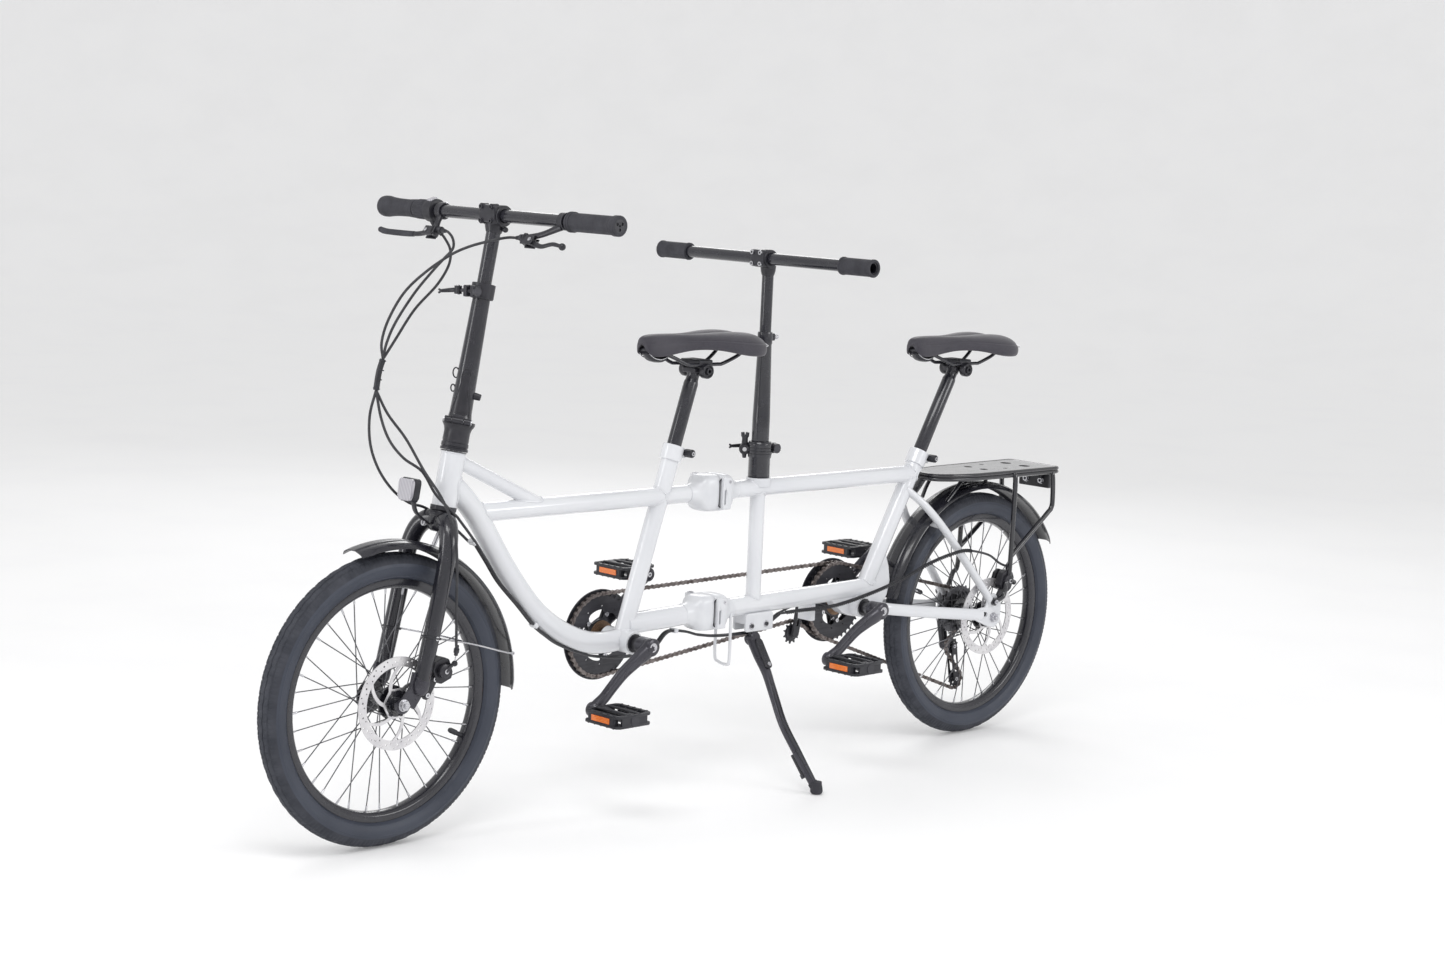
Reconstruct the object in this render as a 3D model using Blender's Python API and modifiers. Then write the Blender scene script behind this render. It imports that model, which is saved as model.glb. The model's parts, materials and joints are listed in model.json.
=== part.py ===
"""Folding tandem bicycle for two riders: metres, +X forwards, +Y to the riders' left, +Z up.

The origin is on the ground, midway between the two wheel axles and in the plane of the wheels.
"""

import math

import bmesh
import bpy
from mathutils import Matrix, Vector

# Driving dimensions
WHEELBASE = 1.530
TYRE_RADIUS = 0.252
FRONT_AXLE = Vector((WHEELBASE / 2, 0, TYRE_RADIUS))
REAR_AXLE = Vector((-WHEELBASE / 2, 0, TYRE_RADIUS))
FRONT_BB = Vector((0.222, 0, 0.297))
REAR_BB = Vector((-0.401, 0, 0.303))
GAP = 0.0003
CLEAR = 0.0006

# Steering axis: it leans back by STEER_TILT and passes through STEER_FOOT, under the head tube
STEER_TILT = math.radians(11)
STEER_FOOT = Vector((0.649, 0, 0.566))
STEER_UP = Vector((-math.sin(STEER_TILT), 0, math.cos(STEER_TILT)))
STEER_FRONT = Vector((math.cos(STEER_TILT), 0, math.sin(STEER_TILT)))
STEERER_RADIUS = 0.0143
HEAD_BOTTOM = 0.566
HEAD_TOP = 0.667
STEM_BASE_TOP = 0.718
STEM_COLLAR = 0.939
BAR_HEIGHT = 1.067

# Frame
TOP_TUBE_HEIGHT = 0.557
BOTTOM_TUBE_HEIGHT = 0.330
FOLD_PLANE = 0.010
FOLD_PIN = Vector((FOLD_PLANE, -0.040, 0))
FRONT_SEAT_TILT = math.radians(17.9)
REAR_SEAT_TILT = math.radians(29.2)
FRONT_SEAT_FOOT = FRONT_BB
REAR_SEAT_FOOT = Vector((-0.4378, 0, 0.341))
STOKER_X = -0.119
STAY_SPREAD = 0.066
FORK_SPREAD = 0.052

# Wheels
WHEEL_STEPS = 36
ROUND = 16
HUB_SIDES = 12
RIM_OUTER = 0.2080
RIM_INNER = 0.1920
SPOKES = 36
SPOKE_RADIUS = 0.0009
ROTOR_RADIUS = 0.080
FRONT_GUARD_RADIUS = 0.2720
REAR_GUARD_RADIUS = 0.2750

# Drive
RING_RADIUS = 0.0725
CHAIN_HALF = 0.0042
CHAIN_WIDTH = 0.0066
PITCH_RADIUS = RING_RADIUS + GAP + CHAIN_HALF
TIMING_Y = -0.0560
DRIVE_Y = -0.0445
CRANK_LENGTH = 0.168
PEDAL_AXLE_RADIUS = 0.0045
FRONT_CRANK_ANGLE = math.radians(-35.5)
REAR_CRANK_ANGLE = math.radians(-28.5)

PARTS = "tandem_bicycle"
HELPERS = "cutters_and_joins"


# Modelling helpers


def clear_scene():
    for obj in list(bpy.data.objects):
        bpy.data.objects.remove(obj, do_unlink=True)


def collection(name):
    found = bpy.data.collections.get(name)
    if found is None:
        found = bpy.data.collections.new(name)
        bpy.context.scene.collection.children.link(found)
    return found


def helper(obj):
    """Keeps a cutter, or a piece that is joined to another, out of the render."""
    collection(HELPERS).objects.link(obj)
    obj.hide_render = True
    obj.display_type = "WIRE"
    return obj


def on_steering(height):
    """The point of the steering axis at this height."""
    return STEER_FOOT + STEER_UP * ((height - STEER_FOOT.z) / STEER_UP.z)


def on_front_seat(height):
    lean = math.tan(FRONT_SEAT_TILT)
    return Vector((FRONT_SEAT_FOOT.x - lean * (height - FRONT_SEAT_FOOT.z), 0, height))


def on_rear_seat(height):
    lean = math.tan(REAR_SEAT_TILT)
    return Vector((REAR_SEAT_FOOT.x - lean * (height - REAR_SEAT_FOOT.z), 0, height))


def polar(centre, radius, angle, y=0.0):
    """A point in the plane of the wheels, at this angle up from +X."""
    return Vector((centre.x + radius * math.cos(angle), y, centre.z + radius * math.sin(angle)))


def bore_radius(shaft_radius, sides, clearance=CLEAR):
    """Radius of a faceted bore whose flats stay clear of the shaft."""
    return (shaft_radius + clearance) / math.cos(math.pi / sides)


def smooth(points, steps):
    """Points along a Catmull-Rom curve through the given ones."""
    known = [Vector(p) for p in points]
    known = [2 * known[0] - known[1]] + known + [2 * known[-1] - known[-2]]
    path = []
    for a, b, c, d in zip(known, known[1:], known[2:], known[3:]):
        for step in range(steps):
            t = step / steps
            path.append(
                0.5 * (2 * b + (c - a) * t + (2 * a - 5 * b + 4 * c - d) * t**2
                       + (3 * b - a - 3 * c + d) * t**3)
            )
    return path + [known[-2]]


def mirrored(points):
    return [Vector((p[0], -p[1], p[2])) for p in points]


def as_mesh(curve_obj):
    """A mesh object in place of a curve, with its caps welded on."""
    bpy.context.view_layer.update()
    graph = bpy.context.evaluated_depsgraph_get()
    mesh = bpy.data.meshes.new_from_object(curve_obj.evaluated_get(graph))
    shape = bmesh.new()
    shape.from_mesh(mesh)
    bmesh.ops.remove_doubles(shape, verts=shape.verts, dist=1e-6)
    bmesh.ops.recalc_face_normals(shape, faces=shape.faces)
    shape.to_mesh(mesh)
    shape.free()
    obj = helper(bpy.data.objects.new("solid", mesh))
    obj.matrix_world = curve_obj.matrix_world.copy()
    bpy.data.objects.remove(curve_obj, do_unlink=True)
    return obj


def curve_object(dimensions, splines, cyclic):
    data = bpy.data.curves.new("curve", "CURVE")
    data.dimensions = dimensions
    for points in splines:
        spline = data.splines.new("POLY")
        spline.points.add(len(points) - 1)
        for target, point in zip(spline.points, points):
            target.co = (*point, 0, 1)[:4] if len(point) == 2 else (*point, 1)
        spline.use_cyclic_u = cyclic
    obj = bpy.data.objects.new("curve", data)
    collection(HELPERS).objects.link(obj)
    return obj


def tube(points, radius, sides=12):
    """A bent round tube with closed ends."""
    obj = curve_object("3D", [points], False)
    obj.data.bevel_depth = radius
    obj.data.bevel_resolution = (sides - 4) // 2
    obj.data.use_fill_caps = True
    return as_mesh(obj)


def plate(outline, thickness, centre, holes=(), turn=None):
    """A flat outline in the plane of the wheels, extruded to both sides of centre."""
    obj = curve_object("2D", [outline, *holes], True)
    obj.data.fill_mode = "BOTH"
    obj.data.extrude = thickness / 2
    upright = Matrix.Rotation(math.pi / 2, 4, "X") if turn is None else turn.to_4x4()
    obj.matrix_world = Matrix.Translation(centre) @ upright
    return as_mesh(obj)


def round_outline(centre, radius, sides):
    x, z = centre
    turns = [math.tau * k / sides for k in range(sides)]
    return [(x + radius * math.cos(a), z + radius * math.sin(a)) for a in turns]


def stadium(start, end, start_radius, end_radius, sides=10):
    """Outline of a flat arm with a round end about each point."""
    along = math.atan2(end[1] - start[1], end[0] - start[0])
    points = []
    for centre, radius, first in ((end, end_radius, -0.5), (start, start_radius, 0.5)):
        for k in range(sides + 1):
            a = along + math.pi * (first + k / sides)
            points.append((centre[0] + radius * math.cos(a), centre[1] + radius * math.sin(a)))
    return points


def facing(axis, towards=Vector((1, 0, 0))):
    """Rotation whose Z lies along axis and whose X is as near as can be to towards."""
    z = Vector(axis).normalized()
    x = Vector(towards) - z * z.dot(Vector(towards))
    if x.length < 1e-6:
        x = z.orthogonal()
    x.normalize()
    return Matrix((x, z.cross(x), z)).transposed().to_4x4()


def rod(start, end, radius, end_radius=None, sides=16):
    """A straight round bar, or a cone, from start to end."""
    start, end = Vector(start), Vector(end)
    shape = bmesh.new()
    bmesh.ops.create_cone(
        shape,
        cap_ends=True,
        segments=sides,
        radius1=radius,
        radius2=radius if end_radius is None else end_radius,
        depth=(end - start).length,
    )
    mesh = bpy.data.meshes.new("rod")
    shape.to_mesh(mesh)
    shape.free()
    obj = helper(bpy.data.objects.new("rod", mesh))
    obj.matrix_world = Matrix.Translation((start + end) / 2) @ facing(end - start)
    return obj


def box(size, centre, turn=None, bevel=0.0):
    """A block, with its edges rounded where a width is given."""
    shape = bmesh.new()
    bmesh.ops.create_cube(shape, size=1)
    bmesh.ops.scale(shape, vec=size, verts=shape.verts)
    mesh = bpy.data.meshes.new("box")
    shape.to_mesh(mesh)
    shape.free()
    obj = helper(bpy.data.objects.new("box", mesh))
    obj.matrix_world = Matrix.Translation(centre) @ (Matrix() if turn is None else turn.to_4x4())
    if bevel:
        rounding = obj.modifiers.new("rounding", "BEVEL")
        rounding.width = bevel
        rounding.segments = 1
    return obj


def ball(centre, radius, sides=10):
    shape = bmesh.new()
    bmesh.ops.create_uvsphere(shape, u_segments=sides, v_segments=sides // 2 + 1, radius=radius)
    mesh = bpy.data.meshes.new("ball")
    shape.to_mesh(mesh)
    shape.free()
    obj = helper(bpy.data.objects.new("ball", mesh))
    obj.matrix_world = Matrix.Translation(centre)
    return obj


def turned(profile, centre, axis, steps, closed=True, angle=math.tau, towards=(1, 0, 0)):
    """A (radius, height) profile turned about axis. A closed profile runs down its outer side."""
    mesh = bpy.data.meshes.new("profile")
    edges = [(k, k + 1) for k in range(len(profile) - 1)]
    if closed:
        edges.append((len(profile) - 1, 0))
    mesh.from_pydata([(r, 0, h) for r, h in profile], edges, [])
    obj = helper(bpy.data.objects.new("turned", mesh))
    obj.matrix_world = Matrix.Translation(centre) @ facing(axis, Vector(towards))
    screw = obj.modifiers.new("turn", "SCREW")
    screw.angle = angle
    screw.steps = steps
    screw.render_steps = steps
    screw.use_merge_vertices = True
    screw.merge_threshold = 0.00001
    screw.use_smooth_shade = False
    return obj


def combine(body, others, operation):
    for other in others:
        step = body.modifiers.new(operation.lower(), "BOOLEAN")
        step.operation = operation
        step.solver = "EXACT"
        step.object = other
    return body


def group(objects):
    """Several solids that don't touch, as one mesh that can be joined to a body in one step."""
    bpy.context.view_layer.update()
    graph = bpy.context.evaluated_depsgraph_get()
    shape = bmesh.new()
    for obj in objects:
        mesh = bpy.data.meshes.new_from_object(obj.evaluated_get(graph))
        mesh.transform(obj.matrix_world)
        shape.from_mesh(mesh)
        bpy.data.objects.remove(obj, do_unlink=True)
    mesh = bpy.data.meshes.new("group")
    shape.to_mesh(mesh)
    shape.free()
    return helper(bpy.data.objects.new("group", mesh))


def material(name, colour, roughness, metallic=0.0):
    made = bpy.data.materials.get(name)
    if made is None:
        made = bpy.data.materials.new(name)
        made.use_nodes = True
        surface = made.node_tree.nodes["Principled BSDF"]
        surface.inputs["Base Color"].default_value = (*colour, 1)
        surface.inputs["Roughness"].default_value = roughness
        surface.inputs["Metallic"].default_value = metallic
        made.diffuse_color = (*colour, 1)
    return made


def part(name, base, look, pivot=None, joins=(), cuts=()):
    """Names a solid as a sub-part, joined with and cut by others, with its origin on its pivot."""
    combine(base, joins, "UNION")
    combine(base, cuts, "DIFFERENCE")
    collection(HELPERS).objects.unlink(base)
    collection(PARTS).objects.link(base)
    base.name = name
    base.hide_render = False
    base.display_type = "TEXTURED"
    base.data.materials.clear()
    base.data.materials.append(material(*look))
    if base.type == "MESH":
        base.data.polygons.foreach_set("use_smooth", [True] * len(base.data.polygons))
        base.data.set_sharp_from_angle(angle=math.radians(40))
    if pivot is not None:
        shift = base.matrix_world.inverted() @ Vector(pivot)
        base.data.transform(Matrix.Translation(-shift))
        base.matrix_world = base.matrix_world @ Matrix.Translation(shift)
    return base


WHITE_PAINT = ("white_paint", (0.86, 0.87, 0.88), 0.25)
BLACK_PAINT = ("black_paint", (0.02, 0.02, 0.025), 0.35)
BLACK_ALLOY = ("black_alloy", (0.03, 0.03, 0.035), 0.4, 0.6)
BLACK_PLASTIC = ("black_plastic", (0.03, 0.03, 0.035), 0.5)
RUBBER = ("rubber", (0.035, 0.038, 0.045), 0.8)
TYRE_RUBBER = ("tyre_rubber", (0.045, 0.05, 0.065), 0.75)
VINYL = ("vinyl", (0.05, 0.045, 0.06), 0.55)
STEEL = ("steel", (0.6, 0.6, 0.62), 0.3, 1.0)
CHAIN_STEEL = ("chain_steel", (0.25, 0.22, 0.2), 0.45, 1.0)
CLEAR_PLASTIC = ("lamp_lens", (0.7, 0.7, 0.72), 0.2)


# Wheels


def wheel_turned(profile, axle):
    """A profile turned about the wheel's axle, with a flat side down. Radii are those of its flats."""
    flat = math.cos(math.pi / WHEEL_STEPS)
    half_step = math.pi / WHEEL_STEPS
    towards = (math.cos(half_step), 0, math.sin(half_step))
    scaled = [(r / flat, h) for r, h in profile]
    return turned(scaled, axle, (0, 1, 0), WHEEL_STEPS, towards=towards)


def tyre(name, axle):
    side = [(0.2083, 0.0125), (0.222, 0.0230), (0.238, 0.0230), (TYRE_RADIUS, 0.010)]
    profile = side + [(r, -y) for r, y in reversed(side)]
    return part(name, wheel_turned(profile, axle), TYRE_RUBBER)


def rim(name, axle):
    side = [(RIM_INNER, 0.0080), (0.2000, 0.0130), (RIM_OUTER, 0.0135)]
    profile = side + [(r, -y) for r, y in reversed(side)]
    return part(name, wheel_turned(profile, axle), BLACK_ALLOY)


def spokes(axle, flanges):
    """Thirty-six spokes, crossing three times, leading ones outside trailing ones on each flange."""
    per_flange = SPOKES // 2
    made = []
    for side, flange_y in zip((1, -1), flanges):
        for k in range(per_flange):
            leading = k % 2 == 0
            hub_turn = math.tau * k / per_flange + (side < 0) * math.tau / SPOKES
            rim_turn = hub_turn + math.radians(60 if leading else -60)
            outwards = side * (0.0010 if leading else -0.0010)
            start = polar(axle, 0.0262, hub_turn, flange_y + outwards)
            end = polar(axle, RIM_INNER - 2 * GAP, rim_turn, side * 0.003 + outwards)
            made.append(rod(start, end, SPOKE_RADIUS, sides=3))
    return group(made)


def hub(name, axle, profile, flanges):
    shell = turned(profile, axle, (0, 1, 0), HUB_SIDES)
    return part(name, shell, BLACK_ALLOY, joins=[spokes(axle, flanges)])


def rotor(name, axle, y):
    """A brake disc on six arms."""
    windows = [round_outline((0, 0), 0.0190, 12)]
    for k in range(6):
        middle = math.tau * k / 6
        inner = [middle + math.radians(a) for a in (-14, 14)]
        outer = [middle + math.radians(a) for a in (24, 8, -8, -24)]
        windows.append([(0.030 * math.cos(a), 0.030 * math.sin(a)) for a in inner]
                       + [(0.0630 * math.cos(a), 0.0630 * math.sin(a)) for a in outer])
    centre = axle + Vector((0, y, 0))
    disc = plate(round_outline((0, 0), ROTOR_RADIUS, 36), 0.0018, centre, windows)
    return part(name, disc, STEEL)


def axle_rod(name, axle, dropout_y):
    """A threaded axle with a nut outside each dropout."""
    reach = dropout_y + 0.0135
    bar = rod(axle + Vector((0, -reach, 0)), axle + Vector((0, reach, 0)), 0.0050, sides=16)
    nuts = []
    for side in (1, -1):
        inner = axle + Vector((0, side * (dropout_y + 0.0025 + GAP), 0))
        nuts.append(rod(inner, inner + Vector((0, side * 0.007, 0)), 0.0092, sides=6))
    return part(name, bar, STEEL, joins=nuts)


HUB_BORE = bore_radius(0.0050, HUB_SIDES)
FRONT_ROTOR_Y = 0.0359
REAR_ROTOR_Y = 0.0500
FRONT_FLANGES = (0.0220, -0.0360)
REAR_FLANGES = (0.0360, -0.0190)


def front_hub_profile():
    return [
        (0.0115, 0.0470), (0.0115, 0.0395), (0.0170, 0.0395), (0.0170, 0.0347), (0.0225, 0.0347),
        (0.0225, 0.0320), (0.0150, 0.0290), (0.0150, 0.0242), (0.0290, 0.0240), (0.0290, 0.0200),
        (0.0130, 0.0190), (0.0115, -0.0050), (0.0130, -0.0330), (0.0290, -0.0340),
        (0.0290, -0.0380), (0.0150, -0.0390), (0.0115, -0.0470), (HUB_BORE, -0.0470), (HUB_BORE, 0.0470),
    ]


def rear_hub_profile():
    return [
        (0.0115, 0.0620), (0.0115, 0.0540), (0.0170, 0.0540), (0.0170, 0.0488), (0.0225, 0.0488),
        (0.0225, 0.0465), (0.0160, 0.0440), (0.0160, 0.0382), (0.0290, 0.0380), (0.0290, 0.0340),
        (0.0150, 0.0330), (0.0130, 0.0080), (0.0160, -0.0160), (0.0290, -0.0170), (0.0290, -0.0210),
        (0.0160, -0.0225), (0.0160, -0.0600), (0.0115, -0.0605), (0.0115, -0.0620),
        (HUB_BORE, -0.0620), (HUB_BORE, 0.0620),
    ]


def wheels():
    for end, axle, profile, flanges, rotor_y in (
        ("front", FRONT_AXLE, front_hub_profile(), FRONT_FLANGES, FRONT_ROTOR_Y),
        ("rear", REAR_AXLE, rear_hub_profile(), REAR_FLANGES, REAR_ROTOR_Y),
    ):
        tyre(f"{end}_tyre", axle)
        rim(f"{end}_rim", axle)
        hub(f"{end}_hub", axle, profile, flanges)
        rotor(f"{end}_rotor", axle, rotor_y)
    axle_rod("front_axle", FRONT_AXLE, FORK_SPREAD)
    axle_rod("rear_axle", REAR_AXLE, STAY_SPREAD)


SPROCKET_RADIUS = 0.0385


def cassette():
    bore = bore_radius(0.0160, 20)
    profile = [
        (0.0560, -0.0250), (0.0560, -0.0270), (0.0480, -0.0400), (SPROCKET_RADIUS, -0.0407),
        (SPROCKET_RADIUS, -0.0483), (0.0310, -0.0487), (0.0240, -0.0590), (bore, -0.0590), (bore, -0.0250),
    ]
    part("cassette", turned(profile, REAR_AXLE, (0, 1, 0), 20), STEEL)


# Frame


def seat_bore(top, depth, post_radius):
    """A cutter for the bore of a seat tube, from its top down."""
    down = (depth - top).normalized()
    return rod(top - down * 0.01, depth, bore_radius(post_radius, ROUND), sides=ROUND)


def hinge_block(height, side, half_height):
    """One half of a frame hinge, in front of the fold (side 1) or behind it (side -1)."""
    depth = 0.036
    centre = (FOLD_PLANE + side * (depth / 2 + GAP / 2), 0.001, height)
    block = box((depth, 0.058, 2 * half_height), centre, bevel=0.006)
    return block


def knuckles(height, side):
    """The front half has the middle knuckle of a hinge, the rear half the outer two."""
    spans = [(-0.0120, 0.0120)] if side > 0 else [(-0.0290, -0.0126), (0.0126, 0.0290)]
    made = []
    for low, high in spans:
        bottom = FOLD_PIN + Vector((0, 0, height + low))
        top = FOLD_PIN + Vector((0, 0, height + high))
        made.append(rod(bottom, top, 0.0100, sides=16))
        web = (0.026, 0.014, high - low - 0.002)
        made.append(box(web, FOLD_PIN + Vector((side * 0.015, 0.0080, height + (low + high) / 2))))
    return made


FOLD_PIN_RADIUS = 0.0035
HINGE_HEIGHTS = ((TOP_TUBE_HEIGHT, 0.035), (BOTTOM_TUBE_HEIGHT, 0.034))
FRONT_COLLAR = (0.622, 0.649)
REAR_COLLAR = (0.574, 0.600)
SEATPOST_RADIUS = 0.0136


def seat_collar(on_axis, low, high, back):
    """A clamp collar round the top of a seat tube, with its quick release bolt behind it."""
    ring = rod(on_axis(low), on_axis(high), 0.0205, sides=ROUND)
    middle = on_axis((low + high) / 2) + Vector((-back, 0, 0))
    ears = box((0.018, 0.0245, 0.0172), middle + Vector((0.006, 0, 0)), bevel=0.0025)
    bolt = rod(middle + Vector((0, -0.034, 0)), middle + Vector((0, 0.034, 0)), 0.0055, sides=12)
    return [ring, ears, bolt]


def front_frame():
    bottom_of_head = on_steering(HEAD_BOTTOM)
    top_of_head = on_steering(HEAD_TOP)
    head = rod(bottom_of_head, top_of_head, 0.0212, sides=ROUND)
    down_route = [
        (0.640, 0, 0.615), (0.612, 0, 0.592), (0.572, 0, 0.548), (0.510, 0, 0.459), (0.455, 0, 0.392),
        (0.414, 0, 0.355), (0.365, 0, 0.325), (0.310, 0, 0.303), (0.262, 0, 0.297), (0.215, 0, 0.297),
    ]
    seat_top = on_front_seat(FRONT_COLLAR[1])
    joins = [
        tube(smooth(down_route, 1), 0.0200, 12),
        rod((0.560, 0, TOP_TUBE_HEIGHT), (0.030, 0, TOP_TUBE_HEIGHT), 0.0170),
        rod((0.620, 0, 0.650), (0.430, 0, 0.5605), 0.0125),
        rod(FRONT_BB, seat_top, 0.0165, sides=ROUND),
        rod((0.215, 0, 0.325), (0.030, 0, BOTTOM_TUBE_HEIGHT), 0.0200),
        rod(FRONT_BB + Vector((0, -0.036, 0)), FRONT_BB + Vector((0, 0.036, 0)), 0.0210, sides=16),
    ]
    joins += seat_collar(on_front_seat, *FRONT_COLLAR, 0.024)
    cuts = [
        rod(on_steering(HEAD_BOTTOM - 0.02), on_steering(HEAD_TOP + 0.02),
            bore_radius(STEERER_RADIUS, ROUND), sides=ROUND),
        seat_bore(seat_top, on_front_seat(0.380), SEATPOST_RADIUS),
        rod(FRONT_BB + Vector((0, -0.05, 0)), FRONT_BB + Vector((0, 0.05, 0)), 0.0120, sides=16),
    ]
    for height, half in HINGE_HEIGHTS:
        joins += [hinge_block(height, 1, half), *knuckles(height, 1)]
        pin_bore = bore_radius(FOLD_PIN_RADIUS, 12)
        pin = (FOLD_PIN + Vector((0, 0, height - 0.05)), FOLD_PIN + Vector((0, 0, height + 0.05)))
        cuts.append(rod(*pin, pin_bore, sides=12))
    part("front_frame", head, WHITE_PAINT, joins=joins, cuts=cuts)


def dropout(side):
    """Rear dropout plate, with the derailleur hanger on the right."""
    outline = [
        (-0.712, 0.250), (-0.712, 0.272), (-0.740, 0.276), (-0.752, 0.300), (-0.768, 0.300),
        (-0.788, 0.280), (-0.785, 0.240), (-0.770, 0.230), (-0.745, 0.236),
    ]
    if side < 0:
        outline[6:8] = [(-0.785, 0.240), (-0.783, 0.214), (-0.765, 0.214), (-0.758, 0.230)]
    hole = round_outline((REAR_AXLE.x, REAR_AXLE.z), bore_radius(0.0050, 16), 16)
    return plate(outline, 0.005, Vector((0, side * STAY_SPREAD, 0)), [hole])


def rear_stays():
    left_stay = [(-0.418, 0.024, 0.302), (-0.450, 0.038, 0.297), (-0.482, 0.0465, 0.292),
                 (-0.600, 0.056, 0.276), (-0.690, 0.063, 0.265), (-0.730, 0.0655, 0.260)]
    right_stay = [(-0.418, -0.022, 0.302), (-0.450, -0.0255, 0.297), (-0.484, -0.0285, 0.291),
                  (-0.520, -0.0425, 0.286), (-0.600, -0.056, 0.276), (-0.690, -0.063, 0.265),
                  (-0.730, -0.0655, 0.260)]
    seat_stay = [(-0.548, 0.012, 0.520), (-0.572, 0.032, 0.494), (-0.612, 0.047, 0.450),
                 (-0.662, 0.055, 0.394), (-0.735, 0.0635, 0.312), (-0.756, 0.0655, 0.285)]
    made = []
    for side, chain_stay in ((1, left_stay), (-1, right_stay)):
        made.append(tube(chain_stay, 0.0105, 8))
        made.append(tube(seat_stay if side > 0 else mirrored(seat_stay), 0.0105, 8))
        made.append(dropout(side))
    return made


KICKSTAND_PIVOT = Vector((-0.108, 0.014, 0.268))


def rear_frame():
    top_tube = rod((-0.015, 0, TOP_TUBE_HEIGHT), (-0.560, 0, TOP_TUBE_HEIGHT), 0.0170)
    seat_top = on_rear_seat(REAR_COLLAR[1])
    gusset = [(-0.330, 0.322), (-0.352, 0.303), (-0.380, 0.285), (-0.401, 0.281), (-0.425, 0.287),
              (-0.470, 0.300), (-0.497, 0.345), (-0.482, 0.400), (-0.440, 0.345)]
    stand_loop = [(-0.042, -0.0190, 0.330), (-0.042, -0.0195, 0.240), (-0.044, -0.012, 0.226),
                  (-0.044, 0.012, 0.224), (-0.042, 0.0195, 0.238), (-0.042, 0.0190, 0.330)]
    joins = [
        rod((-0.015, 0, BOTTOM_TUBE_HEIGHT), (-0.442, 0, 0.335), 0.0180),
        rod((STOKER_X, 0, BOTTOM_TUBE_HEIGHT), (STOKER_X, 0, 0.5765), 0.0145),
        rod(REAR_SEAT_FOOT, seat_top, 0.0168, sides=ROUND),
        rod(REAR_BB + Vector((0, -0.034, 0)), REAR_BB + Vector((0, 0.034, 0)), 0.0210, sides=16),
        plate(gusset, 0.026, Vector((0, 0, 0))),
        box((0.074, 0.036, 0.034), (-0.120, 0.002, 0.301), bevel=0.004),
        box((0.012, 0.036, 0.038), (-0.290, -0.017, 0.300)),
        tube(stand_loop, 0.0030, 6),
        *rear_stays(),
        *seat_collar(on_rear_seat, *REAR_COLLAR, 0.024),
    ]
    cuts = [
        seat_bore(seat_top, on_rear_seat(0.400), SEATPOST_RADIUS),
        rod(REAR_BB + Vector((0, -0.05, 0)), REAR_BB + Vector((0, 0.05, 0)), 0.0120, sides=16),
    ]
    for height, half in HINGE_HEIGHTS:
        joins += [hinge_block(height, -1, half), *knuckles(height, -1)]
        pin = (FOLD_PIN + Vector((0, 0, height - 0.030)), FOLD_PIN + Vector((0, 0, height + 0.030)))
        joins.append(rod(*pin, FOLD_PIN_RADIUS, sides=12))
    part("rear_frame", top_tube, WHITE_PAINT, joins=joins, cuts=cuts)


LATCH_PIVOT = Vector((-0.008, 0.0345, 0))


def latches():
    for name, (height, half) in zip(("upper_latch", "lower_latch"), HINGE_HEIGHTS):
        centre = LATCH_PIVOT + Vector((0.009, 0, height))
        lever = box((0.022, 0.007, 2 * half - 0.012), centre, bevel=0.002)
        part(name, lever, WHITE_PAINT)


# Fork and steering


def fork():
    steerer = rod(on_steering(0.548), on_steering(0.7105), STEERER_RADIUS, sides=ROUND)
    crown = rod(on_steering(0.536), on_steering(HEAD_BOTTOM - 0.001), 0.0225, sides=16)
    blade = [(0.653, 0.006, 0.549), (0.664, 0.034, 0.544), (0.6755, 0.050, 0.516),
             (0.683, 0.0535, 0.480), (0.699, 0.0540, 0.408), (0.728, 0.0540, 0.288)]
    joins = [crown]
    hole = round_outline((FRONT_AXLE.x, FRONT_AXLE.z), bore_radius(0.0050, 16), 16)
    foot = stadium((0.7285, 0.292), (FRONT_AXLE.x, FRONT_AXLE.z), 0.0130, 0.0150)
    for side in (1, -1):
        joins.append(tube(blade if side > 0 else mirrored(blade), 0.0143, 10))
        joins.append(plate(foot, 0.005, Vector((0, side * FORK_SPREAD, 0)), [hole]))
    part("fork", steerer, BLACK_PAINT, joins=joins)


def mudguard(name, axle, radius, first, last, steps, joins):
    """A channel bent round the tyre, from one angle up from +X to another."""
    rise = [(0.0110, 0.0290), (0.0050, 0.0250), (0.0010, 0.0140), (0.0, 0.0)]
    profile = [(radius - drop, h) for drop, h in rise]
    profile += [(radius - drop, -h) for drop, h in reversed(rise[:-1])]
    towards = (math.cos(first), 0, math.sin(first))
    skin = turned(profile, axle, (0, -1, 0), steps, closed=False, angle=last - first, towards=towards)
    shell = skin.modifiers.new("thickness", "SOLIDIFY")
    shell.thickness = 0.0016
    shell.offset = 0
    part(name, skin, BLACK_PLASTIC, joins=joins)


def front_mudguard():
    mount = math.radians(111)
    bolt_foot = polar(FRONT_AXLE, FRONT_GUARD_RADIUS - 0.0015, mount)
    joins = [rod(bolt_foot, polar(FRONT_AXLE, 0.2990, mount), 0.0040, sides=8)]
    for side in (1, -1):
        edge = polar(FRONT_AXLE, FRONT_GUARD_RADIUS - 0.0102, math.radians(167.5), side * 0.0285)
        stay = [edge, (0.530, side * 0.0340, 0.314), (0.690, side * 0.0500, 0.362)]
        joins.append(tube(stay, 0.0018, 6))
    first, last = math.radians(76), math.radians(182)
    mudguard("front_mudguard", FRONT_AXLE, FRONT_GUARD_RADIUS, first, last, 12, joins)


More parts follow.
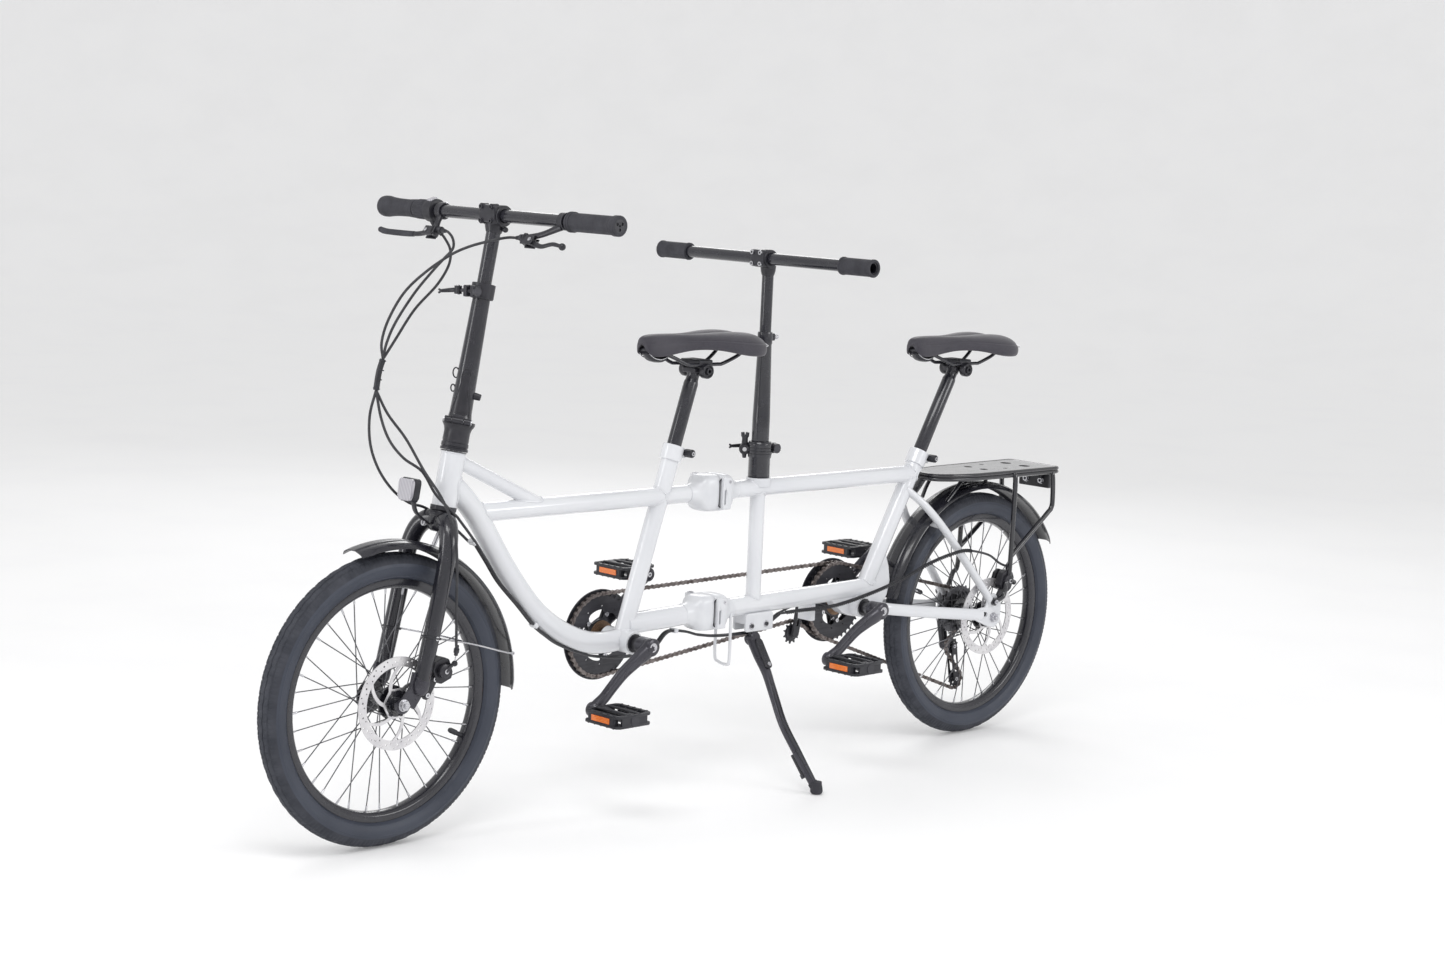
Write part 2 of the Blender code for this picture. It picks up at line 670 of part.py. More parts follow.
def rear_mudguard():
    top = math.radians(97)
    bolt = math.radians(26)
    joins = [
        rod(polar(REAR_AXLE, 0.2740, top), polar(REAR_AXLE, 0.2935, top), 0.0050, sides=8),
        rod(polar(REAR_AXLE, 0.2740, bolt), polar(REAR_AXLE, 0.3000, bolt), 0.0040, sides=8),
    ]
    first, last = math.radians(12), math.radians(150.5)
    mudguard("rear_mudguard", REAR_AXLE, REAR_GUARD_RADIUS, first, last, 16, joins)


def caliper(name, centre, rotor_y, lean, mouth, arm, adapter):
    """A cable caliper that straddles the disc, with its arm and its adapter."""
    turn = Matrix.Rotation(lean, 3, "Y")
    body = box((0.036, 0.025, 0.042), centre, turn, bevel=0.004)
    slot = box((0.060, 0.0038, 0.060), Vector((centre.x, rotor_y, centre.z)) + turn @ Vector(mouth), turn)
    arm_rod = rod(arm[0], arm[1], 0.0045, 0.0030, sides=8)
    pad = stadium(*adapter[:2], 0.006, 0.008, sides=6)
    bracket = plate(pad, 0.0040, Vector((0, adapter[2], 0)))
    part(name, body, BLACK_ALLOY, joins=[arm_rod, bracket], cuts=[slot])


def calipers():
    caliper(
        "front_caliper", Vector((0.6830, 0.0390, 0.3020)), FRONT_ROTOR_Y, math.radians(20), (0.019, 0, 0),
        ((0.684, 0.050, 0.300), (0.662, 0.058, 0.314)),
        ((0.690, 0.292), (0.709, 0.262), 0.0468),
    )
    caliper(
        "rear_caliper", Vector((-0.8040, 0.0490, 0.3260)), REAR_ROTOR_Y, math.radians(-20), (0, 0, -0.021),
        ((-0.812, 0.056, 0.338), (-0.834, 0.058, 0.318)),
        ((-0.802, 0.312), (-0.790, 0.288), 0.0595),
    )


def front_lamp():
    tilt = Matrix.Rotation(math.radians(-8), 3, "Y")
    lens = box((0.018, 0.040, 0.040), (0.724, 0, 0.607), tilt, bevel=0.004)
    bracket = [(0.719, 0, 0.590), (0.710, 0, 0.572), (0.688, 0, 0.553), (0.682, 0, 0.545)]
    part("front_lamp", lens, CLEAR_PLASTIC, joins=[tube(bracket, 0.0040, 8)])


# Folding stem

STEM_FOLD_WAY = (STEER_FRONT + Vector((0, 1, 0))).normalized()
STEM_HINGE_AXIS = STEER_UP.cross(STEM_FOLD_WAY)
STEM_HINGE = on_steering(STEM_BASE_TOP) + STEM_FOLD_WAY * 0.0283
STEM_PIN_RADIUS = 0.0028
RISER_RADIUS = 0.0125
BAR_RADIUS = 0.0111
BAR_CENTRE = on_steering(BAR_HEIGHT)


def along(first, last):
    """Half the length of a stretch of the steering axis, between two heights."""
    return (on_steering(last) - on_steering(first)).length / 2


def stem_base():
    half = along(HEAD_TOP + 0.001, STEM_BASE_TOP)
    middle = (on_steering(HEAD_TOP + 0.001) + on_steering(STEM_BASE_TOP)) / 2
    profile = [(0, half), (0.0280, half), (0.0280, half - 0.007), (0.0225, half - 0.016), (0.0240, -half),
               (0, -half)]
    base = turned(profile, middle, STEER_UP, ROUND, closed=False)
    bore = rod(middle - STEER_UP, middle + STEER_UP, bore_radius(STEERER_RADIUS, ROUND), sides=ROUND)
    ears = []
    for side in (1, -1):
        inner = STEM_HINGE + STEM_HINGE_AXIS * side * 0.0106
        ears.append(rod(inner, inner + STEM_HINGE_AXIS * side * 0.012, 0.0058, sides=12))
    half_pin = STEM_HINGE_AXIS * 0.02
    ears.append(rod(STEM_HINGE - half_pin, STEM_HINGE + half_pin, STEM_PIN_RADIUS, sides=8))
    room = rod(STEM_HINGE - STEM_HINGE_AXIS * 0.0106, STEM_HINGE + STEM_HINGE_AXIS * 0.0106, 0.0068, sides=12)
    combine(base, [room], "DIFFERENCE")
    part("stem_base", base, BLACK_ALLOY, joins=ears, cuts=[bore])


def quick_release_ears(axis_point, x_offset, y_near, y_far, height):
    """Two ears in front of a clamp collar, and the bolt across them."""
    ears = []
    for side in (1, -1):
        centre = axis_point + Vector((x_offset, side * 0.0090, 0))
        ears.append(box((0.018, 0.009, height), centre, bevel=0.002))
    bolt_x = axis_point + Vector((x_offset + 0.003, 0, 0))
    ears.append(rod(bolt_x + Vector((0, y_far, 0)), bolt_x + Vector((0, y_near, 0)), 0.0035, sides=10))
    return ears


def stem_post():
    bottom, top = STEM_BASE_TOP + GAP, STEM_COLLAR + 0.012
    half = along(bottom, top)
    collar = half - along(STEM_COLLAR - 0.012, top) * 2
    profile = [(0, half), (0.0205, half), (0.0205, collar), (0.0152, collar - 0.002), (0.0180, -half + 0.06),
               (0.0195, -half), (0, -half)]
    middle = (on_steering(bottom) + on_steering(top)) / 2
    lug = rod(STEM_HINGE - STEM_HINGE_AXIS * 0.0100, STEM_HINGE + STEM_HINGE_AXIS * 0.0100, 0.0058, sides=12)
    foot_centre = STEM_HINGE - STEM_FOLD_WAY * 0.0110 + STEER_UP * 0.0053
    foot = box((0.026, 0.020, 0.010), foot_centre, facing(STEER_UP, STEM_FOLD_WAY).to_3x3())
    half_pin = STEM_HINGE_AXIS * 0.02
    pin_bore = rod(STEM_HINGE - half_pin, STEM_HINGE + half_pin, bore_radius(STEM_PIN_RADIUS, 12), sides=12)
    riser_bore = bore_radius(RISER_RADIUS, ROUND)
    inside = rod(on_steering(bottom - 0.01), on_steering(top + 0.01), riser_bore, sides=ROUND)
    ears = quick_release_ears(on_steering(STEM_COLLAR), 0.0240, 0.0190, -0.0260, 0.020)
    post = turned(profile, middle, STEER_UP, ROUND, closed=False)
    part("stem_post", post, BLACK_PAINT, joins=[foot, lug, *ears], cuts=[pin_bore, inside])


STEM_LEVER_PIVOT = on_steering(STEM_COLLAR) + Vector((0.0270, -0.0330, 0))


def lever_cam(pivot, tip, width, cam_radius, axis):
    """A quick release lever: a round cam and a flat arm that tapers to its tip."""
    axis = Vector(axis).normalized() * width / 2
    cam = rod(pivot - axis, pivot + axis, cam_radius, sides=14)
    return cam, rod(pivot, tip, cam_radius * 0.62, cam_radius * 0.45, sides=8)


def stem_lever():
    tip = STEM_LEVER_PIVOT + Vector((0.016, -0.030, -0.004))
    cam, arm = lever_cam(STEM_LEVER_PIVOT, tip, 0.014, 0.0066, STEER_UP)
    part("stem_lever", cam, BLACK_PLASTIC, joins=[arm])


def stem_riser():
    post = rod(on_steering(0.800), on_steering(BAR_HEIGHT - 0.008), RISER_RADIUS, sides=ROUND)
    half = Vector((0, 0.022, 0))
    clamp = rod(BAR_CENTRE - half, BAR_CENTRE + half, 0.0185, sides=16)
    lugs = []
    for side in (1, -1):
        lug_centre = BAR_CENTRE + Vector((0.014, side * 0.013, 0.004))
        lugs.append(box((0.020, 0.010, 0.030), lug_centre, bevel=0.002))
    bore = rod(BAR_CENTRE - 2 * half, BAR_CENTRE + 2 * half, bore_radius(BAR_RADIUS, ROUND), sides=ROUND)
    part("stem_riser", post, BLACK_PAINT, joins=[clamp, *lugs], cuts=[bore])


# Where each brake lever turns, under and in front of the bar
LEVER_DROP = Vector((0.0265, 0, -0.0370))
LEFT_LEVER_PIVOT = BAR_CENTRE + LEVER_DROP + Vector((0, 0.125, 0))
RIGHT_LEVER_PIVOT = BAR_CENTRE + LEVER_DROP + Vector((0, -0.150, 0))
LEVER_AXIS = Vector((LEVER_DROP.z, 0, -LEVER_DROP.x)).normalized()


def perch(ring_y, pivot):
    """A lever's bracket: a ring on the bar, and an arm with two cheeks round the lever."""
    out = LEVER_DROP.normalized()
    ring_centre = BAR_CENTRE + Vector((0, ring_y, 0))
    half = Vector((0, 0.0065, 0))
    inward = Vector((0, -1 if ring_y > 0 else 1, 0))
    behind = pivot + inward * 0.018 - out * 0.007
    turn = facing(LEVER_AXIS, out).to_3x3()
    pieces = [
        rod(ring_centre - half, ring_centre + half, 0.0150, sides=16),
        rod(ring_centre + out * 0.0120, behind, 0.0062, 0.0055, sides=10),
        rod(behind, behind + inward * 0.016, 0.0045, 0.0035, sides=8),
        box((0.018, 0.008, 0.0150), pivot + inward * 0.0175 - out * 0.003, turn),
    ]
    for side in (1, -1):
        cheek = pivot + inward * 0.0065 + LEVER_AXIS * side * 0.0062
        pieces.append(box((0.018, 0.026, 0.0026), cheek, turn))
    return pieces


def handlebar():
    reach = Vector((0, 0.3085, 0))
    bar = rod(BAR_CENTRE - reach, BAR_CENTRE + reach, BAR_RADIUS, sides=ROUND)
    joins = perch(0.175, LEFT_LEVER_PIVOT) + perch(-0.145, RIGHT_LEVER_PIVOT)
    part("handlebar", bar, BLACK_PAINT, joins=joins)


def bar_sleeve(name, centre, stations, look):
    """A grip or a shifter: (distance along the bar, radius) stations, from the middle outwards."""
    bore = bore_radius(BAR_RADIUS, ROUND, GAP)
    side = 1 if stations[-1][0] > 0 else -1
    ordered = stations if side < 0 else list(reversed(stations))
    profile = [(r, y) for y, r in ordered]
    profile += [(bore, ordered[-1][0]), (bore, ordered[0][0])]
    part(name, turned(profile, centre, (0, 1, 0), ROUND), look)


def bar_sleeves():
    bar_sleeve("left_grip", BAR_CENTRE, [(0.190, 0.0175), (0.199, 0.0175), (0.200, 0.0155), (0.296, 0.0160),
                                         (0.297, 0.0172), (0.310, 0.0168)], RUBBER)
    bar_sleeve("right_grip", BAR_CENTRE, [(-0.2145, 0.0160), (-0.270, 0.0150), (-0.296, 0.0185),
                                          (-0.310, 0.0170)], RUBBER)
    bar_sleeve("twist_shifter", BAR_CENTRE, [(-0.1575, 0.0200), (-0.176, 0.0215), (-0.178, 0.0172),
                                             (-0.2135, 0.0165)], BLACK_PLASTIC)


def brake_levers():
    """The left lever is short, with a ball end. The right one is long."""
    for name, pivot, reach, swell in (
        ("left_brake_lever", LEFT_LEVER_PIVOT, 0.078, 0.0062),
        ("right_brake_lever", RIGHT_LEVER_PIVOT, -0.130, 0.0058),
    ):
        boss = rod(pivot - LEVER_AXIS * 0.0044, pivot + LEVER_AXIS * 0.0044, 0.0065, sides=12)
        out = LEVER_DROP.normalized()
        bend = pivot + Vector((0, reach * 0.35, 0)) + out * 0.007
        tip = pivot + Vector((0, reach, 0)) + out * 0.004
        joins = [rod(pivot, bend, 0.0038, 0.0045, sides=8), rod(bend, tip, 0.0045, 0.0050, sides=8)]
        joins += [ball(bend, 0.0047, 8), ball(tip, swell, 8)]
        part(name, boss, BLACK_ALLOY, joins=joins)


# Cranks, pedals and chains


def crank_pair(end, centre, angle, rings):
    """A left arm, and a right arm that carries the spindle and the rings."""
    foot = (centre.x, centre.z)
    spindle_end = 0.0518
    for side, name in ((1, f"{end}_left_crank"), (-1, f"{end}_right_crank")):
        turn = angle if side > 0 else angle + math.pi
        tip = polar(centre, CRANK_LENGTH, turn)
        arm = plate(stadium(foot, (tip.x, tip.z), 0.0160, 0.0125, 8), 0.014, Vector((0, side * 0.0800, 0)))
        inner = spindle_end + GAP if side > 0 else 0.0590
        boss = rod(centre + Vector((0, side * inner, 0)), centre + Vector((0, side * 0.0740, 0)), 0.0160)
        axle_ends = tip + Vector((0, side * 0.080, 0)), tip + Vector((0, side * 0.190, 0))
        axle = rod(*axle_ends, PEDAL_AXLE_RADIUS, sides=12)
        joins = [boss, axle]
        if side < 0:
            spindle = (centre + Vector((0, -0.066, 0)), centre + Vector((0, spindle_end, 0)))
            joins.append(rod(*spindle, 0.0112, sides=16))
            for y in rings:
                joins.append(rod(centre + Vector((0, y - 0.002, 0)), centre + Vector((0, y + 0.002, 0)),
                                 RING_RADIUS, sides=32))
        part(name, arm, BLACK_ALLOY, joins=joins)
        pedal(f"{end}_{'left' if side > 0 else 'right'}_pedal", tip + Vector((0, side * 0.1455, 0)))


def pedal(name, centre):
    """A level platform with two windows, bored for the crank's axle."""
    body = box((0.084, 0.090, 0.025), centre, bevel=0.004)
    reach = Vector((0, 0.06, 0))
    cuts = [rod(centre - reach, centre + reach, bore_radius(PEDAL_AXLE_RADIUS, 12), sides=12)]
    for side in (1, -1):
        cuts.append(box((0.022, 0.070, 0.040), centre + Vector((side * 0.0225, 0, 0))))
    part(name, body, BLACK_PLASTIC, pivot=centre, cuts=cuts)


def belt_line(wheels, offset, arc_step=math.radians(15)):
    """Outline of a loop round some (x, z, radius) wheels. A negative radius is turned the other way."""
    count = len(wheels)
    headings = []
    for k in range(count):
        x0, z0, r0 = wheels[k]
        x1, z1, r1 = wheels[(k + 1) % count]
        apart = math.hypot(x1 - x0, z1 - z0)
        headings.append(math.atan2(z1 - z0, x1 - x0) - math.asin((r1 - r0) / apart))
    points = []
    for k in range(count):
        x, z, radius = wheels[k]
        arrive, leave = headings[k - 1], headings[k]
        sweep = (leave - arrive) % math.tau if radius > 0 else -((arrive - leave) % math.tau)
        steps = max(2, round(abs(sweep) / arc_step))
        for step in range(steps + 1):
            heading = arrive + sweep * step / steps
            reach = (radius + offset) / math.cos(sweep / steps / 2)
            points.append((x + reach * math.sin(heading), z - reach * math.cos(heading)))
    return points


def chain_loop(wheels, y):
    outer = belt_line(wheels, CHAIN_HALF)
    inner = belt_line(wheels, -CHAIN_HALF)
    return plate(outer, CHAIN_WIDTH, Vector((0, y, 0)), [inner])


TENSIONER_PIVOT = Vector((-0.300, -0.0455, 0.300))
TENSIONER_PULLEY = Vector((-0.2905, TIMING_Y, 0.2480))
PULLEY_RADIUS = 0.0200
GUIDE_PULLEY = Vector((-0.774, DRIVE_Y, 0.172))
CAGE_PULLEY = Vector((-0.786, DRIVE_Y, 0.101))
CAGE_PULLEY_RADIUS = 0.0160
PULLEY_PITCH = GAP + CHAIN_HALF


def timing_chain():
    """The chain between the cranksets, parted where the frame folds."""
    wheels = [
        (FRONT_BB.x, FRONT_BB.z, PITCH_RADIUS),
        (REAR_BB.x, REAR_BB.z, PITCH_RADIUS),
        (TENSIONER_PULLEY.x, TENSIONER_PULLEY.z, -(PULLEY_RADIUS + PULLEY_PITCH)),
    ]
    for name, side in (("timing_chain_front", -1), ("timing_chain_rear", 1)):
        beyond = box((1.0, 0.1, 1.0), (FOLD_PLANE + side * (0.5 - GAP / 2), TIMING_Y, 0.3))
        part(name, chain_loop(wheels, TIMING_Y), CHAIN_STEEL, cuts=[beyond])


def drive_chain():
    wheels = [
        (REAR_BB.x, REAR_BB.z, PITCH_RADIUS),
        (REAR_AXLE.x, REAR_AXLE.z, SPROCKET_RADIUS + PULLEY_PITCH),
        (GUIDE_PULLEY.x, GUIDE_PULLEY.z, -(CAGE_PULLEY_RADIUS + PULLEY_PITCH)),
        (CAGE_PULLEY.x, CAGE_PULLEY.z, CAGE_PULLEY_RADIUS + PULLEY_PITCH),
    ]
    part("drive_chain", chain_loop(wheels, DRIVE_Y), CHAIN_STEEL)


def chain_tensioner():
    """A sprung arm whose pulley lifts the lower run of the timing chain."""
    pivot = (TENSIONER_PIVOT.x, TENSIONER_PIVOT.z)
    foot = (TENSIONER_PULLEY.x, TENSIONER_PULLEY.z)
    arm = plate(stadium(pivot, foot, 0.0095, 0.0080, 6), 0.005, Vector((0, TENSIONER_PIVOT.y, 0)))
    boss = (TENSIONER_PIVOT + Vector((0, 0.0095, 0)), TENSIONER_PIVOT)
    near = TENSIONER_PULLEY + Vector((0, 0.0028, 0))
    joins = [
        rod(*boss, 0.0075, sides=12),
        rod(near + Vector((0, 0.0070, 0)), TENSIONER_PULLEY, 0.0050, sides=10),
        rod(near, TENSIONER_PULLEY - Vector((0, 0.0028, 0)), PULLEY_RADIUS, sides=16),
    ]
    part("chain_tensioner", arm, BLACK_PLASTIC, pivot=TENSIONER_PIVOT, joins=joins)


def rear_derailleur():
    hanger = Vector((-0.774, -0.0688, 0.222))
    knuckle = Vector((GUIDE_PULLEY.x, -0.0523, GUIDE_PULLEY.z))
    mount = rod(hanger, hanger + Vector((0, -0.013, 0)), 0.0090, sides=14)
    link = (hanger + Vector((0, -0.0087, 0)), knuckle + Vector((0, -0.0140, 0)))
    joins = [
        rod(*link, 0.0065, sides=10),
        rod(knuckle, knuckle + Vector((0, -0.020, 0)), 0.0110, sides=14),
    ]
    part("rear_derailleur", mount, BLACK_ALLOY, joins=joins)


def derailleur_cage():
    """Two plates with a guide pulley and a tension pulley between them."""
    ends = ((GUIDE_PULLEY.x, GUIDE_PULLEY.z), (CAGE_PULLEY.x, CAGE_PULLEY.z))
    outer = plate(stadium(*ends, 0.0100, 0.0090, 6), 0.0020, Vector((0, DRIVE_Y - 0.0064, 0)))
    joins = [plate(stadium(*ends, 0.0070, 0.0070, 6), 0.0020, Vector((0, DRIVE_Y + 0.0064, 0)))]
    for pulley in (GUIDE_PULLEY, CAGE_PULLEY):
        shaft, wheel = Vector((0, 0.0065, 0)), Vector((0, 0.0026, 0))
        joins.append(rod(pulley - shaft, pulley + shaft, 0.0035, sides=10))
        joins.append(rod(pulley - wheel, pulley + wheel, CAGE_PULLEY_RADIUS, sides=16))
    part("derailleur_cage", outer, BLACK_ALLOY, pivot=GUIDE_PULLEY, joins=joins)


def drive():
    crank_pair("front", FRONT_BB, FRONT_CRANK_ANGLE, (TIMING_Y,))
    crank_pair("rear", REAR_BB, REAR_CRANK_ANGLE, (TIMING_Y, DRIVE_Y))
    cassette()
    timing_chain()
    drive_chain()
    chain_tensioner()
    rear_derailleur()
    derailleur_cage()


# Seats


def loft(rings):
    """A closed solid through rings that have the same number of points."""
    shape = bmesh.new()
    rows = [[shape.verts.new(point) for point in ring] for ring in rings]
    for near, far in zip(rows, rows[1:]):
        for k in range(len(near)):
            after = (k + 1) % len(near)
            shape.faces.new((near[k], near[after], far[after], far[k]))
    shape.faces.new(rows[0])
    shape.faces.new(rows[-1])
    bmesh.ops.recalc_face_normals(shape, faces=shape.faces)
    mesh = bpy.data.meshes.new("loft")
    shape.to_mesh(mesh)
    shape.free()
    return helper(bpy.data.objects.new("loft", mesh))


# Saddle stations: (distance ahead of the post head, half width, top above it, depth of the skirt)
SADDLE_STATIONS = (
    (0.1415, 0.008, 0.0460, 0.012), (0.1370, 0.018, 0.0510, 0.024), (0.115, 0.0215, 0.0555, 0.036),
    (0.070, 0.0245, 0.0560, 0.036), (0.030, 0.0340, 0.0560, 0.034), (-0.010, 0.0520, 0.0565, 0.036),
    (-0.045, 0.0690, 0.0570, 0.040), (-0.080, 0.0775, 0.0560, 0.042), (-0.110, 0.0735, 0.0520, 0.038),
    (-0.127, 0.0540, 0.0460, 0.030), (-0.1330, 0.0300, 0.0420, 0.020),
)
SADDLE_SECTION = (
    (0.0, 0.0), (0.45, -0.08), (0.80, -0.26), (0.97, -0.55), (1.0, -0.80), (0.94, -1.0), (0.0, -0.92),
)


def saddle(name, head):
    rings = []
    for x, half_width, top, depth in SADDLE_STATIONS:
        right = []
        for across, down in SADDLE_SECTION:
            right.append((head.x + x, half_width * across, head.z + top + depth * down))
        left = [(p[0], -p[1], p[2]) for p in reversed(right[1:-1])]
        rings.append(right + left)
    rails = []
    for side in (1, -1):
        y = side * 0.0225
        route = [(head.x - 0.085, y * 1.4, head.z + 0.022), (head.x - 0.040, y, head.z - 0.002),
                 (head.x + 0.038, y, head.z - 0.002), (head.x + 0.095, y * 0.6, head.z + 0.028)]
        rails.append(tube(route, 0.0035, 8))
    part(name, loft(rings), VINYL, pivot=head, joins=rails)


def seatpost(name, on_axis, foot, head):
    """A post with a rail clamp on its head."""
    post = rod(on_axis(foot), on_axis(head.z - 0.008), SEATPOST_RADIUS, sides=ROUND)
    low = head + Vector((0, 0, -0.014))
    joins = [
        box((0.042, 0.034, 0.020), low + Vector((0, 0, 0.004)), bevel=0.003),
        rod(low + Vector((0, -0.036, 0)), low + Vector((0, 0.036, 0)), 0.0045, sides=12),
    ]
    for side in (1, -1):
        cheek = low + Vector((0, side * 0.0272, 0.004))
        joins.append(rod(cheek, cheek + Vector((0, side * 0.006, 0)), 0.0140, sides=16))
    part(name, post, BLACK_PAINT, joins=joins)


def seats():
    front_head, rear_head = on_front_seat(0.801), on_rear_seat(0.779)
    seatpost("front_seatpost", on_front_seat, 0.520, front_head)
    seatpost("rear_seatpost", on_rear_seat, 0.480, rear_head)
    saddle("front_saddle", front_head)
    saddle("rear_saddle", rear_head)


# Stoker's bar

STOKER_POST_RADIUS = 0.01665
STOKER_RISER_RADIUS = 0.0110
STOKER_BAR = Vector((-0.107, 0, 0.9915))
STOKER_CLAMP = 0.632
SOCKET_FOOT = 0.5768


def on_stoker(height):
    return Vector((STOKER_X, 0, height))


def stoker_socket():
    body = rod(on_stoker(SOCKET_FOOT), on_stoker(0.645), 0.0208, sides=ROUND)
    joins = []
    for side in (1, -1):
        ear = on_stoker(STOKER_CLAMP) + Vector((-0.024, side * 0.0085, 0))
        joins.append(box((0.018, 0.009, 0.020), ear, bevel=0.002))
    bolt = on_stoker(STOKER_CLAMP) + Vector((-0.026, 0, 0))
    joins.append(rod(bolt + Vector((0, -0.026, 0)), bolt + Vector((0, 0.022, 0)), 0.0045, sides=12))
    post_bore = bore_radius(STOKER_POST_RADIUS, ROUND)
    bore = rod(on_stoker(SOCKET_FOOT + 0.002), on_stoker(0.66), post_bore, sides=ROUND)
    part("stoker_socket", body, BLACK_PAINT, joins=joins, cuts=[bore])


STOKER_LEVER_PIVOT = on_stoker(STOKER_CLAMP) + Vector((-0.026, -0.0335, 0))


def stoker_lever():
    tip = STOKER_LEVER_PIVOT + Vector((0.058, -0.014, 0))
    cam, arm = lever_cam(STOKER_LEVER_PIVOT, tip, 0.016, 0.0070, (0, 0, 1))
    part("stoker_lever", cam, BLACK_ALLOY, joins=[arm])


def stoker_bars():
    foot, top = SOCKET_FOOT + 0.003, 0.853
    mid = (foot + top) / 2
    profile = [(0, top - mid), (0.0140, top - mid), (0.0140, 0.833 - mid), (0.0130, 0.831 - mid),
               (STOKER_POST_RADIUS, 0.690 - mid), (STOKER_POST_RADIUS, foot - mid), (0, foot - mid)]
    post = turned(profile, on_stoker(mid), (0, 0, 1), ROUND, closed=False)
    pinch = box((0.012, 0.012, 0.014), on_stoker(0.843) + Vector((-0.017, 0, 0)), bevel=0.002)
    bore = rod(on_stoker(0.640), on_stoker(0.87), bore_radius(STOKER_RISER_RADIUS, ROUND), sides=ROUND)
    part("stoker_post", post, BLACK_PAINT, joins=[pinch], cuts=[bore])

    riser = rod(on_stoker(0.740), on_stoker(0.9850), STOKER_RISER_RADIUS, sides=ROUND)
    half = Vector((0, 0.019, 0))
    clamp = rod(STOKER_BAR - half, STOKER_BAR + half, 0.0175, sides=16)
    bar_bore = rod(STOKER_BAR - 2 * half, STOKER_BAR + 2 * half, bore_radius(BAR_RADIUS, ROUND), sides=ROUND)
    part("stoker_riser", riser, BLACK_PAINT, joins=[clamp], cuts=[bar_bore])

    reach = Vector((0, 0.2760, 0))
    part("stoker_bar", rod(STOKER_BAR - reach, STOKER_BAR + reach, BAR_RADIUS, sides=ROUND), BLACK_PAINT)
    for name, side in (("stoker_left_grip", 1), ("stoker_right_grip", -1)):
        stations = [(side * 0.200, 0.0165), (side * 0.206, 0.0155), (side * 0.272, 0.0160),
                    (side * 0.278, 0.0165)]
        bar_sleeve(name, STOKER_BAR, stations, RUBBER)


# Carrier and stand


def rear_rack():
    """A slotted platform on two legs and two struts, with the rear reflector under its tail."""
    outline = [(-0.600, 0.028), (-0.640, 0.050), (-0.695, 0.063), (-0.955, 0.068), (-0.966, 0.060)]
    outline += [(x, -y) for x, y in reversed(outline)]
    slots = []
    for k in range(5):
        x, stagger = -0.690 - 0.055 * k, 0.0004 * k * k
        for side in (1, -1):
            ends = (x, side * (0.018 + stagger)), (x, side * (0.044 + stagger))
            slots.append(stadium(*ends, 0.0085, 0.0085, 4))
    flat = Matrix.Identity(3)
    top = plate(outline, 0.006, Vector((0, 0, 0.553)), slots, turn=flat)
    leg = [(-0.812, 0.0625, 0.5510), (-0.812, 0.069, 0.535), (-0.808, 0.0695, 0.344), (-0.790, 0.0735, 0.314),
           (-0.783, 0.0750, 0.264)]
    strut = [(-0.935, 0.0610, 0.5510), (-0.936, 0.069, 0.530), (-0.939, 0.069, 0.479), (-0.924, 0.069, 0.459),
             (-0.809, 0.0695, 0.376)]
    joins = [
        box((0.026, 0.080, 0.030), (-0.972, 0, 0.520), bevel=0.004),
        box((0.014, 0.030, 0.030), (-0.955, 0, 0.540)),
    ]
    for route in (leg, strut):
        joins += [tube(route, 0.0050, 6), tube(mirrored(route), 0.0050, 6)]
    part("rear_rack", top, BLACK_PAINT, joins=joins)


KICKSTAND_AXIS = Vector((0, 0.889, 0.458)).normalized()


def kickstand():
    """A bent leg that swings back about a sloping pin."""
    reach = KICKSTAND_AXIS * 0.012
    hinge = rod(KICKSTAND_PIVOT - reach, KICKSTAND_PIVOT + reach, 0.0110, sides=16)
    leg = [KICKSTAND_PIVOT, Vector((-0.112, 0.054, 0.204)), Vector((-0.100, 0.112, 0.118)),
           Vector((-0.113, 0.1835, 0.020))]
    sole = Vector((-0.115, 0.1930, 0.0062))
    joins = [tube(leg, 0.0085, 8), ball(sole, 0.0120, 10), rod(leg[-1], sole, 0.0090, 0.0110, 10)]
    below = box((0.05, 0.05, 0.02), (sole.x, sole.y, -0.0090))
    part("kickstand", hinge, BLACK_ALLOY, pivot=KICKSTAND_PIVOT, joins=joins, cuts=[below])


# Cables

CABLE_RADIUS = 0.0024


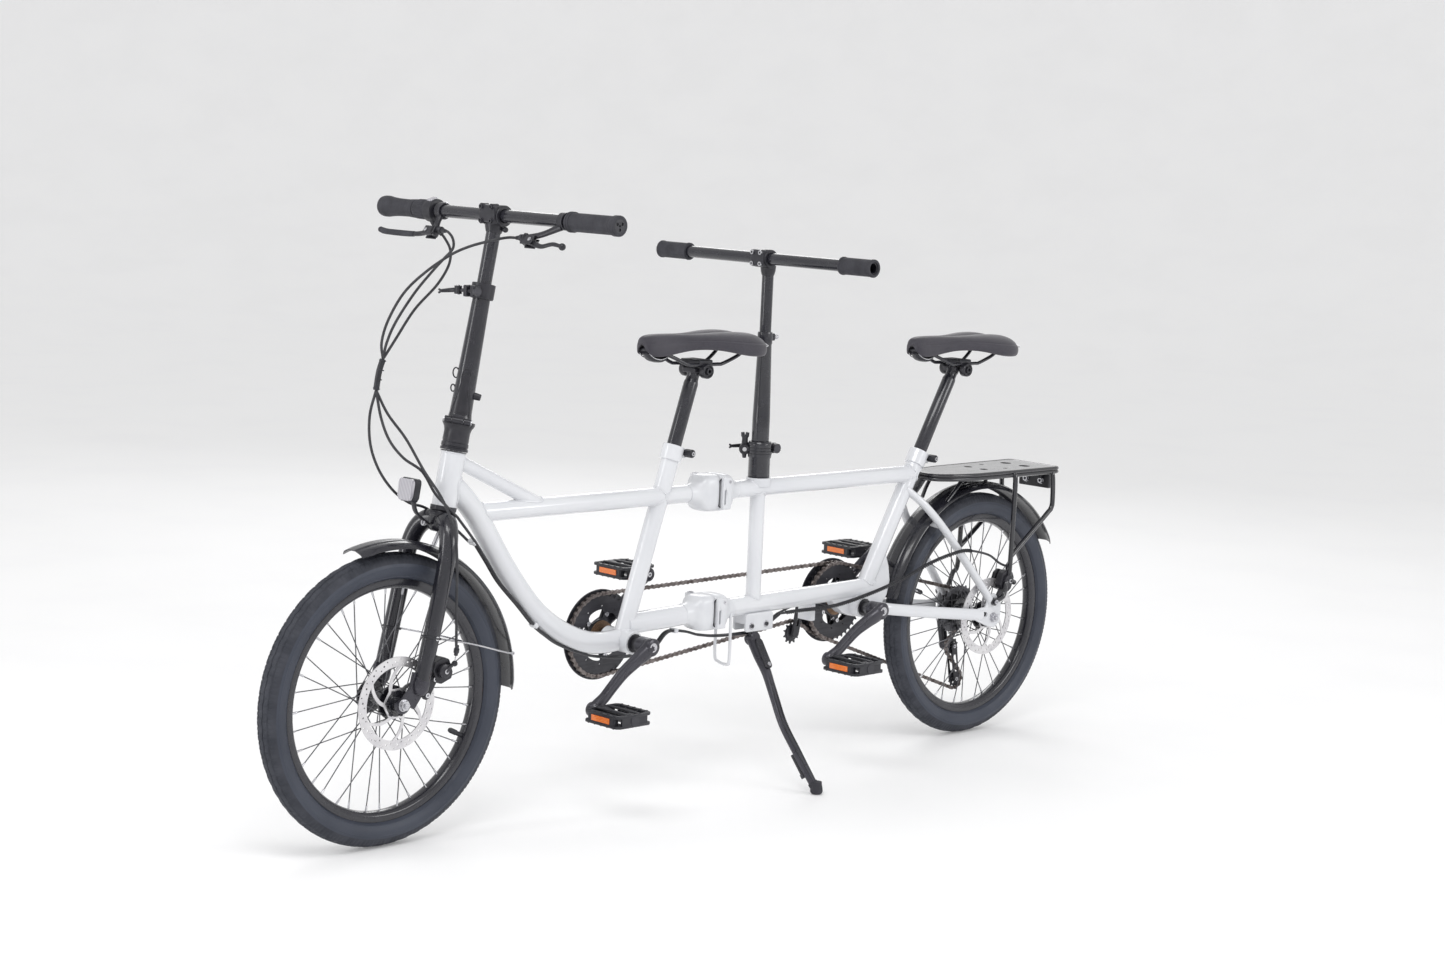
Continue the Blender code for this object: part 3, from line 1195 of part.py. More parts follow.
def control_cables():
    """Two brake cables and the gear cable: apart at the bar, together in a wrap, apart again below it."""
    wrap = [(0.741, -0.058, 0.822), (0.747, -0.060, 0.800), (0.752, -0.060, 0.770)]
    top, bottom = wrap[0], wrap[-1]
    right_brake = [(0.552, -0.127, 1.012), (0.565, -0.125, 0.989), (0.594, -0.115, 0.965),
                   (0.645, -0.100, 0.928), (0.695, -0.085, 0.881), (0.723, -0.072, 0.848), top]
    shifter = [(0.524, -0.148, 1.010), (0.531, -0.140, 0.990), (0.548, -0.133, 0.966), (0.580, -0.122, 0.938),
               (0.640, -0.105, 0.899), (0.701, -0.078, 0.851), top]
    left_brake = [(0.590, 0.088, 1.034), (0.613, 0.070, 1.030), (0.637, 0.035, 1.017),
                  (0.660, 0.010, 1.000), (0.688, -0.020, 0.969), (0.715, -0.040, 0.934),
                  (0.738, -0.050, 0.889), (0.747, -0.055, 0.851), top]
    lower = [
        [bottom, (0.764, -0.060, 0.727), (0.765, -0.055, 0.680), (0.752, -0.048, 0.638),
         (0.733, -0.034, 0.604), (0.700, -0.031, 0.580), (0.668, -0.030, 0.570), (0.640, -0.029, 0.556)],
        [bottom, (0.751, -0.046, 0.725), (0.745, -0.029, 0.688), (0.732, -0.006, 0.660),
         (0.706, 0.012, 0.638), (0.688, 0.025, 0.602), (0.662, 0.029, 0.576), (0.640, 0.028, 0.558),
         (0.615, 0.025, 0.533), (0.593, 0.022, 0.512)],
        [bottom, (0.738, -0.045, 0.731), (0.717, -0.020, 0.690), (0.705, 0.015, 0.640), (0.694, 0.048, 0.600),
         (0.688, 0.068, 0.566), (0.682, 0.075, 0.537), (0.678, 0.077, 0.494), (0.676, 0.077, 0.426),
         (0.670, 0.070, 0.345)],
    ]
    joins = [tube(route, CABLE_RADIUS, 6) for route in (right_brake, shifter, left_brake, *lower)]
    part("control_cables", tube(wrap, 0.0060, 8), RUBBER, joins=joins)


def rear_brake_cable():
    route = [(-0.168, 0.026, 0.312), (-0.219, 0.029, 0.313), (-0.314, 0.036, 0.315), (-0.410, 0.044, 0.332),
             (-0.490, 0.051, 0.353), (-0.569, 0.058, 0.381), (-0.631, 0.067, 0.397), (-0.670, 0.0715, 0.400),
             (-0.735, 0.070, 0.386), (-0.782, 0.058, 0.364)]
    part("rear_brake_cable", tube(smooth(route, 2), CABLE_RADIUS, 6), RUBBER)


def build():
    clear_scene()
    wheels()
    front_frame()
    rear_frame()
    latches()
    fork()
    front_mudguard()
    rear_mudguard()
    calipers()
    front_lamp()
    stem_base()
    stem_post()
    stem_lever()
    stem_riser()
    handlebar()
    bar_sleeves()
    brake_levers()
    drive()
    seats()
    stoker_socket()
    stoker_lever()
    stoker_bars()
    rear_rack()
    kickstand()
    control_cables()
    rear_brake_cable()
    bpy.context.view_layer.update()


build()
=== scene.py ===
"""Looks of a folding tandem bicycle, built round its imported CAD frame.

Metres, +X forwards, +Y to the riders' left, +Z up. Each piece is made in place, in world coordinates.
"""

import json
import math

import bmesh
import bpy
from mathutils import Matrix, Vector
from mathutils.geometry import tessellate_polygon


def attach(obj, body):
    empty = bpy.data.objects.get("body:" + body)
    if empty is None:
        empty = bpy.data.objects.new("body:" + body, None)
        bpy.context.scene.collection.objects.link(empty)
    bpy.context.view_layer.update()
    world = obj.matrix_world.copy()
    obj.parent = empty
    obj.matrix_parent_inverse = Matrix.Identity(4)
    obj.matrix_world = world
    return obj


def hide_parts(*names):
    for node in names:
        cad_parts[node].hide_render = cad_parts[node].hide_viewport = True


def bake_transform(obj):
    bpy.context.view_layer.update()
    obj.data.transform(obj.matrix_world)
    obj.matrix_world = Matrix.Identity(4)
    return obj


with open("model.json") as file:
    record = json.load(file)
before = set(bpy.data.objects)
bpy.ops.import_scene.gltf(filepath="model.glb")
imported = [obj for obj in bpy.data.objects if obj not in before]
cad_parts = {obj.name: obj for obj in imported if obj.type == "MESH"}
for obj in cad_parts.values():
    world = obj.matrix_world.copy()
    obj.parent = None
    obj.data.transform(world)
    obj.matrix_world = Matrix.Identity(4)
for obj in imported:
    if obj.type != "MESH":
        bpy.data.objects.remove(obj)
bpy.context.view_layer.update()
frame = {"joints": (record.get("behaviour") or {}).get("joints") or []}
JOINTS = {joint["name"]: joint for joint in frame["joints"]}


def joint_place(name):
    return Vector(JOINTS[name]["pos_m"])


def joint_axis(name):
    return Vector(JOINTS[name]["axis"]).normalized()


# Places that the joints give
FRONT_AXLE = joint_place("front_wheel_spin")
REAR_AXLE = joint_place("rear_wheel_spin")
FRONT_BB = joint_place("front_crank_spin")
REAR_BB = joint_place("rear_crank_spin")
STEER_FOOT = joint_place("steering")
STEER_UP = joint_axis("steering")
BAR_CENTRE = joint_place("twist_shift")
LEFT_LEVER_PIVOT = joint_place("left_brake_pull")
RIGHT_LEVER_PIVOT = joint_place("right_brake_pull")
STEM_HINGE = joint_place("stem_fold")
STEM_HINGE_AXIS = joint_axis("stem_fold")
STEM_LEVER_PIVOT = joint_place("stem_lever_swing")
STOKER_LEVER_PIVOT = joint_place("stoker_lever_swing")
KICKSTAND_PIVOT = joint_place("kickstand_swing")
KICKSTAND_AXIS = joint_axis("kickstand_swing")
GUIDE_PULLEY = joint_place("derailleur_cage_swing")
FRONT_SEAT_UP = joint_axis("front_saddle_height")
REAR_SEAT_UP = joint_axis("rear_saddle_height")

# Sizes shared with the CAD
TYRE_RADIUS = FRONT_AXLE.z
TOP_TUBE_HEIGHT = 0.557
BOTTOM_TUBE_HEIGHT = 0.330
HEAD_BOTTOM = STEER_FOOT.z
HEAD_TOP = 0.667
STEM_BASE_TOP = 0.718
STEM_COLLAR = STEM_LEVER_PIVOT.z
FOLD_PLANE = joint_place("frame_fold").x
FOLD_PIN_Y = joint_place("frame_fold").y
STOKER_X = -0.119
FORK_SPREAD = 0.052
STAY_SPREAD = 0.066
TIMING_Y = -0.0560
DRIVE_Y = GUIDE_PULLEY.y
CRANK_LENGTH = 0.168
RING_RADIUS = 0.0725
CHAIN_HALF = 0.0042
PITCH_RADIUS = RING_RADIUS + 0.0003 + CHAIN_HALF

LEFT, UP = Vector((0, 1, 0)), Vector((0, 0, 1))
FORWARDS = Vector((1, 0, 0))


# Shapes: points and faces that can be joined, moved and mirrored before they become a mesh


class Shape:
    def __init__(self, points=(), faces=()):
        self.points = [Vector(point) for point in points]
        self.faces = [tuple(face) for face in faces]

    def moved(self, matrix):
        return Shape([matrix @ point for point in self.points], self.faces)

    def mirrored(self):
        flipped = [Vector((p.x, -p.y, p.z)) for p in self.points]
        return Shape(flipped, [face[::-1] for face in self.faces])


def joined(*shapes):
    """One shape from several, or from lists of them."""
    whole = Shape()
    for shape in shapes:
        if not isinstance(shape, Shape):
            shape = joined(*shape)
        base = len(whole.points)
        whole.points += shape.points
        whole.faces += [tuple(index + base for index in face) for face in shape.faces]
    return whole


def facing(axis, towards=FORWARDS, place=(0, 0, 0)):
    """Matrix whose Z lies along axis, whose X is as near as can be to towards, and whose origin is at place."""
    z = Vector(axis).normalized()
    x = Vector(towards) - z * z.dot(Vector(towards))
    if x.length < 1e-6:
        x = z.orthogonal()
    x.normalize()
    turn = Matrix((x, z.cross(x), z)).transposed().to_4x4()
    return Matrix.Translation(Vector(place)) @ turn


def smooth(points, steps):
    """Points along a Catmull-Rom curve through the given ones."""
    known = [Vector(p) for p in points]
    known = [2 * known[0] - known[1]] + known + [2 * known[-1] - known[-2]]
    path = []
    for a, b, c, d in zip(known, known[1:], known[2:], known[3:]):
        for step in range(steps):
            t = step / steps
            bend = (2 * a - 5 * b + 4 * c - d) * t**2 + (3 * b - a - 3 * c + d) * t**3
            path.append(0.5 * (2 * b + (c - a) * t + bend))
    return path + [known[-2]]


def spread(values, count):
    """A list of numbers, stretched evenly to another length."""
    if len(values) == 1:
        return list(values) * count
    found = []
    for k in range(count):
        place = k * (len(values) - 1) / max(1, count - 1)
        low = min(int(place), len(values) - 2)
        found.append(values[low] + (values[low + 1] - values[low]) * (place - low))
    return found


def sweep(path, radii, sides=20, flat=1.0, up=None, closed=False, twist=0.0):
    """A tube along a path. Radii are one number or several, flat narrows it across up, and twist turns it."""
    path = [Vector(p) for p in path]
    radii = spread([radii] if isinstance(radii, (int, float)) else radii, len(path))
    count = len(path)
    points, faces = [], []
    side = None
    for k, here in enumerate(path):
        before = path[k - 1] if k or closed else here
        after = path[(k + 1) % count] if k < count - 1 or closed else here
        heading = (after - before).normalized()
        if up is not None:
            side = Vector(up) - heading * heading.dot(Vector(up))
        elif side is None:
            side = heading.orthogonal()
        side = (side - heading * heading.dot(side)).normalized()
        other = heading.cross(side)
        for s in range(sides):
            a = math.tau * s / sides + twist
            points.append(here + radii[k] * (side * math.cos(a) + other * math.sin(a) * flat))
    rows = count if closed else count - 1
    for k in range(rows):
        low, high = k * sides, ((k + 1) % count) * sides
        for s in range(sides):
            t = (s + 1) % sides
            faces.append((low + s, low + t, high + t, high + s))
    if not closed:
        faces += [tuple(range(sides))[::-1], tuple(range((count - 1) * sides, count * sides))]
    return Shape(points, faces)


def rod(start, end, radius, end_radius=None, sides=24):
    return sweep([start, end], [radius, radius if end_radius is None else end_radius], sides)


def turn(profile, place, axis, steps=48, closed=False, towards=FORWARDS):
    """A (radius, height) profile turned about an axis. An open profile starts and ends on the axis."""
    points, faces, rows = [], [], []
    for radius, height in profile:
        if radius < 1e-7:
            rows.append([len(points)] * steps)
            points.append(Vector((0, 0, height)))
            continue
        rows.append(list(range(len(points), len(points) + steps)))
        for s in range(steps):
            a = math.tau * s / steps
            points.append(Vector((radius * math.cos(a), radius * math.sin(a), height)))
    pairs = list(zip(rows, rows[1:])) + ([(rows[-1], rows[0])] if closed else [])
    for low, high in pairs:
        for s in range(steps):
            t = (s + 1) % steps
            face = []
            for index in (low[s], low[t], high[t], high[s]):
                if index not in face:
                    face.append(index)
            if len(face) > 2:
                faces.append(tuple(face))
    return Shape(points, faces).moved(facing(axis, towards, place))


def hoop(place, axis, radius, thickness, steps=48, sides=10):
    section = [math.tau * k / sides for k in range(sides)]
    profile = [(radius + thickness * math.cos(a), thickness * math.sin(a)) for a in section]
    return turn(profile, place, axis, steps, closed=True)


def slab(outline, thickness, matrix, holes=()):
    """A flat outline with holes, as thick as given about the plane of the matrix."""
    loops = [[Vector((x, y, 0)) for x, y in loop] for loop in (outline, *holes)]
    flat = [point for loop in loops for point in loop]
    half = Vector((0, 0, thickness / 2))
    points = [p + half for p in flat] + [p - half for p in flat]
    count = len(flat)
    faces = []
    for a, b, c in tessellate_polygon(loops):
        upwards = (flat[b] - flat[a]).cross(flat[c] - flat[a]).z > 0
        face = (a, b, c) if upwards else (c, b, a)
        faces.append(face)
        faces.append(tuple(i + count for i in reversed(face)))
    first = 0
    for loop in loops:
        for k in range(len(loop)):
            a, b = first + k, first + (k + 1) % len(loop)
            faces.append((a, b, b + count, a + count))
        first += len(loop)
    return Shape(points, faces).moved(matrix)


def circle(radius, sides=32, centre=(0, 0), phase=0.0):
    turns = [phase + math.tau * k / sides for k in range(sides)]
    return [(centre[0] + radius * math.cos(a), centre[1] + radius * math.sin(a)) for a in turns]


def stadium(start, end, start_radius, end_radius, sides=14):
    """Outline of a flat arm with a round end about each point."""
    along = math.atan2(end[1] - start[1], end[0] - start[0])
    points = []
    for centre, radius, first in ((end, end_radius, -0.5), (start, start_radius, 0.5)):
        for k in range(sides + 1):
            a = along + math.pi * (first + k / sides)
            points.append((centre[0] + radius * math.cos(a), centre[1] + radius * math.sin(a)))
    return points


def upright(place):
    """Matrix of a plane that faces the riders' left: its X is forwards and its Y is up."""
    turn_up = Matrix(((1, 0, 0), (0, 0, -1), (0, 1, 0))).to_4x4()
    return Matrix.Translation(Vector(place)) @ turn_up


def block(size, centre, turn_by=None):
    half = Vector(size) / 2
    corners = [(x, y, z) for x in (-1, 1) for y in (-1, 1) for z in (-1, 1)]
    points = [Vector((x * half.x, y * half.y, z * half.z)) for x, y, z in corners]
    faces = [(0, 1, 3, 2), (4, 6, 7, 5), (0, 4, 5, 1), (2, 3, 7, 6), (0, 2, 6, 4), (1, 5, 7, 3)]
    matrix = Matrix.Translation(Vector(centre)) @ (Matrix() if turn_by is None else turn_by.to_4x4())
    return Shape(points, faces).moved(matrix)


def loft(rings):
    """A closed solid through rings that have the same number of points."""
    size = len(rings[0])
    points = [point for ring in rings for point in ring]
    faces = [tuple(range(size)), tuple(range(len(points) - size, len(points)))]
    for k in range(len(rings) - 1):
        for s in range(size):
            t = (s + 1) % size
            faces.append((k * size + s, k * size + t, (k + 1) * size + t, (k + 1) * size + s))
    return Shape(points, faces)


def ball(place, radius, steps=20):
    half = steps // 2
    profile = [(radius * math.sin(math.pi * k / half), -radius * math.cos(math.pi * k / half))
               for k in range(half + 1)]
    return turn(profile, place, UP, steps)


def bolt(place, axis, radius, height, sides=24):
    """A cap screw that stands on a point, with a hexagonal socket."""
    axis = Vector(axis).normalized()
    rim = height * 0.6
    top = slab(circle(radius, sides), rim, facing(axis, place=Vector(place) + axis * (height - rim / 2)),
               [circle(radius * 0.52, 6)])
    return joined(top, rod(place, Vector(place) + axis * (height - rim), radius, sides=sides))


def hex_nut(place, axis, radius, height, bore):
    axis = Vector(axis).normalized()
    body = slab(circle(radius, 6), height, facing(axis, place=Vector(place) + axis * height / 2),
                [circle(bore, 18)])
    washer = turn([(bore, 0), (radius * 1.15, 0), (radius * 1.15, height * 0.14), (bore, height * 0.14)],
                  place, axis, 32, closed=True)
    return joined(body, washer)


def weld(start, end, radius, other_start, other_end, other_radius, thickness=0.0022):
    """The bead where one tube's end runs into the side of another."""
    start, end = Vector(start), Vector(end)
    other = Vector(other_start)
    axis = (Vector(other_end) - other).normalized()
    heading = (end - start).normalized()
    side = heading.orthogonal().normalized()
    across = heading.cross(side)
    flat_heading = heading - axis * heading.dot(axis)
    path = []
    steps = 48
    for k in range(steps):
        a = math.tau * k / steps
        foot = start + radius * (side * math.cos(a) + across * math.sin(a))
        offset = foot - other
        offset -= axis * offset.dot(axis)
        b = 2 * offset.dot(flat_heading)
        c = offset.length_squared - other_radius**2
        inside = b * b - 4 * flat_heading.length_squared * c
        if inside < 0:
            continue
        reach = (-b - math.sqrt(inside)) / (2 * flat_heading.length_squared)
        path.append(foot + heading * reach)
    return sweep(path, thickness, 8, closed=True)


# Pieces


def piece(name, shape, body, look, replaces=(), bevel=0.0, crease=38, levels=0):
    """Makes a shape a mesh object that rides on a body, and that stands for the CAD nodes it replaces."""
    mesh = bpy.data.meshes.new(name)
    mesh.from_pydata(shape.points, [], shape.faces)
    mesh.materials.append(look)
    tidy = bmesh.new()
    tidy.from_mesh(mesh)
    bmesh.ops.recalc_face_normals(tidy, faces=tidy.faces)
    tidy.to_mesh(mesh)
    tidy.free()
    obj = bpy.data.objects.new(name, mesh)
    bpy.context.scene.collection.objects.link(obj)
    mesh.polygons.foreach_set("use_smooth", [True] * len(mesh.polygons))
    if bevel:
        edge = obj.modifiers.new("edge", "BEVEL")
        edge.width = bevel
        edge.segments = 2
        edge.limit_method = "ANGLE"
        edge.angle_limit = math.radians(crease)
        edge.harden_normals = True
    elif not levels:
        mesh.set_sharp_from_angle(angle=math.radians(crease))
    if levels:
        fine = obj.modifiers.new("fine", "SUBSURF")
        fine.levels = levels
        fine.render_levels = levels
    if body:
        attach(obj, body)
    if replaces:
        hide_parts(*([replaces] if isinstance(replaces, str) else replaces))
    return obj


# Materials


def nodes_of(name):
    made = bpy.data.materials.new(name)
    made.use_nodes = True
    tree = made.node_tree
    surface = tree.nodes["Principled BSDF"]
    place = tree.nodes.new("ShaderNodeTexCoord")
    return made, tree, surface, place.outputs["Object"]


def noise(tree, place, scale, detail=3.0):
    made = tree.nodes.new("ShaderNodeTexNoise")
    made.inputs["Scale"].default_value = scale
    made.inputs["Detail"].default_value = detail
    tree.links.new(place, made.inputs["Vector"])
    return made.outputs["Fac"]


def cells(tree, place, scale):
    made = tree.nodes.new("ShaderNodeTexVoronoi")
    made.inputs["Scale"].default_value = scale
    tree.links.new(place, made.inputs["Vector"])
    return made.outputs["Distance"]


def bands(tree, place, scale, direction):
    made = tree.nodes.new("ShaderNodeTexWave")
    made.bands_direction = direction
    made.inputs["Scale"].default_value = scale
    tree.links.new(place, made.inputs["Vector"])
    return made.outputs["Fac"]


def remapped(tree, value, low, high, to_low, to_high):
    made = tree.nodes.new("ShaderNodeMapRange")
    for socket, number in zip(("From Min", "From Max", "To Min", "To Max"), (low, high, to_low, to_high)):
        made.inputs[socket].default_value = number
    tree.links.new(value, made.inputs["Value"])
    return made.outputs["Result"]


def mixed(tree, factor, first, second):
    """Two colours, or a colour over a socket, by a factor."""
    made = tree.nodes.new("ShaderNodeMix")
    made.data_type = "RGBA"
    tree.links.new(factor, made.inputs["Factor"])
    for socket, value in ((made.inputs["A"], first), (made.inputs["B"], second)):
        if isinstance(value, tuple):
            socket.default_value = (*value, 1)
        else:
            tree.links.new(value, socket)
    return made.outputs["Result"]


def relief(tree, surface, height, strength, depth):
    made = tree.nodes.new("ShaderNodeBump")
    made.inputs["Strength"].default_value = strength
    made.inputs["Distance"].default_value = depth
    tree.links.new(height, made.inputs["Height"])
    tree.links.new(made.outputs["Normal"], surface.inputs["Normal"])


def look(name, colour, other, rough, grain=25.0, spread_of_gloss=0.06, metallic=0.0, fine=900.0,
         strength=0.15, coat=0.0, worn=None, texture=noise):
    """Mottled colour, uneven gloss and fine relief, with paler edges where a worn colour is given."""
    made, tree, surface, place = nodes_of(name)
    mottle = remapped(tree, noise(tree, place, grain), 0.35, 0.65, 0, 1)
    shade = mixed(tree, mottle, colour, other)
    if worn is not None:
        edge = tree.nodes.new("ShaderNodeNewGeometry").outputs["Pointiness"]
        shade = mixed(tree, remapped(tree, edge, 0.56, 0.68, 0, 0.7), shade, worn)
    tree.links.new(shade, surface.inputs["Base Color"])
    gloss = remapped(tree, noise(tree, place, grain * 4), 0.3, 0.7, rough - spread_of_gloss,
                     rough + spread_of_gloss)
    tree.links.new(gloss, surface.inputs["Roughness"])
    surface.inputs["Metallic"].default_value = metallic
    surface.inputs["Coat Weight"].default_value = coat
    surface.inputs["Coat Roughness"].default_value = 0.06
    relief(tree, surface, texture(tree, place, fine), strength, 0.0003)
    return made


WHITE = look("white_enamel", (0.73, 0.74, 0.765), (0.69, 0.70, 0.73), 0.22, 8, 0.04, 0, 240, 0.03, 0.8)
WHITE_CAST = look("white_cast", (0.71, 0.72, 0.745), (0.66, 0.67, 0.70), 0.36, 30, 0.06, 0, 700, 0.16, 0.3)
BLACK_TUBE = look("black_anodised", (0.014, 0.014, 0.020), (0.020, 0.020, 0.027), 0.25, 20, 0.04, 0.10, 900,
                  0.05, 0.45, (0.035, 0.035, 0.043))
BLACK_GLOSS = look("black_gloss", (0.011, 0.011, 0.015), (0.017, 0.017, 0.022), 0.18, 14, 0.04, 0, 260, 0.04,
                   0.7)
BLACK_CAST = look("black_cast", (0.016, 0.016, 0.021), (0.027, 0.026, 0.033), 0.36, 45, 0.08, 0.20, 1100, 0.22,
                  0.1, (0.075, 0.075, 0.088))
CRANK_GREY = look("crank_grey", (0.036, 0.035, 0.045), (0.052, 0.050, 0.063), 0.30, 18, 0.05, 0.40, 1300, 0.08,
                  0.2, (0.11, 0.11, 0.13))
BLACK_PLASTIC = look("black_plastic", (0.013, 0.013, 0.018), (0.021, 0.021, 0.027), 0.40, 30, 0.08, 0, 1600,
                     0.25, 0, (0.050, 0.050, 0.060))
GUARD_PLASTIC = look("mudguard_plastic", (0.012, 0.012, 0.017), (0.019, 0.019, 0.026), 0.24, 10, 0.05, 0, 320,
                     0.05, 0.35)
GRIP_RUBBER = look("grip_rubber", (0.026, 0.026, 0.033), (0.038, 0.038, 0.047), 0.72, 60, 0.08, 0, 1500, 0.55,
                   0, None, cells)
CABLE_BLACK = look("cable_housing", (0.020, 0.020, 0.025), (0.036, 0.036, 0.041), 0.46, 70, 0.08, 0, 900, 0.2)
TREAD_RUBBER = look("tread_rubber", (0.020, 0.023, 0.033), (0.040, 0.043, 0.056), 0.70, 40, 0.08, 0, 1200, 0.35)
WALL_RUBBER = look("sidewall_rubber", (0.028, 0.034, 0.052), (0.042, 0.049, 0.070), 0.50, 12, 0.06, 0, 700,
                   0.15)
STEEL = look("bright_steel", (0.62, 0.62, 0.64), (0.52, 0.52, 0.55), 0.26, 40, 0.08, 1.0, 900, 0.10)
ROTOR_STEEL = look("rotor_steel", (0.74, 0.73, 0.74), (0.62, 0.61, 0.63), 0.36, 30, 0.08, 0.85, 1400, 0.25)
DARK_STEEL = look("dark_steel", (0.10, 0.10, 0.11), (0.16, 0.16, 0.17), 0.38, 60, 0.08, 0.9, 900, 0.15)
CHAIN_STEEL = look("chain_steel", (0.115, 0.095, 0.090), (0.27, 0.24, 0.23), 0.42, 160, 0.12, 0.85, 900, 0.3)
BRONZE = look("bronzed_steel", (0.16, 0.10, 0.065), (0.27, 0.18, 0.12), 0.38, 50, 0.08, 0.85, 900, 0.2)


def leather():
    """Grained vinyl: pebbles, fine creases and a slight nap."""
    made, tree, surface, place = nodes_of("saddle_vinyl")
    pebble = cells(tree, place, 620)
    shade = mixed(tree, remapped(tree, noise(tree, place, 18), 0.35, 0.65, 0, 1), (0.032, 0.029, 0.041),
                  (0.047, 0.043, 0.057))
    shade = mixed(tree, remapped(tree, pebble, 0.2, 0.6, 0, 0.5), shade, (0.018, 0.016, 0.024))
    tree.links.new(shade, surface.inputs["Base Color"])
    tree.links.new(remapped(tree, pebble, 0.0, 0.7, 0.48, 0.68), surface.inputs["Roughness"])
    surface.inputs["Sheen Weight"].default_value = 0.25
    surface.inputs["Sheen Roughness"].default_value = 0.5
    relief(tree, surface, pebble, 0.35, 0.0003)
    return made


def prismatic(name, colour, other, pitch, direction):
    """A reflector or a lens, moulded in fine prisms."""
    made, tree, surface, place = nodes_of(name)
    rows = bands(tree, place, pitch, direction)
    tree.links.new(mixed(tree, rows, colour, other), surface.inputs["Base Color"])
    tree.links.new(remapped(tree, noise(tree, place, 60), 0.3, 0.7, 0.10, 0.22), surface.inputs["Roughness"])
    surface.inputs["Coat Weight"].default_value = 0.8
    relief(tree, surface, rows, 0.5, 0.0006)
    return made


VINYL = leather()
AMBER = prismatic("amber_reflector", (0.90, 0.24, 0.03), (0.72, 0.13, 0.01), 130, "Z")
RED = prismatic("red_reflector", (0.34, 0.02, 0.02), (0.20, 0.01, 0.01), 130, "Z")
LENS = prismatic("clear_lens", (0.52, 0.51, 0.54), (0.30, 0.29, 0.33), 80, "Y")


# Stage


def area_light(name, place, aim, size, power):
    data = bpy.data.lights.new(name, "AREA")
    data.shape = "RECTANGLE"
    data.size, data.size_y = size
    data.energy = power
    lamp = bpy.data.objects.new(name, data)
    lamp.location = place
    lamp.rotation_mode = "QUATERNION"
    lamp.rotation_quaternion = (Vector(aim) - Vector(place)).to_track_quat("-Z", "Y")
    bpy.context.scene.collection.objects.link(lamp)


def camera():
    data = bpy.data.cameras.new("camera")
    data.lens = 67.17
    data.clip_end = 60
    obj = bpy.data.objects.new("camera", data)
    place = Vector((3.53586, 3.53085, 1.24387))
    heading = Vector((-0.70359, -0.69815, -0.13250)).to_track_quat("-Z", "Y").to_matrix().to_4x4()
    roll = Matrix.Rotation(0.0449, 4, "Z")
    obj.matrix_world = Matrix.Translation(place) @ heading @ roll
    bpy.context.scene.collection.objects.link(obj)
    bpy.context.scene.camera = obj


def studio():
    flat, bend = 9.0, 5.0
    curve = [(flat + bend * math.sin(math.pi / 2 * k / 12), bend - bend * math.cos(math.pi / 2 * k / 12))
             for k in range(13)]
    bowl = turn([(0, 0), (1, 0), (4, 0)] + curve, (0, 0, -0.0005), UP, 96)
    floor_mesh = bpy.data.meshes.new("floor")
    floor_mesh.from_pydata(bowl.points, [], bowl.faces)
    floor_mesh.polygons.foreach_set("use_smooth", [True] * len(floor_mesh.polygons))
    paper = look("pale_floor", (0.90, 0.90, 0.905), (0.88, 0.88, 0.885), 0.7, 3, 0.05, 0, 300, 0.02)
    glow = next(node for node in paper.node_tree.nodes if node.type == "BSDF_PRINCIPLED").inputs
    glow["Emission Color"].default_value = (1.0, 1.0, 1.0, 1)
    glow["Emission Strength"].default_value = 0.10
    floor_mesh.materials.append(paper)
    floor = bpy.data.objects.new("floor", floor_mesh)
    bpy.context.scene.collection.objects.link(floor)
    world = bpy.data.worlds.new("studio")
    world.use_nodes = True
    background = world.node_tree.nodes["Background"]
    background.inputs["Color"].default_value = (1.0, 1.0, 1.0, 1)
    background.inputs["Strength"].default_value = 0.72
    bpy.context.scene.world = world
    bpy.context.scene.view_settings.view_transform = "Standard"
    area_light("key", (2.2, 1.2, 3.6), (0, 0, 0.5), (2.6, 1.0), 48)
    area_light("side", (-1.6, 3.4, 1.9), (-0.2, 0, 0.5), (1.8, 1.0), 30)
    area_light("front", (3.6, -1.0, 1.2), (0.4, 0, 0.5), (0.6, 2.2), 22)
    area_light("rim", (-2.6, -2.6, 2.4), (0, 0, 0.6), (2.0, 1.0), 24)


# Wheels

TYRE_STEPS = 720
TREAD_DEPTH = 0.0016
SPOKES = 36
WHEELS = {
    "front": (FRONT_AXLE, (0.0220, -0.0360), 0.0359, 0.0470, FORK_SPREAD, 206),
    "rear": (REAR_AXLE, (0.0360, -0.0190), 0.0500, 0.0620, STAY_SPREAD, 20),
}


def tyre_section():
    """(radius, across, kind) from one bead over the crown to the other."""
    wall = [(0.2078, 0.0118), (0.2090, 0.0142), (0.2112, 0.0170), (0.2122, 0.0184), (0.2130, 0.0182),
            (0.2180, 0.0212), (0.2235, 0.0229), (0.2290, 0.0232), (0.2296, 0.0236), (0.2304, 0.0232),
            (0.2350, 0.0222)]
    shoulder = [(0.2378, 0.0212), (0.2400, 0.0202), (0.2436, 0.0178), (0.2462, 0.0154)]
    half = [(r, y, "wall") for r, y in wall] + [(r, y, "shoulder") for r, y in shoulder]
    for y, kind in ((0.0146, "groove"), (0.0136, "groove"), (0.0126, "rib"), (0.0098, "rib"), (0.0068, "rib"),
                    (0.0060, "groove"), (0.0050, "groove"), (0.0042, "rib"), (0.0014, "rib")):
        half.append((TYRE_RADIUS - 26 * y * y, y, kind))
    return half + [(r, -y, kind) for r, y, kind in reversed(half)]


def tread_cut(kind, step, across):
    """How deep the tread is cut at this step round the tyre."""
    if kind == "groove":
        return TREAD_DEPTH
    if kind == "shoulder":
        return TREAD_DEPTH * 0.8 if step % 4 == 0 else 0.0
    if kind == "rib":
        stagger = 3 if abs(across) > 0.0065 else 0
        return TREAD_DEPTH * 0.7 if (step + stagger) % 6 == 0 else 0.0
    return 0.0


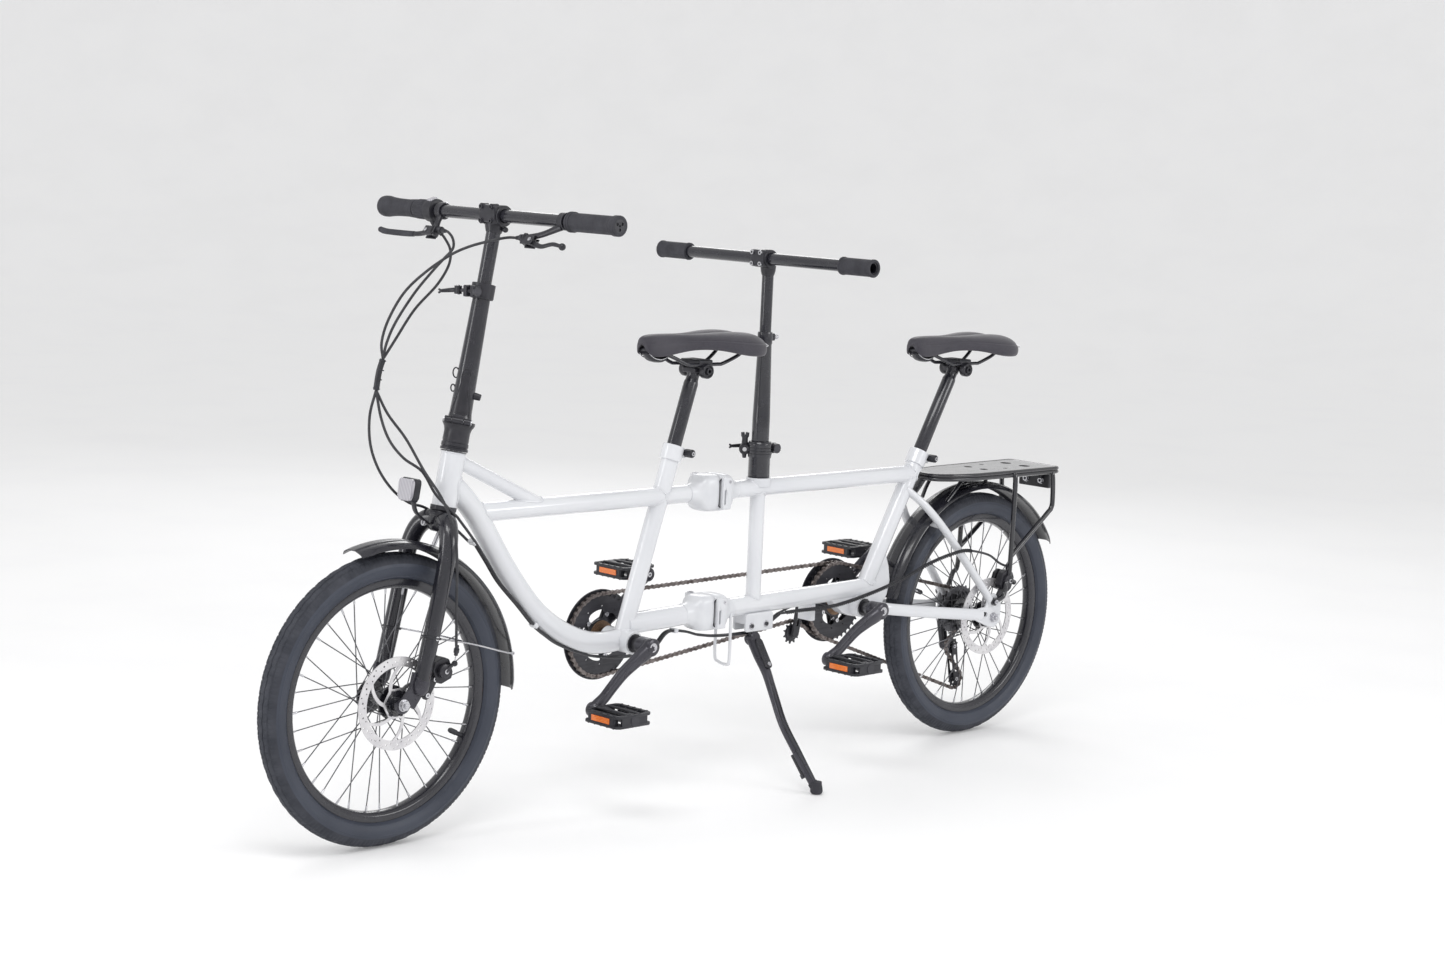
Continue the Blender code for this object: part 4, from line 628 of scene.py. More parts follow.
def tyre(end, axle):
    section = tyre_section()
    points, faces = [], []
    for step in range(TYRE_STEPS):
        a = math.tau * step / TYRE_STEPS
        sway = 0.0009 * math.sin(step * math.tau / 12)
        for radius, across, kind in section:
            reach = radius - tread_cut(kind, step, across)
            y = across + (sway if kind in ("groove", "rib") else 0)
            points.append((axle.x + reach * math.cos(a), y, axle.z + reach * math.sin(a)))
    size = len(section)
    for step in range(TYRE_STEPS):
        low, high = step * size, (step + 1) % TYRE_STEPS * size
        for k in range(size - 1):
            faces.append((low + k, low + k + 1, high + k + 1, high + k))
        faces.append((low + size - 1, low, high, high + size - 1))
    made = piece(f"tyre_{end}", Shape(points, faces), f"{end}_wheel", WALL_RUBBER, f"{end}_tyre", crease=30)
    made.data.materials.append(TREAD_RUBBER)
    crown = [k for k in range(size - 1) if section[k][2] != "wall" or section[k + 1][2] != "wall"]
    for step in range(TYRE_STEPS):
        for k in crown:
            made.data.polygons[step * size + k].material_index = 1


def rim(end, axle, valve_turn):
    half = [(0.2078, 0.0112), (0.2080, 0.0134), (0.2060, 0.0138), (0.1985, 0.0134), (0.1955, 0.0120),
            (0.1925, 0.0085), (0.1912, 0.0050), (0.1908, 0.0)]
    profile = half + [(r, -y) for r, y in reversed(half[:-1])]
    profile += [(0.2000, -0.0100), (0.1985, 0.0), (0.2000, 0.0100)]
    piece(f"rim_{end}", turn(profile, axle, LEFT, 180, closed=True), f"{end}_wheel", BLACK_TUBE, f"{end}_rim")
    a = math.radians(valve_turn)
    out = Vector((math.cos(a), 0, math.sin(a)))
    stem = [(0, 0), (0.0042, 0), (0.0040, 0.014), (0.0048, 0.0142), (0.0048, 0.027), (0.0036, 0.030),
            (0, 0.030)]
    piece(f"valve_{end}", turn(stem, axle + out * 0.1915, -out, 24), f"{end}_wheel", BLACK_PLASTIC)


def spoke_lines(axle, flanges):
    """The two ends of each spoke: leading ones outside trailing ones, crossing three times."""
    lines = []
    per_flange = SPOKES // 2
    for side, flange_y in zip((1, -1), flanges):
        for k in range(per_flange):
            leading = k % 2 == 0
            hub_turn = math.tau * k / per_flange + (side < 0) * math.tau / SPOKES
            rim_turn = hub_turn + math.radians(60 if leading else -60)
            outwards = side * (0.0026 if leading else -0.0026)
            start = axle + Vector((0.0262 * math.cos(hub_turn), flange_y + outwards,
                                   0.0262 * math.sin(hub_turn)))
            end = axle + Vector((0.1912 * math.cos(rim_turn), side * 0.0030, 0.1912 * math.sin(rim_turn)))
            lines.append((start, end))
    return lines


def hub_profile(end):
    if end == "front":
        return [(0.0090, 0.0470), (0.0115, 0.0465), (0.0118, 0.0395), (0.0165, 0.0390), (0.0170, 0.0372),
                (0.0225, 0.0368), (0.0225, 0.0320), (0.0150, 0.0290), (0.0150, 0.0242), (0.0280, 0.0240),
                (0.0290, 0.0230), (0.0290, 0.0210), (0.0280, 0.0200), (0.0150, 0.0185), (0.0122, 0.0100),
                (0.0115, -0.0050), (0.0125, -0.0250), (0.0150, -0.0335), (0.0280, -0.0340), (0.0290, -0.0350),
                (0.0290, -0.0370), (0.0280, -0.0380), (0.0150, -0.0390), (0.0118, -0.0400), (0.0115, -0.0465),
                (0.0090, -0.0470)]
    return [(0.0090, 0.0620), (0.0115, 0.0615), (0.0118, 0.0540), (0.0165, 0.0535), (0.0170, 0.0515),
            (0.0225, 0.0511), (0.0225, 0.0465), (0.0160, 0.0440), (0.0160, 0.0382), (0.0280, 0.0380),
            (0.0290, 0.0370), (0.0290, 0.0350), (0.0280, 0.0340), (0.0160, 0.0328), (0.0140, 0.0200),
            (0.0130, 0.0080), (0.0145, -0.0080), (0.0170, -0.0165), (0.0280, -0.0170), (0.0290, -0.0180),
            (0.0290, -0.0200), (0.0280, -0.0210), (0.0158, -0.0225), (0.0158, -0.0600), (0.0115, -0.0605),
            (0.0090, -0.0620)]


def wheel_centre(end, axle, flanges, half_hub):
    wheel = f"{end}_wheel"
    lines = spoke_lines(axle, flanges)
    piece(f"hub_{end}", turn([(0.0052, half_hub)] + hub_profile(end) + [(0.0052, -half_hub)], axle, LEFT, 64,
                             closed=True), wheel, BLACK_GLOSS, f"{end}_hub")
    spokes = joined([rod(start, end_point, 0.0010, sides=8) for start, end_point in lines])
    piece(f"spokes_{end}", spokes, wheel, DARK_STEEL)
    nipples = []
    for start, end_point in lines:
        inwards = (start - end_point).normalized()
        nipples.append(rod(end_point, end_point + inwards * 0.0110, 0.0021, 0.0017, sides=10))
    piece(f"nipples_{end}", joined(nipples), wheel, STEEL)
    return wheel


def rotor(end, axle, y, wheel):
    """A drilled disc on six swept arms, bolted to the hub."""
    arms, sweep_turn, inner, outer, half_arm = 6, math.radians(34), 0.0275, 0.0635, 0.0036
    holes = [circle(0.0172, 36)]
    for k in range(arms):
        sides_of = []
        for side in (1, -1):
            base = math.tau * (k if side > 0 else k + 1) / arms
            edge = []
            for step in range(7):
                r = inner + (outer - inner) * step / 6
                a = base + sweep_turn * step / 6 + side * math.asin(half_arm / r)
                edge.append((r * math.cos(a), r * math.sin(a)))
            sides_of.append(edge)
        first, last = sides_of
        start = math.atan2(first[-1][1], first[-1][0])
        width = (math.atan2(last[-1][1], last[-1][0]) - start) % math.tau
        arc = [(outer * math.cos(start + width * s / 6),
                outer * math.sin(start + width * s / 6)) for s in range(1, 6)]
        holes.append(first + arc + last[::-1])
    for row, (radius, size) in enumerate(((0.0678, 0.0017), (0.0717, 0.0021), (0.0758, 0.0016))):
        for k in range(18):
            a = math.tau * (k + row / 3) / 18
            holes.append(circle(size, 8, (radius * math.cos(a), radius * math.sin(a))))
    place = upright(axle + LEFT * y)
    piece(f"rotor_{end}", slab(circle(0.0800, 120), 0.0018, place, holes), wheel, ROTOR_STEEL, f"{end}_rotor")
    bolts = []
    for k in range(arms):
        a = math.tau * k / arms + 0.1
        foot = axle + Vector((0.0212 * math.cos(a), y + 0.0009, 0.0212 * math.sin(a)))
        bolts.append(bolt(foot, LEFT, 0.0034, 0.0022))
    piece(f"rotor_bolts_{end}", joined(bolts), wheel, BLACK_CAST)


def axle_rod(end, axle, spread_of_dropouts):
    body = "fork" if end == "front" else "rear_frame"
    outer = spread_of_dropouts + 0.0028
    made = [rod(axle - LEFT * (outer + 0.0105), axle + LEFT * (outer + 0.0105), 0.0048, sides=32)]
    for side in (1, -1):
        made.append(hex_nut(axle + LEFT * side * outer, LEFT * side, 0.0092, 0.0070, 0.0046))
        made.append(rod(axle + LEFT * side * (outer + 0.0100), axle + LEFT * side * (outer + 0.0110), 0.0036))
    piece(f"axle_{end}", joined(made), body, STEEL, f"{end}_axle", bevel=0.0004)


def wheels():
    for end, (axle, flanges, rotor_y, half_hub, dropouts, valve_turn) in WHEELS.items():
        tyre(end, axle)
        rim(end, axle, valve_turn)
        wheel = wheel_centre(end, axle, flanges, half_hub)
        rotor(end, axle, rotor_y, wheel)
        axle_rod(end, axle, dropouts)


# Frame

REAR_SEAT_FOOT = Vector((-0.4378, 0, 0.341))


def at_height(foot, up, height):
    return foot + up * ((height - foot.z) / up.z)


def on_steering(height):
    return at_height(STEER_FOOT, STEER_UP, height)


def on_front_seat(height):
    return at_height(FRONT_BB, FRONT_SEAT_UP, height)


def on_rear_seat(height):
    return at_height(REAR_SEAT_FOOT, REAR_SEAT_UP, height)


def pipe(start, end, radius, bore, steps=48):
    """A tube with a bore and slightly rounded lips."""
    start, end = Vector(start), Vector(end)
    half, lip = (end - start).length / 2, 0.0008
    profile = [(bore, half - lip), (bore + lip, half), (radius - lip, half), (radius, half - lip),
               (radius, lip - half), (radius - lip, -half), (bore + lip, -half), (bore, lip - half)]
    return turn(profile, (start + end) / 2, end - start, steps, closed=True)


def rounded_ring(x, centre, half_width, half_height, power, count=40):
    """A ring across X, from a circle (power 1) to a rounded rectangle (power 0.35)."""
    ring = []
    for k in range(count):
        a = math.tau * k / count
        c, s = math.cos(a), math.sin(a)
        y = half_width * math.copysign(abs(c) ** power, c)
        z = half_height * math.copysign(abs(s) ** power, s)
        ring.append(Vector((x, centre[0] + y, centre[1] + z)))
    return ring


def hinge_block(height, side, half_height, tube_radius, tail=0.062):
    """The cast end of a frame half: it swells from the tube to the flange at the fold."""
    face = FOLD_PLANE + side * 0.0004
    stations = ((tail, tube_radius + 0.0004, tube_radius + 0.0004, 1.0), (0.050, tube_radius + 0.0012,
                tube_radius + 0.0016, 0.92), (0.040, 0.0225, half_height - 0.010, 0.72),
                (0.034, 0.0268, half_height - 0.0035, 0.56), (0.026, 0.0286, half_height - 0.0008, 0.48),
                (0.012, 0.0290, half_height, 0.44), (0.0016, 0.0290, half_height, 0.44),
                (0.0, 0.0278, half_height - 0.0014, 0.46))
    rings = [rounded_ring(face + side * x, (0.001, height), w, h, power) for x, w, h, power in stations]
    return loft(rings)


def knuckles(height, side):
    spans = [(-0.0120, 0.0120)] if side > 0 else [(-0.0290, -0.0126), (0.0126, 0.0290)]
    made = []
    for low, high in spans:
        middle = Vector((FOLD_PLANE, FOLD_PIN_Y, height + (low + high) / 2))
        half = (high - low) / 2
        profile = [(0.0045, half), (0.0092, half), (0.0100, half - 0.0008), (0.0100, 0.0008 - half),
                   (0.0092, -half), (0.0045, -half)]
        made.append(turn(profile, middle, UP, 32, closed=True))
        made.append(block((0.026, 0.014, 2 * half - 0.002), middle + Vector((side * 0.0150, 0.0080, 0))))
    return made


HINGES = (("upper", TOP_TUBE_HEIGHT, 0.035, 0.0170), ("lower", BOTTOM_TUBE_HEIGHT, 0.034, 0.0185))


def hinges():
    for label, height, half, tube_radius in HINGES:
        for side, body in ((1, "front_frame"), (-1, "rear_frame")):
            piece(f"{label}_hinge_{'front' if side > 0 else 'rear'}",
                  hinge_block(height, side, half, tube_radius), body, WHITE_CAST, crease=50)
            piece(f"{label}_knuckle_{'front' if side > 0 else 'rear'}", joined(knuckles(height, side)), body,
                  WHITE_CAST, bevel=0.0006)
        pin_low = Vector((FOLD_PLANE, FOLD_PIN_Y, height - 0.0300))
        piece(f"{label}_hinge_pin", joined(rod(pin_low, pin_low + UP * 0.060, 0.0035),
                                           bolt(pin_low + UP * 0.0590, UP, 0.0060, 0.0022),
                                           bolt(pin_low + UP * 0.0010, -UP, 0.0060, 0.0022)),
              "rear_frame", STEEL)
        # A thin black strip along the latch's front edge: painted shadow of the gap between the latch and the
        # hinge block, not a part of its own.
        gap_shadow_path = [Vector((0.0060, 0.0296, height + half - 0.0070)),
                Vector((0.0135, 0.0296, height + half - 0.0110)),
                Vector((0.0140, 0.0296, height + half - 0.0190)),
                Vector((0.0140, 0.0296, height - half + 0.0190)),
                Vector((0.0135, 0.0296, height - half + 0.0110)),
                Vector((0.0080, 0.0296, height - half + 0.0080))]
        piece(f"{label}_latch_painted_shadow", sweep(smooth(gap_shadow_path, 5), 0.0011, 10), "front_frame", BLACK_PLASTIC)
        latch_outline = [(-0.0100, -half + 0.0065), (-0.0075, -half + 0.0050), (0.0095, -half + 0.0050),
                         (0.0120, -half + 0.0075), (0.0120, half - 0.0075), (0.0095, half - 0.0050),
                         (-0.0075, half - 0.0050), (-0.0100, half - 0.0065)]
        plate = slab(latch_outline, 0.0068, upright((0, 0.0346, height)),
                     [stadium((0.0055, -half + 0.016), (0.0055, half - 0.030), 0.0022, 0.0022, 6)])
        piece(f"{label}_latch_plate", plate, f"{label}_latch", WHITE_CAST, f"{label}_latch", bevel=0.0016)
        screw = Vector((-0.0050, 0.0380, height + half - 0.013))
        piece(f"{label}_latch_screw", bolt(screw, LEFT, 0.0030, 0.0010), f"{label}_latch", STEEL)


def ribbed_knob(place, axis, radius, length, teeth=14):
    """A knob with a scalloped edge."""
    outline = []
    for k in range(teeth * 4):
        a = math.tau * k / (teeth * 4)
        reach = radius * (1 - 0.07 * (0.5 - 0.5 * math.cos(a * teeth)))
        outline.append((reach * math.cos(a), reach * math.sin(a)))
    axis = Vector(axis).normalized()
    return slab(outline, length, facing(axis, place=Vector(place) + axis * length / 2))


def seat_clamp(label, on_axis, up, low, high, body):
    """The collar round a seat tube: a split ring, its ears, the cam lever's knob and its nut."""
    ring = pipe(on_axis(low), on_axis(high), 0.0205, 0.0140)
    middle = on_axis((low + high) / 2)
    ears = middle + Vector((-0.0180, 0, 0))
    turn_by = facing(up).to_3x3()
    lips = [block((0.0180, 0.0105, 0.0172), ears + LEFT * side * 0.0070, turn_by) for side in (1, -1)]
    piece(f"{label}_seat_collar", ring, body, WHITE, crease=40)
    piece(f"{label}_seat_collar_ears", joined(lips), body, WHITE_CAST, bevel=0.0022)
    through = middle + Vector((-0.0240, 0, 0))
    knob = joined(ribbed_knob(through + LEFT * 0.0126, LEFT, 0.0078, 0.0170),
                  turn([(0, 0), (0.0066, 0), (0.0052, 0.0024), (0, 0.0024)], through + LEFT * 0.0296, LEFT, 24))
    piece(f"{label}_seat_knob", knob, body, BLACK_PLASTIC, bevel=0.0005)
    piece(f"{label}_seat_knob_bolt", bolt(through + LEFT * 0.0310, LEFT, 0.0038, 0.0016), body, STEEL)
    cone = turn([(0, 0), (0.0075, 0), (0.0075, 0.006), (0.0062, 0.011), (0.0030, 0.0185), (0, 0.0190)],
                through - LEFT * 0.0126, -LEFT, 32)
    piece(f"{label}_seat_nut", cone, body, BLACK_PLASTIC)


def bottom_bracket(label, centre, half, body):
    shell = pipe(centre - LEFT * half, centre + LEFT * half, 0.0210, 0.0160)
    piece(f"{label}_bracket_shell", shell, body, WHITE)
    cups = []
    for side in (1, -1):
        place = centre + LEFT * side * half
        notched = ribbed_knob(place - LEFT * side * 0.0030, LEFT * side, 0.0175, 0.0060, 16)
        cups += [notched]
    piece(f"{label}_bracket_cups", joined(cups), body, BLACK_CAST, bevel=0.0003)


DOWN_TUBE = [(0.640, 0, 0.615), (0.612, 0, 0.592), (0.572, 0, 0.548), (0.510, 0, 0.459), (0.455, 0, 0.392),
             (0.414, 0, 0.355), (0.365, 0, 0.325), (0.310, 0, 0.303), (0.262, 0, 0.297), (0.215, 0, 0.300)]


def front_frame():
    body = "front_frame"
    seat_foot, seat_top = FRONT_BB, on_front_seat(0.623)
    head = (on_steering(HEAD_BOTTOM), on_steering(HEAD_TOP))
    top_tube = ((0.566, 0, TOP_TUBE_HEIGHT), (0.062, 0, TOP_TUBE_HEIGHT))
    gusset = ((0.6205, 0, 0.6500), (0.424, 0, 0.5580))
    low_tube = ((0.215, 0, 0.325), (0.062, 0, BOTTOM_TUBE_HEIGHT - 0.001))
    piece("head_tube", pipe(*head, 0.0212, 0.0160, 64), body, WHITE, "front_frame")
    lips = [hoop(place, STEER_UP, 0.0212, 0.0011, 64) for place in
            (on_steering(HEAD_BOTTOM + 0.0030), on_steering(HEAD_TOP - 0.0030))]
    piece("head_tube_lips", joined(lips), body, WHITE)
    piece("down_tube", sweep(smooth(DOWN_TUBE, 8), 0.0200, 40, up=LEFT), body, WHITE)
    piece("front_top_tube", rod(*top_tube, 0.0170, sides=40), body, WHITE)
    piece("head_gusset_tube", rod(*gusset, 0.0125, sides=32), body, WHITE)
    piece("front_seat_tube", rod(seat_foot, seat_top, 0.0165, sides=40), body, WHITE)
    piece("front_bottom_tube", rod(*low_tube, 0.0200, 0.0195, sides=40), body, WHITE)
    beads = [
        weld(gusset[1], gusset[0], 0.0125, *head, 0.0212),
        weld(gusset[0], gusset[1], 0.0125, *top_tube, 0.0170),
        weld(top_tube[1], top_tube[0], 0.0170, (0.572, 0, 0.548), (0.510, 0, 0.459), 0.0200),
        weld((0.560, 0, 0.535), (0.622, 0, 0.600), 0.0200, *head, 0.0212),
        weld(seat_top, seat_foot, 0.0165, FRONT_BB - LEFT, FRONT_BB + LEFT, 0.0210),
        weld(low_tube[1], low_tube[0], 0.0200, FRONT_BB - LEFT, FRONT_BB + LEFT, 0.0210),
    ]
    for start in (0.36, 0.20):
        beads.append(weld((start, 0, TOP_TUBE_HEIGHT), (0.28, 0, TOP_TUBE_HEIGHT), 0.0170, seat_foot, seat_top,
                          0.0165, 0.0020))
    piece("front_frame_welds", joined(beads), body, WHITE_CAST)
    seat_clamp("front", on_front_seat, FRONT_SEAT_UP, 0.622, 0.649, body)
    bottom_bracket("front", FRONT_BB, 0.036, body)
    cups = []
    for height, way in ((HEAD_BOTTOM, -1), (HEAD_TOP, 1)):
        foot = on_steering(height) - STEER_UP * way * 0.0012
        profile = [(0.0160, 0), (0.0226, 0), (0.0226, 0.0010 if way > 0 else 0.0070), (0.0205, 0.0016 if way > 0
                   else 0.0095), (0.0160, 0.0016 if way > 0 else 0.0095)]
        if way < 0:
            foot = on_steering(height) + STEER_UP * 0.0082
        cups.append(turn(profile, foot, STEER_UP * way, 64, closed=True))
    piece("headset_cups", joined(cups), body, BLACK_CAST)


def dropout(side):
    outline = [(-0.700, 0.2570), (-0.712, 0.2735), (-0.740, 0.2760), (-0.752, 0.3000), (-0.768, 0.3020),
               (-0.788, 0.2800), (-0.788, 0.2560), (-0.785, 0.2400), (-0.770, 0.2300), (-0.745, 0.2360),
               (-0.716, 0.2480)]
    if side < 0:
        outline[7:9] = [(-0.7860, 0.2400), (-0.7850, 0.2160), (-0.7740, 0.2110), (-0.7640, 0.2160),
                        (-0.7580, 0.2300)]
    hole = circle(0.0056, 24, (REAR_AXLE.x, REAR_AXLE.z))
    window = stadium((-0.733, 0.2620), (-0.742, 0.2600), 0.0045, 0.0045, 8)
    return slab(outline, 0.0050, upright(LEFT * side * STAY_SPREAD), [hole, window])


def box_route(route, width, depth, steps=6):
    """A flattened stay: wide up and down, narrow across."""
    return sweep(smooth(route, steps), width / 2, 24, flat=depth / width, up=UP)


def rear_stays():
    body = "rear_frame"
    left_stay = [(-0.405, 0.020, 0.303), (-0.450, 0.038, 0.297), (-0.482, 0.0465, 0.292),
                 (-0.600, 0.056, 0.276), (-0.690, 0.063, 0.265), (-0.730, 0.0655, 0.260)]
    right_stay = [(-0.405, -0.020, 0.303), (-0.450, -0.0255, 0.297), (-0.484, -0.0285, 0.291),
                  (-0.520, -0.0425, 0.286), (-0.600, -0.056, 0.276), (-0.690, -0.063, 0.265),
                  (-0.730, -0.0655, 0.260)]
    seat_stay = [(-0.538, 0.008, 0.528), (-0.572, 0.032, 0.494), (-0.612, 0.047, 0.450), (-0.662, 0.055, 0.394),
                 (-0.735, 0.0635, 0.312), (-0.758, 0.0655, 0.283)]
    stays = [box_route(left_stay, 0.0240, 0.0150), box_route(right_stay, 0.0220, 0.0140)]
    for side in (1, -1):
        route = [(x, side * y, z) for x, y, z in seat_stay]
        stays.append(sweep(smooth(route, 6), 0.0098, 24, flat=0.78, up=LEFT))
    piece("rear_stays", joined(stays), body, WHITE)
    piece("rear_dropouts", joined([dropout(side) for side in (1, -1)]), body, WHITE_CAST, bevel=0.0009)
    bridge = [(-0.612, -0.047, 0.450), (-0.605, 0, 0.4560), (-0.612, 0.047, 0.450)]
    piece("stay_bridge", sweep(smooth(bridge, 6), 0.0062, 16, up=UP), body, WHITE)
    boots = []
    for side in (1, -1):
        foot = Vector((-0.7580, side * (STAY_SPREAD + 0.0024), 0.2865))
        boots.append(bolt(foot, LEFT * side, 0.0042, 0.0030))
    piece("carrier_eyelet_bolts", joined(boots), body, STEEL)


def rear_frame():
    body = "rear_frame"
    seat_top = on_rear_seat(0.575)
    top_tube = ((-0.042, 0, TOP_TUBE_HEIGHT), (-0.5600, 0, TOP_TUBE_HEIGHT))
    low_tube = ((-0.042, 0, BOTTOM_TUBE_HEIGHT), (-0.4420, 0, 0.335))
    post_tube = ((STOKER_X, 0, BOTTOM_TUBE_HEIGHT), (STOKER_X, 0, 0.5760))
    seat_tube = (REAR_SEAT_FOOT, seat_top)
    piece("rear_top_tube", rod(*top_tube, 0.0170, sides=40), body, WHITE, "rear_frame")
    piece("rear_bottom_tube", rod(*low_tube, 0.0185, sides=40), body, WHITE)
    piece("stoker_tube", rod(*post_tube, 0.0145, sides=40), body, WHITE)
    piece("rear_seat_tube", rod(*seat_tube, 0.0168, sides=40), body, WHITE)
    collar = [(0, -0.010), (0.0225, -0.010), (0.0240, -0.0040), (0.0235, 0.0062), (0, 0.0062)]
    piece("stoker_tube_seat", turn(collar, (STOKER_X, 0, 0.5700), UP, 48), body, WHITE_CAST)
    beads = [
        weld(*seat_tube[::-1], 0.0168, *low_tube, 0.0185),
        weld(post_tube[1], post_tube[0], 0.0145, *low_tube, 0.0185),
        weld(post_tube[0], post_tube[1], 0.0145, *top_tube, 0.0170),
    ]
    for start in (-0.42, -0.66):
        beads.append(weld((start, 0, TOP_TUBE_HEIGHT), (-0.558, 0, TOP_TUBE_HEIGHT), 0.0170, *seat_tube, 0.0168,
                          0.0020))
    piece("rear_frame_welds", joined(beads), body, WHITE_CAST)
    outline = [(-0.330, 0.320), (-0.345, 0.306), (-0.362, 0.293), (-0.380, 0.2850), (-0.401, 0.2810),
               (-0.425, 0.2850), (-0.452, 0.2900), (-0.476, 0.2960), (-0.493, 0.3160), (-0.500, 0.345),
               (-0.494, 0.376), (-0.482, 0.405), (-0.440, 0.345)]
    piece("bracket_gusset", slab(outline, 0.0260, upright((0, 0, 0))), body, WHITE, bevel=0.0030)
    bottom_bracket("rear", REAR_BB, 0.034, body)
    seat_clamp("rear", on_rear_seat, REAR_SEAT_UP, 0.574, 0.600, body)
    plate_outline = [(-0.0370, -0.0170), (-0.0340, -0.0190), (0.0330, -0.0190), (0.0370, -0.0150),
                     (0.0370, 0.0120), (0.0330, 0.0165), (-0.0330, 0.0165), (-0.0370, 0.0120)]
    cheeks = [slab(plate_outline, 0.0050, upright((-0.1200, 0.002 + side * 0.0155, 0.3010)))
              for side in (1, -1)]
    bridge = block((0.070, 0.028, 0.020), (-0.1200, 0.002, 0.3070))
    piece("kickstand_bracket", joined(cheeks, bridge), body, WHITE_CAST, bevel=0.0012)
    screws, rings = [], []
    for x, z in ((-0.0985, 0.2935), (-0.1380, 0.2945)):
        foot = Vector((x, 0.0200, z))
        screws.append(bolt(foot, LEFT, 0.0040, 0.0030))
        rings.append(turn([(0.0040, 0), (0.0068, 0), (0.0064, 0.0012), (0.0040, 0.0012)], foot, LEFT, 32,
                          closed=True))
    piece("kickstand_bracket_bolts", joined(screws), body, DARK_STEEL)
    piece("kickstand_bracket_washers", joined(rings), body, STEEL)
    lug = block((0.0120, 0.0360, 0.0380), (-0.2900, -0.0170, 0.3000))
    piece("tensioner_lug", lug, body, WHITE_CAST, bevel=0.0015)
    loop = [(-0.042, -0.0190, 0.326), (-0.042, -0.0195, 0.240), (-0.044, -0.0120, 0.2260),
            (-0.044, 0.0120, 0.2240), (-0.042, 0.0195, 0.238), (-0.042, 0.0190, 0.326)]
    piece("folded_rest_loop", sweep(smooth(loop, 6), 0.0030, 14), body, WHITE)
    rear_stays()


# Fork and what it carries


def fork():
    body = "fork"
    tube = rod(on_steering(0.548), on_steering(0.7105), 0.0143, sides=40)
    piece("steerer", tube, body, STEEL, "fork")
    race = [(0.0145, 0), (0.0236, 0), (0.0240, 0.004), (0.0228, 0.0068), (0.0145, 0.0068)]
    piece("crown_race", turn(race, on_steering(0.5660) - STEER_UP * 0.0085, STEER_UP, 64, closed=True), body,
          BLACK_CAST)
    crown = turn([(0, -0.010), (0.0150, -0.010), (0.0205, -0.0060), (0.0225, 0.0), (0.0225, 0.0180),
                  (0, 0.0180)],
                 on_steering(0.5400), STEER_UP, 48)
    blades = []
    for side in (1, -1):
        route = [(0.6535, 0.004, 0.5500), (0.6600, 0.0240, 0.5500), (0.6680, 0.0400, 0.5370),
                 (0.6755, 0.0500, 0.5130), (0.6830, 0.0535, 0.4800), (0.6990, 0.0540, 0.4080),
                 (0.7160, 0.0540, 0.3360), (0.7275, 0.0540, 0.2890)]
        route = [(x, side * y, z) for x, y, z in route]
        blades.append(sweep(smooth(route, 8), [0.0165, 0.0170, 0.0162, 0.0152, 0.0146, 0.0143, 0.0140], 32,
                            up=LEFT))
    piece("fork_blades", joined(blades, crown), body, BLACK_TUBE)
    feet, caps = [], []
    for side in (1, -1):
        outline = [(0.7130, 0.2980), (0.7440, 0.3060), (0.7500, 0.2800), (0.7640, 0.2640), (0.7785, 0.2560)]
        outline += [(FRONT_AXLE.x + 0.0150 * math.cos(a), FRONT_AXLE.z + 0.0150 * math.sin(a))
                    for a in [math.radians(20 - 14 * k) for k in range(14)]]
        outline += [(0.7420, 0.2420), (0.7300, 0.2580), (0.7180, 0.2740)]
        hole = circle(0.0056, 24, (FRONT_AXLE.x, FRONT_AXLE.z))
        feet.append(slab(outline, 0.0065, upright(LEFT * side * (FORK_SPREAD - 0.0006)), [hole]))
        feet.append(turn([(0, -0.014), (0.0143, -0.014), (0.0155, -0.004), (0.0150, 0.006), (0.0100, 0.016),
                          (0, 0.018)], (0.7290, side * 0.0530, 0.2820), (0.22, 0, -0.97), 32))
        caps.append(bolt((0.7090, side * 0.0680, 0.3620), LEFT * side, 0.0036, 0.0024))
    piece("fork_dropouts", joined(feet), body, CRANK_GREY, bevel=0.0010)
    clips = [hoop((0.7090, side * 0.0540, 0.3620), (0.22, 0, -0.97), 0.0150, 0.0022, 40) for side in (1, -1)]
    piece("stay_clips", joined(clips), body, BLACK_PLASTIC)
    piece("stay_clip_bolts", joined(caps), body, STEEL)


def polar(centre, radius, turn_up, y=0.0):
    return centre + Vector((radius * math.cos(turn_up), y, radius * math.sin(turn_up)))


def guard_skin(axle, radius, first, last, steps):
    """A mudguard: a ribbed channel with rolled edges, 1.6 mm thick, bent round the tyre."""
    outer = [(-0.0118, 0.0287), (-0.0108, 0.0300), (-0.0094, 0.0294), (-0.0050, 0.0258), (-0.0026, 0.0205),
             (-0.0008, 0.0150), (-0.0006, 0.0122), (0.0008, 0.0108), (0.0010, 0.0060), (0.0010, 0.0)]
    inner = [(-0.0012, 0.0), (-0.0012, 0.0100), (-0.0030, 0.0150), (-0.0048, 0.0200), (-0.0068, 0.0246),
             (-0.0110, 0.0276)]
    ring = outer + [(h, -y) for h, y in outer[-2::-1]] + [(h, -y) for h, y in inner[::-1]] + inner[1:]
    points, faces, count = [], [], len(ring)
    for k in range(steps + 1):
        a = first + (last - first) * k / steps
        closing = min(k, steps - k) / 2.0
        squeeze = 1.0 if closing >= 1 else 0.90 + 0.10 * closing
        for h, y in ring:
            points.append(polar(axle, radius + h, a, y * squeeze))
    for k in range(steps):
        for s in range(count):
            t = (s + 1) % count
            faces.append((k * count + s, k * count + t, (k + 1) * count + t, (k + 1) * count + s))
    faces += [tuple(range(count)), tuple(range(steps * count, (steps + 1) * count))]
    return Shape(points, faces)


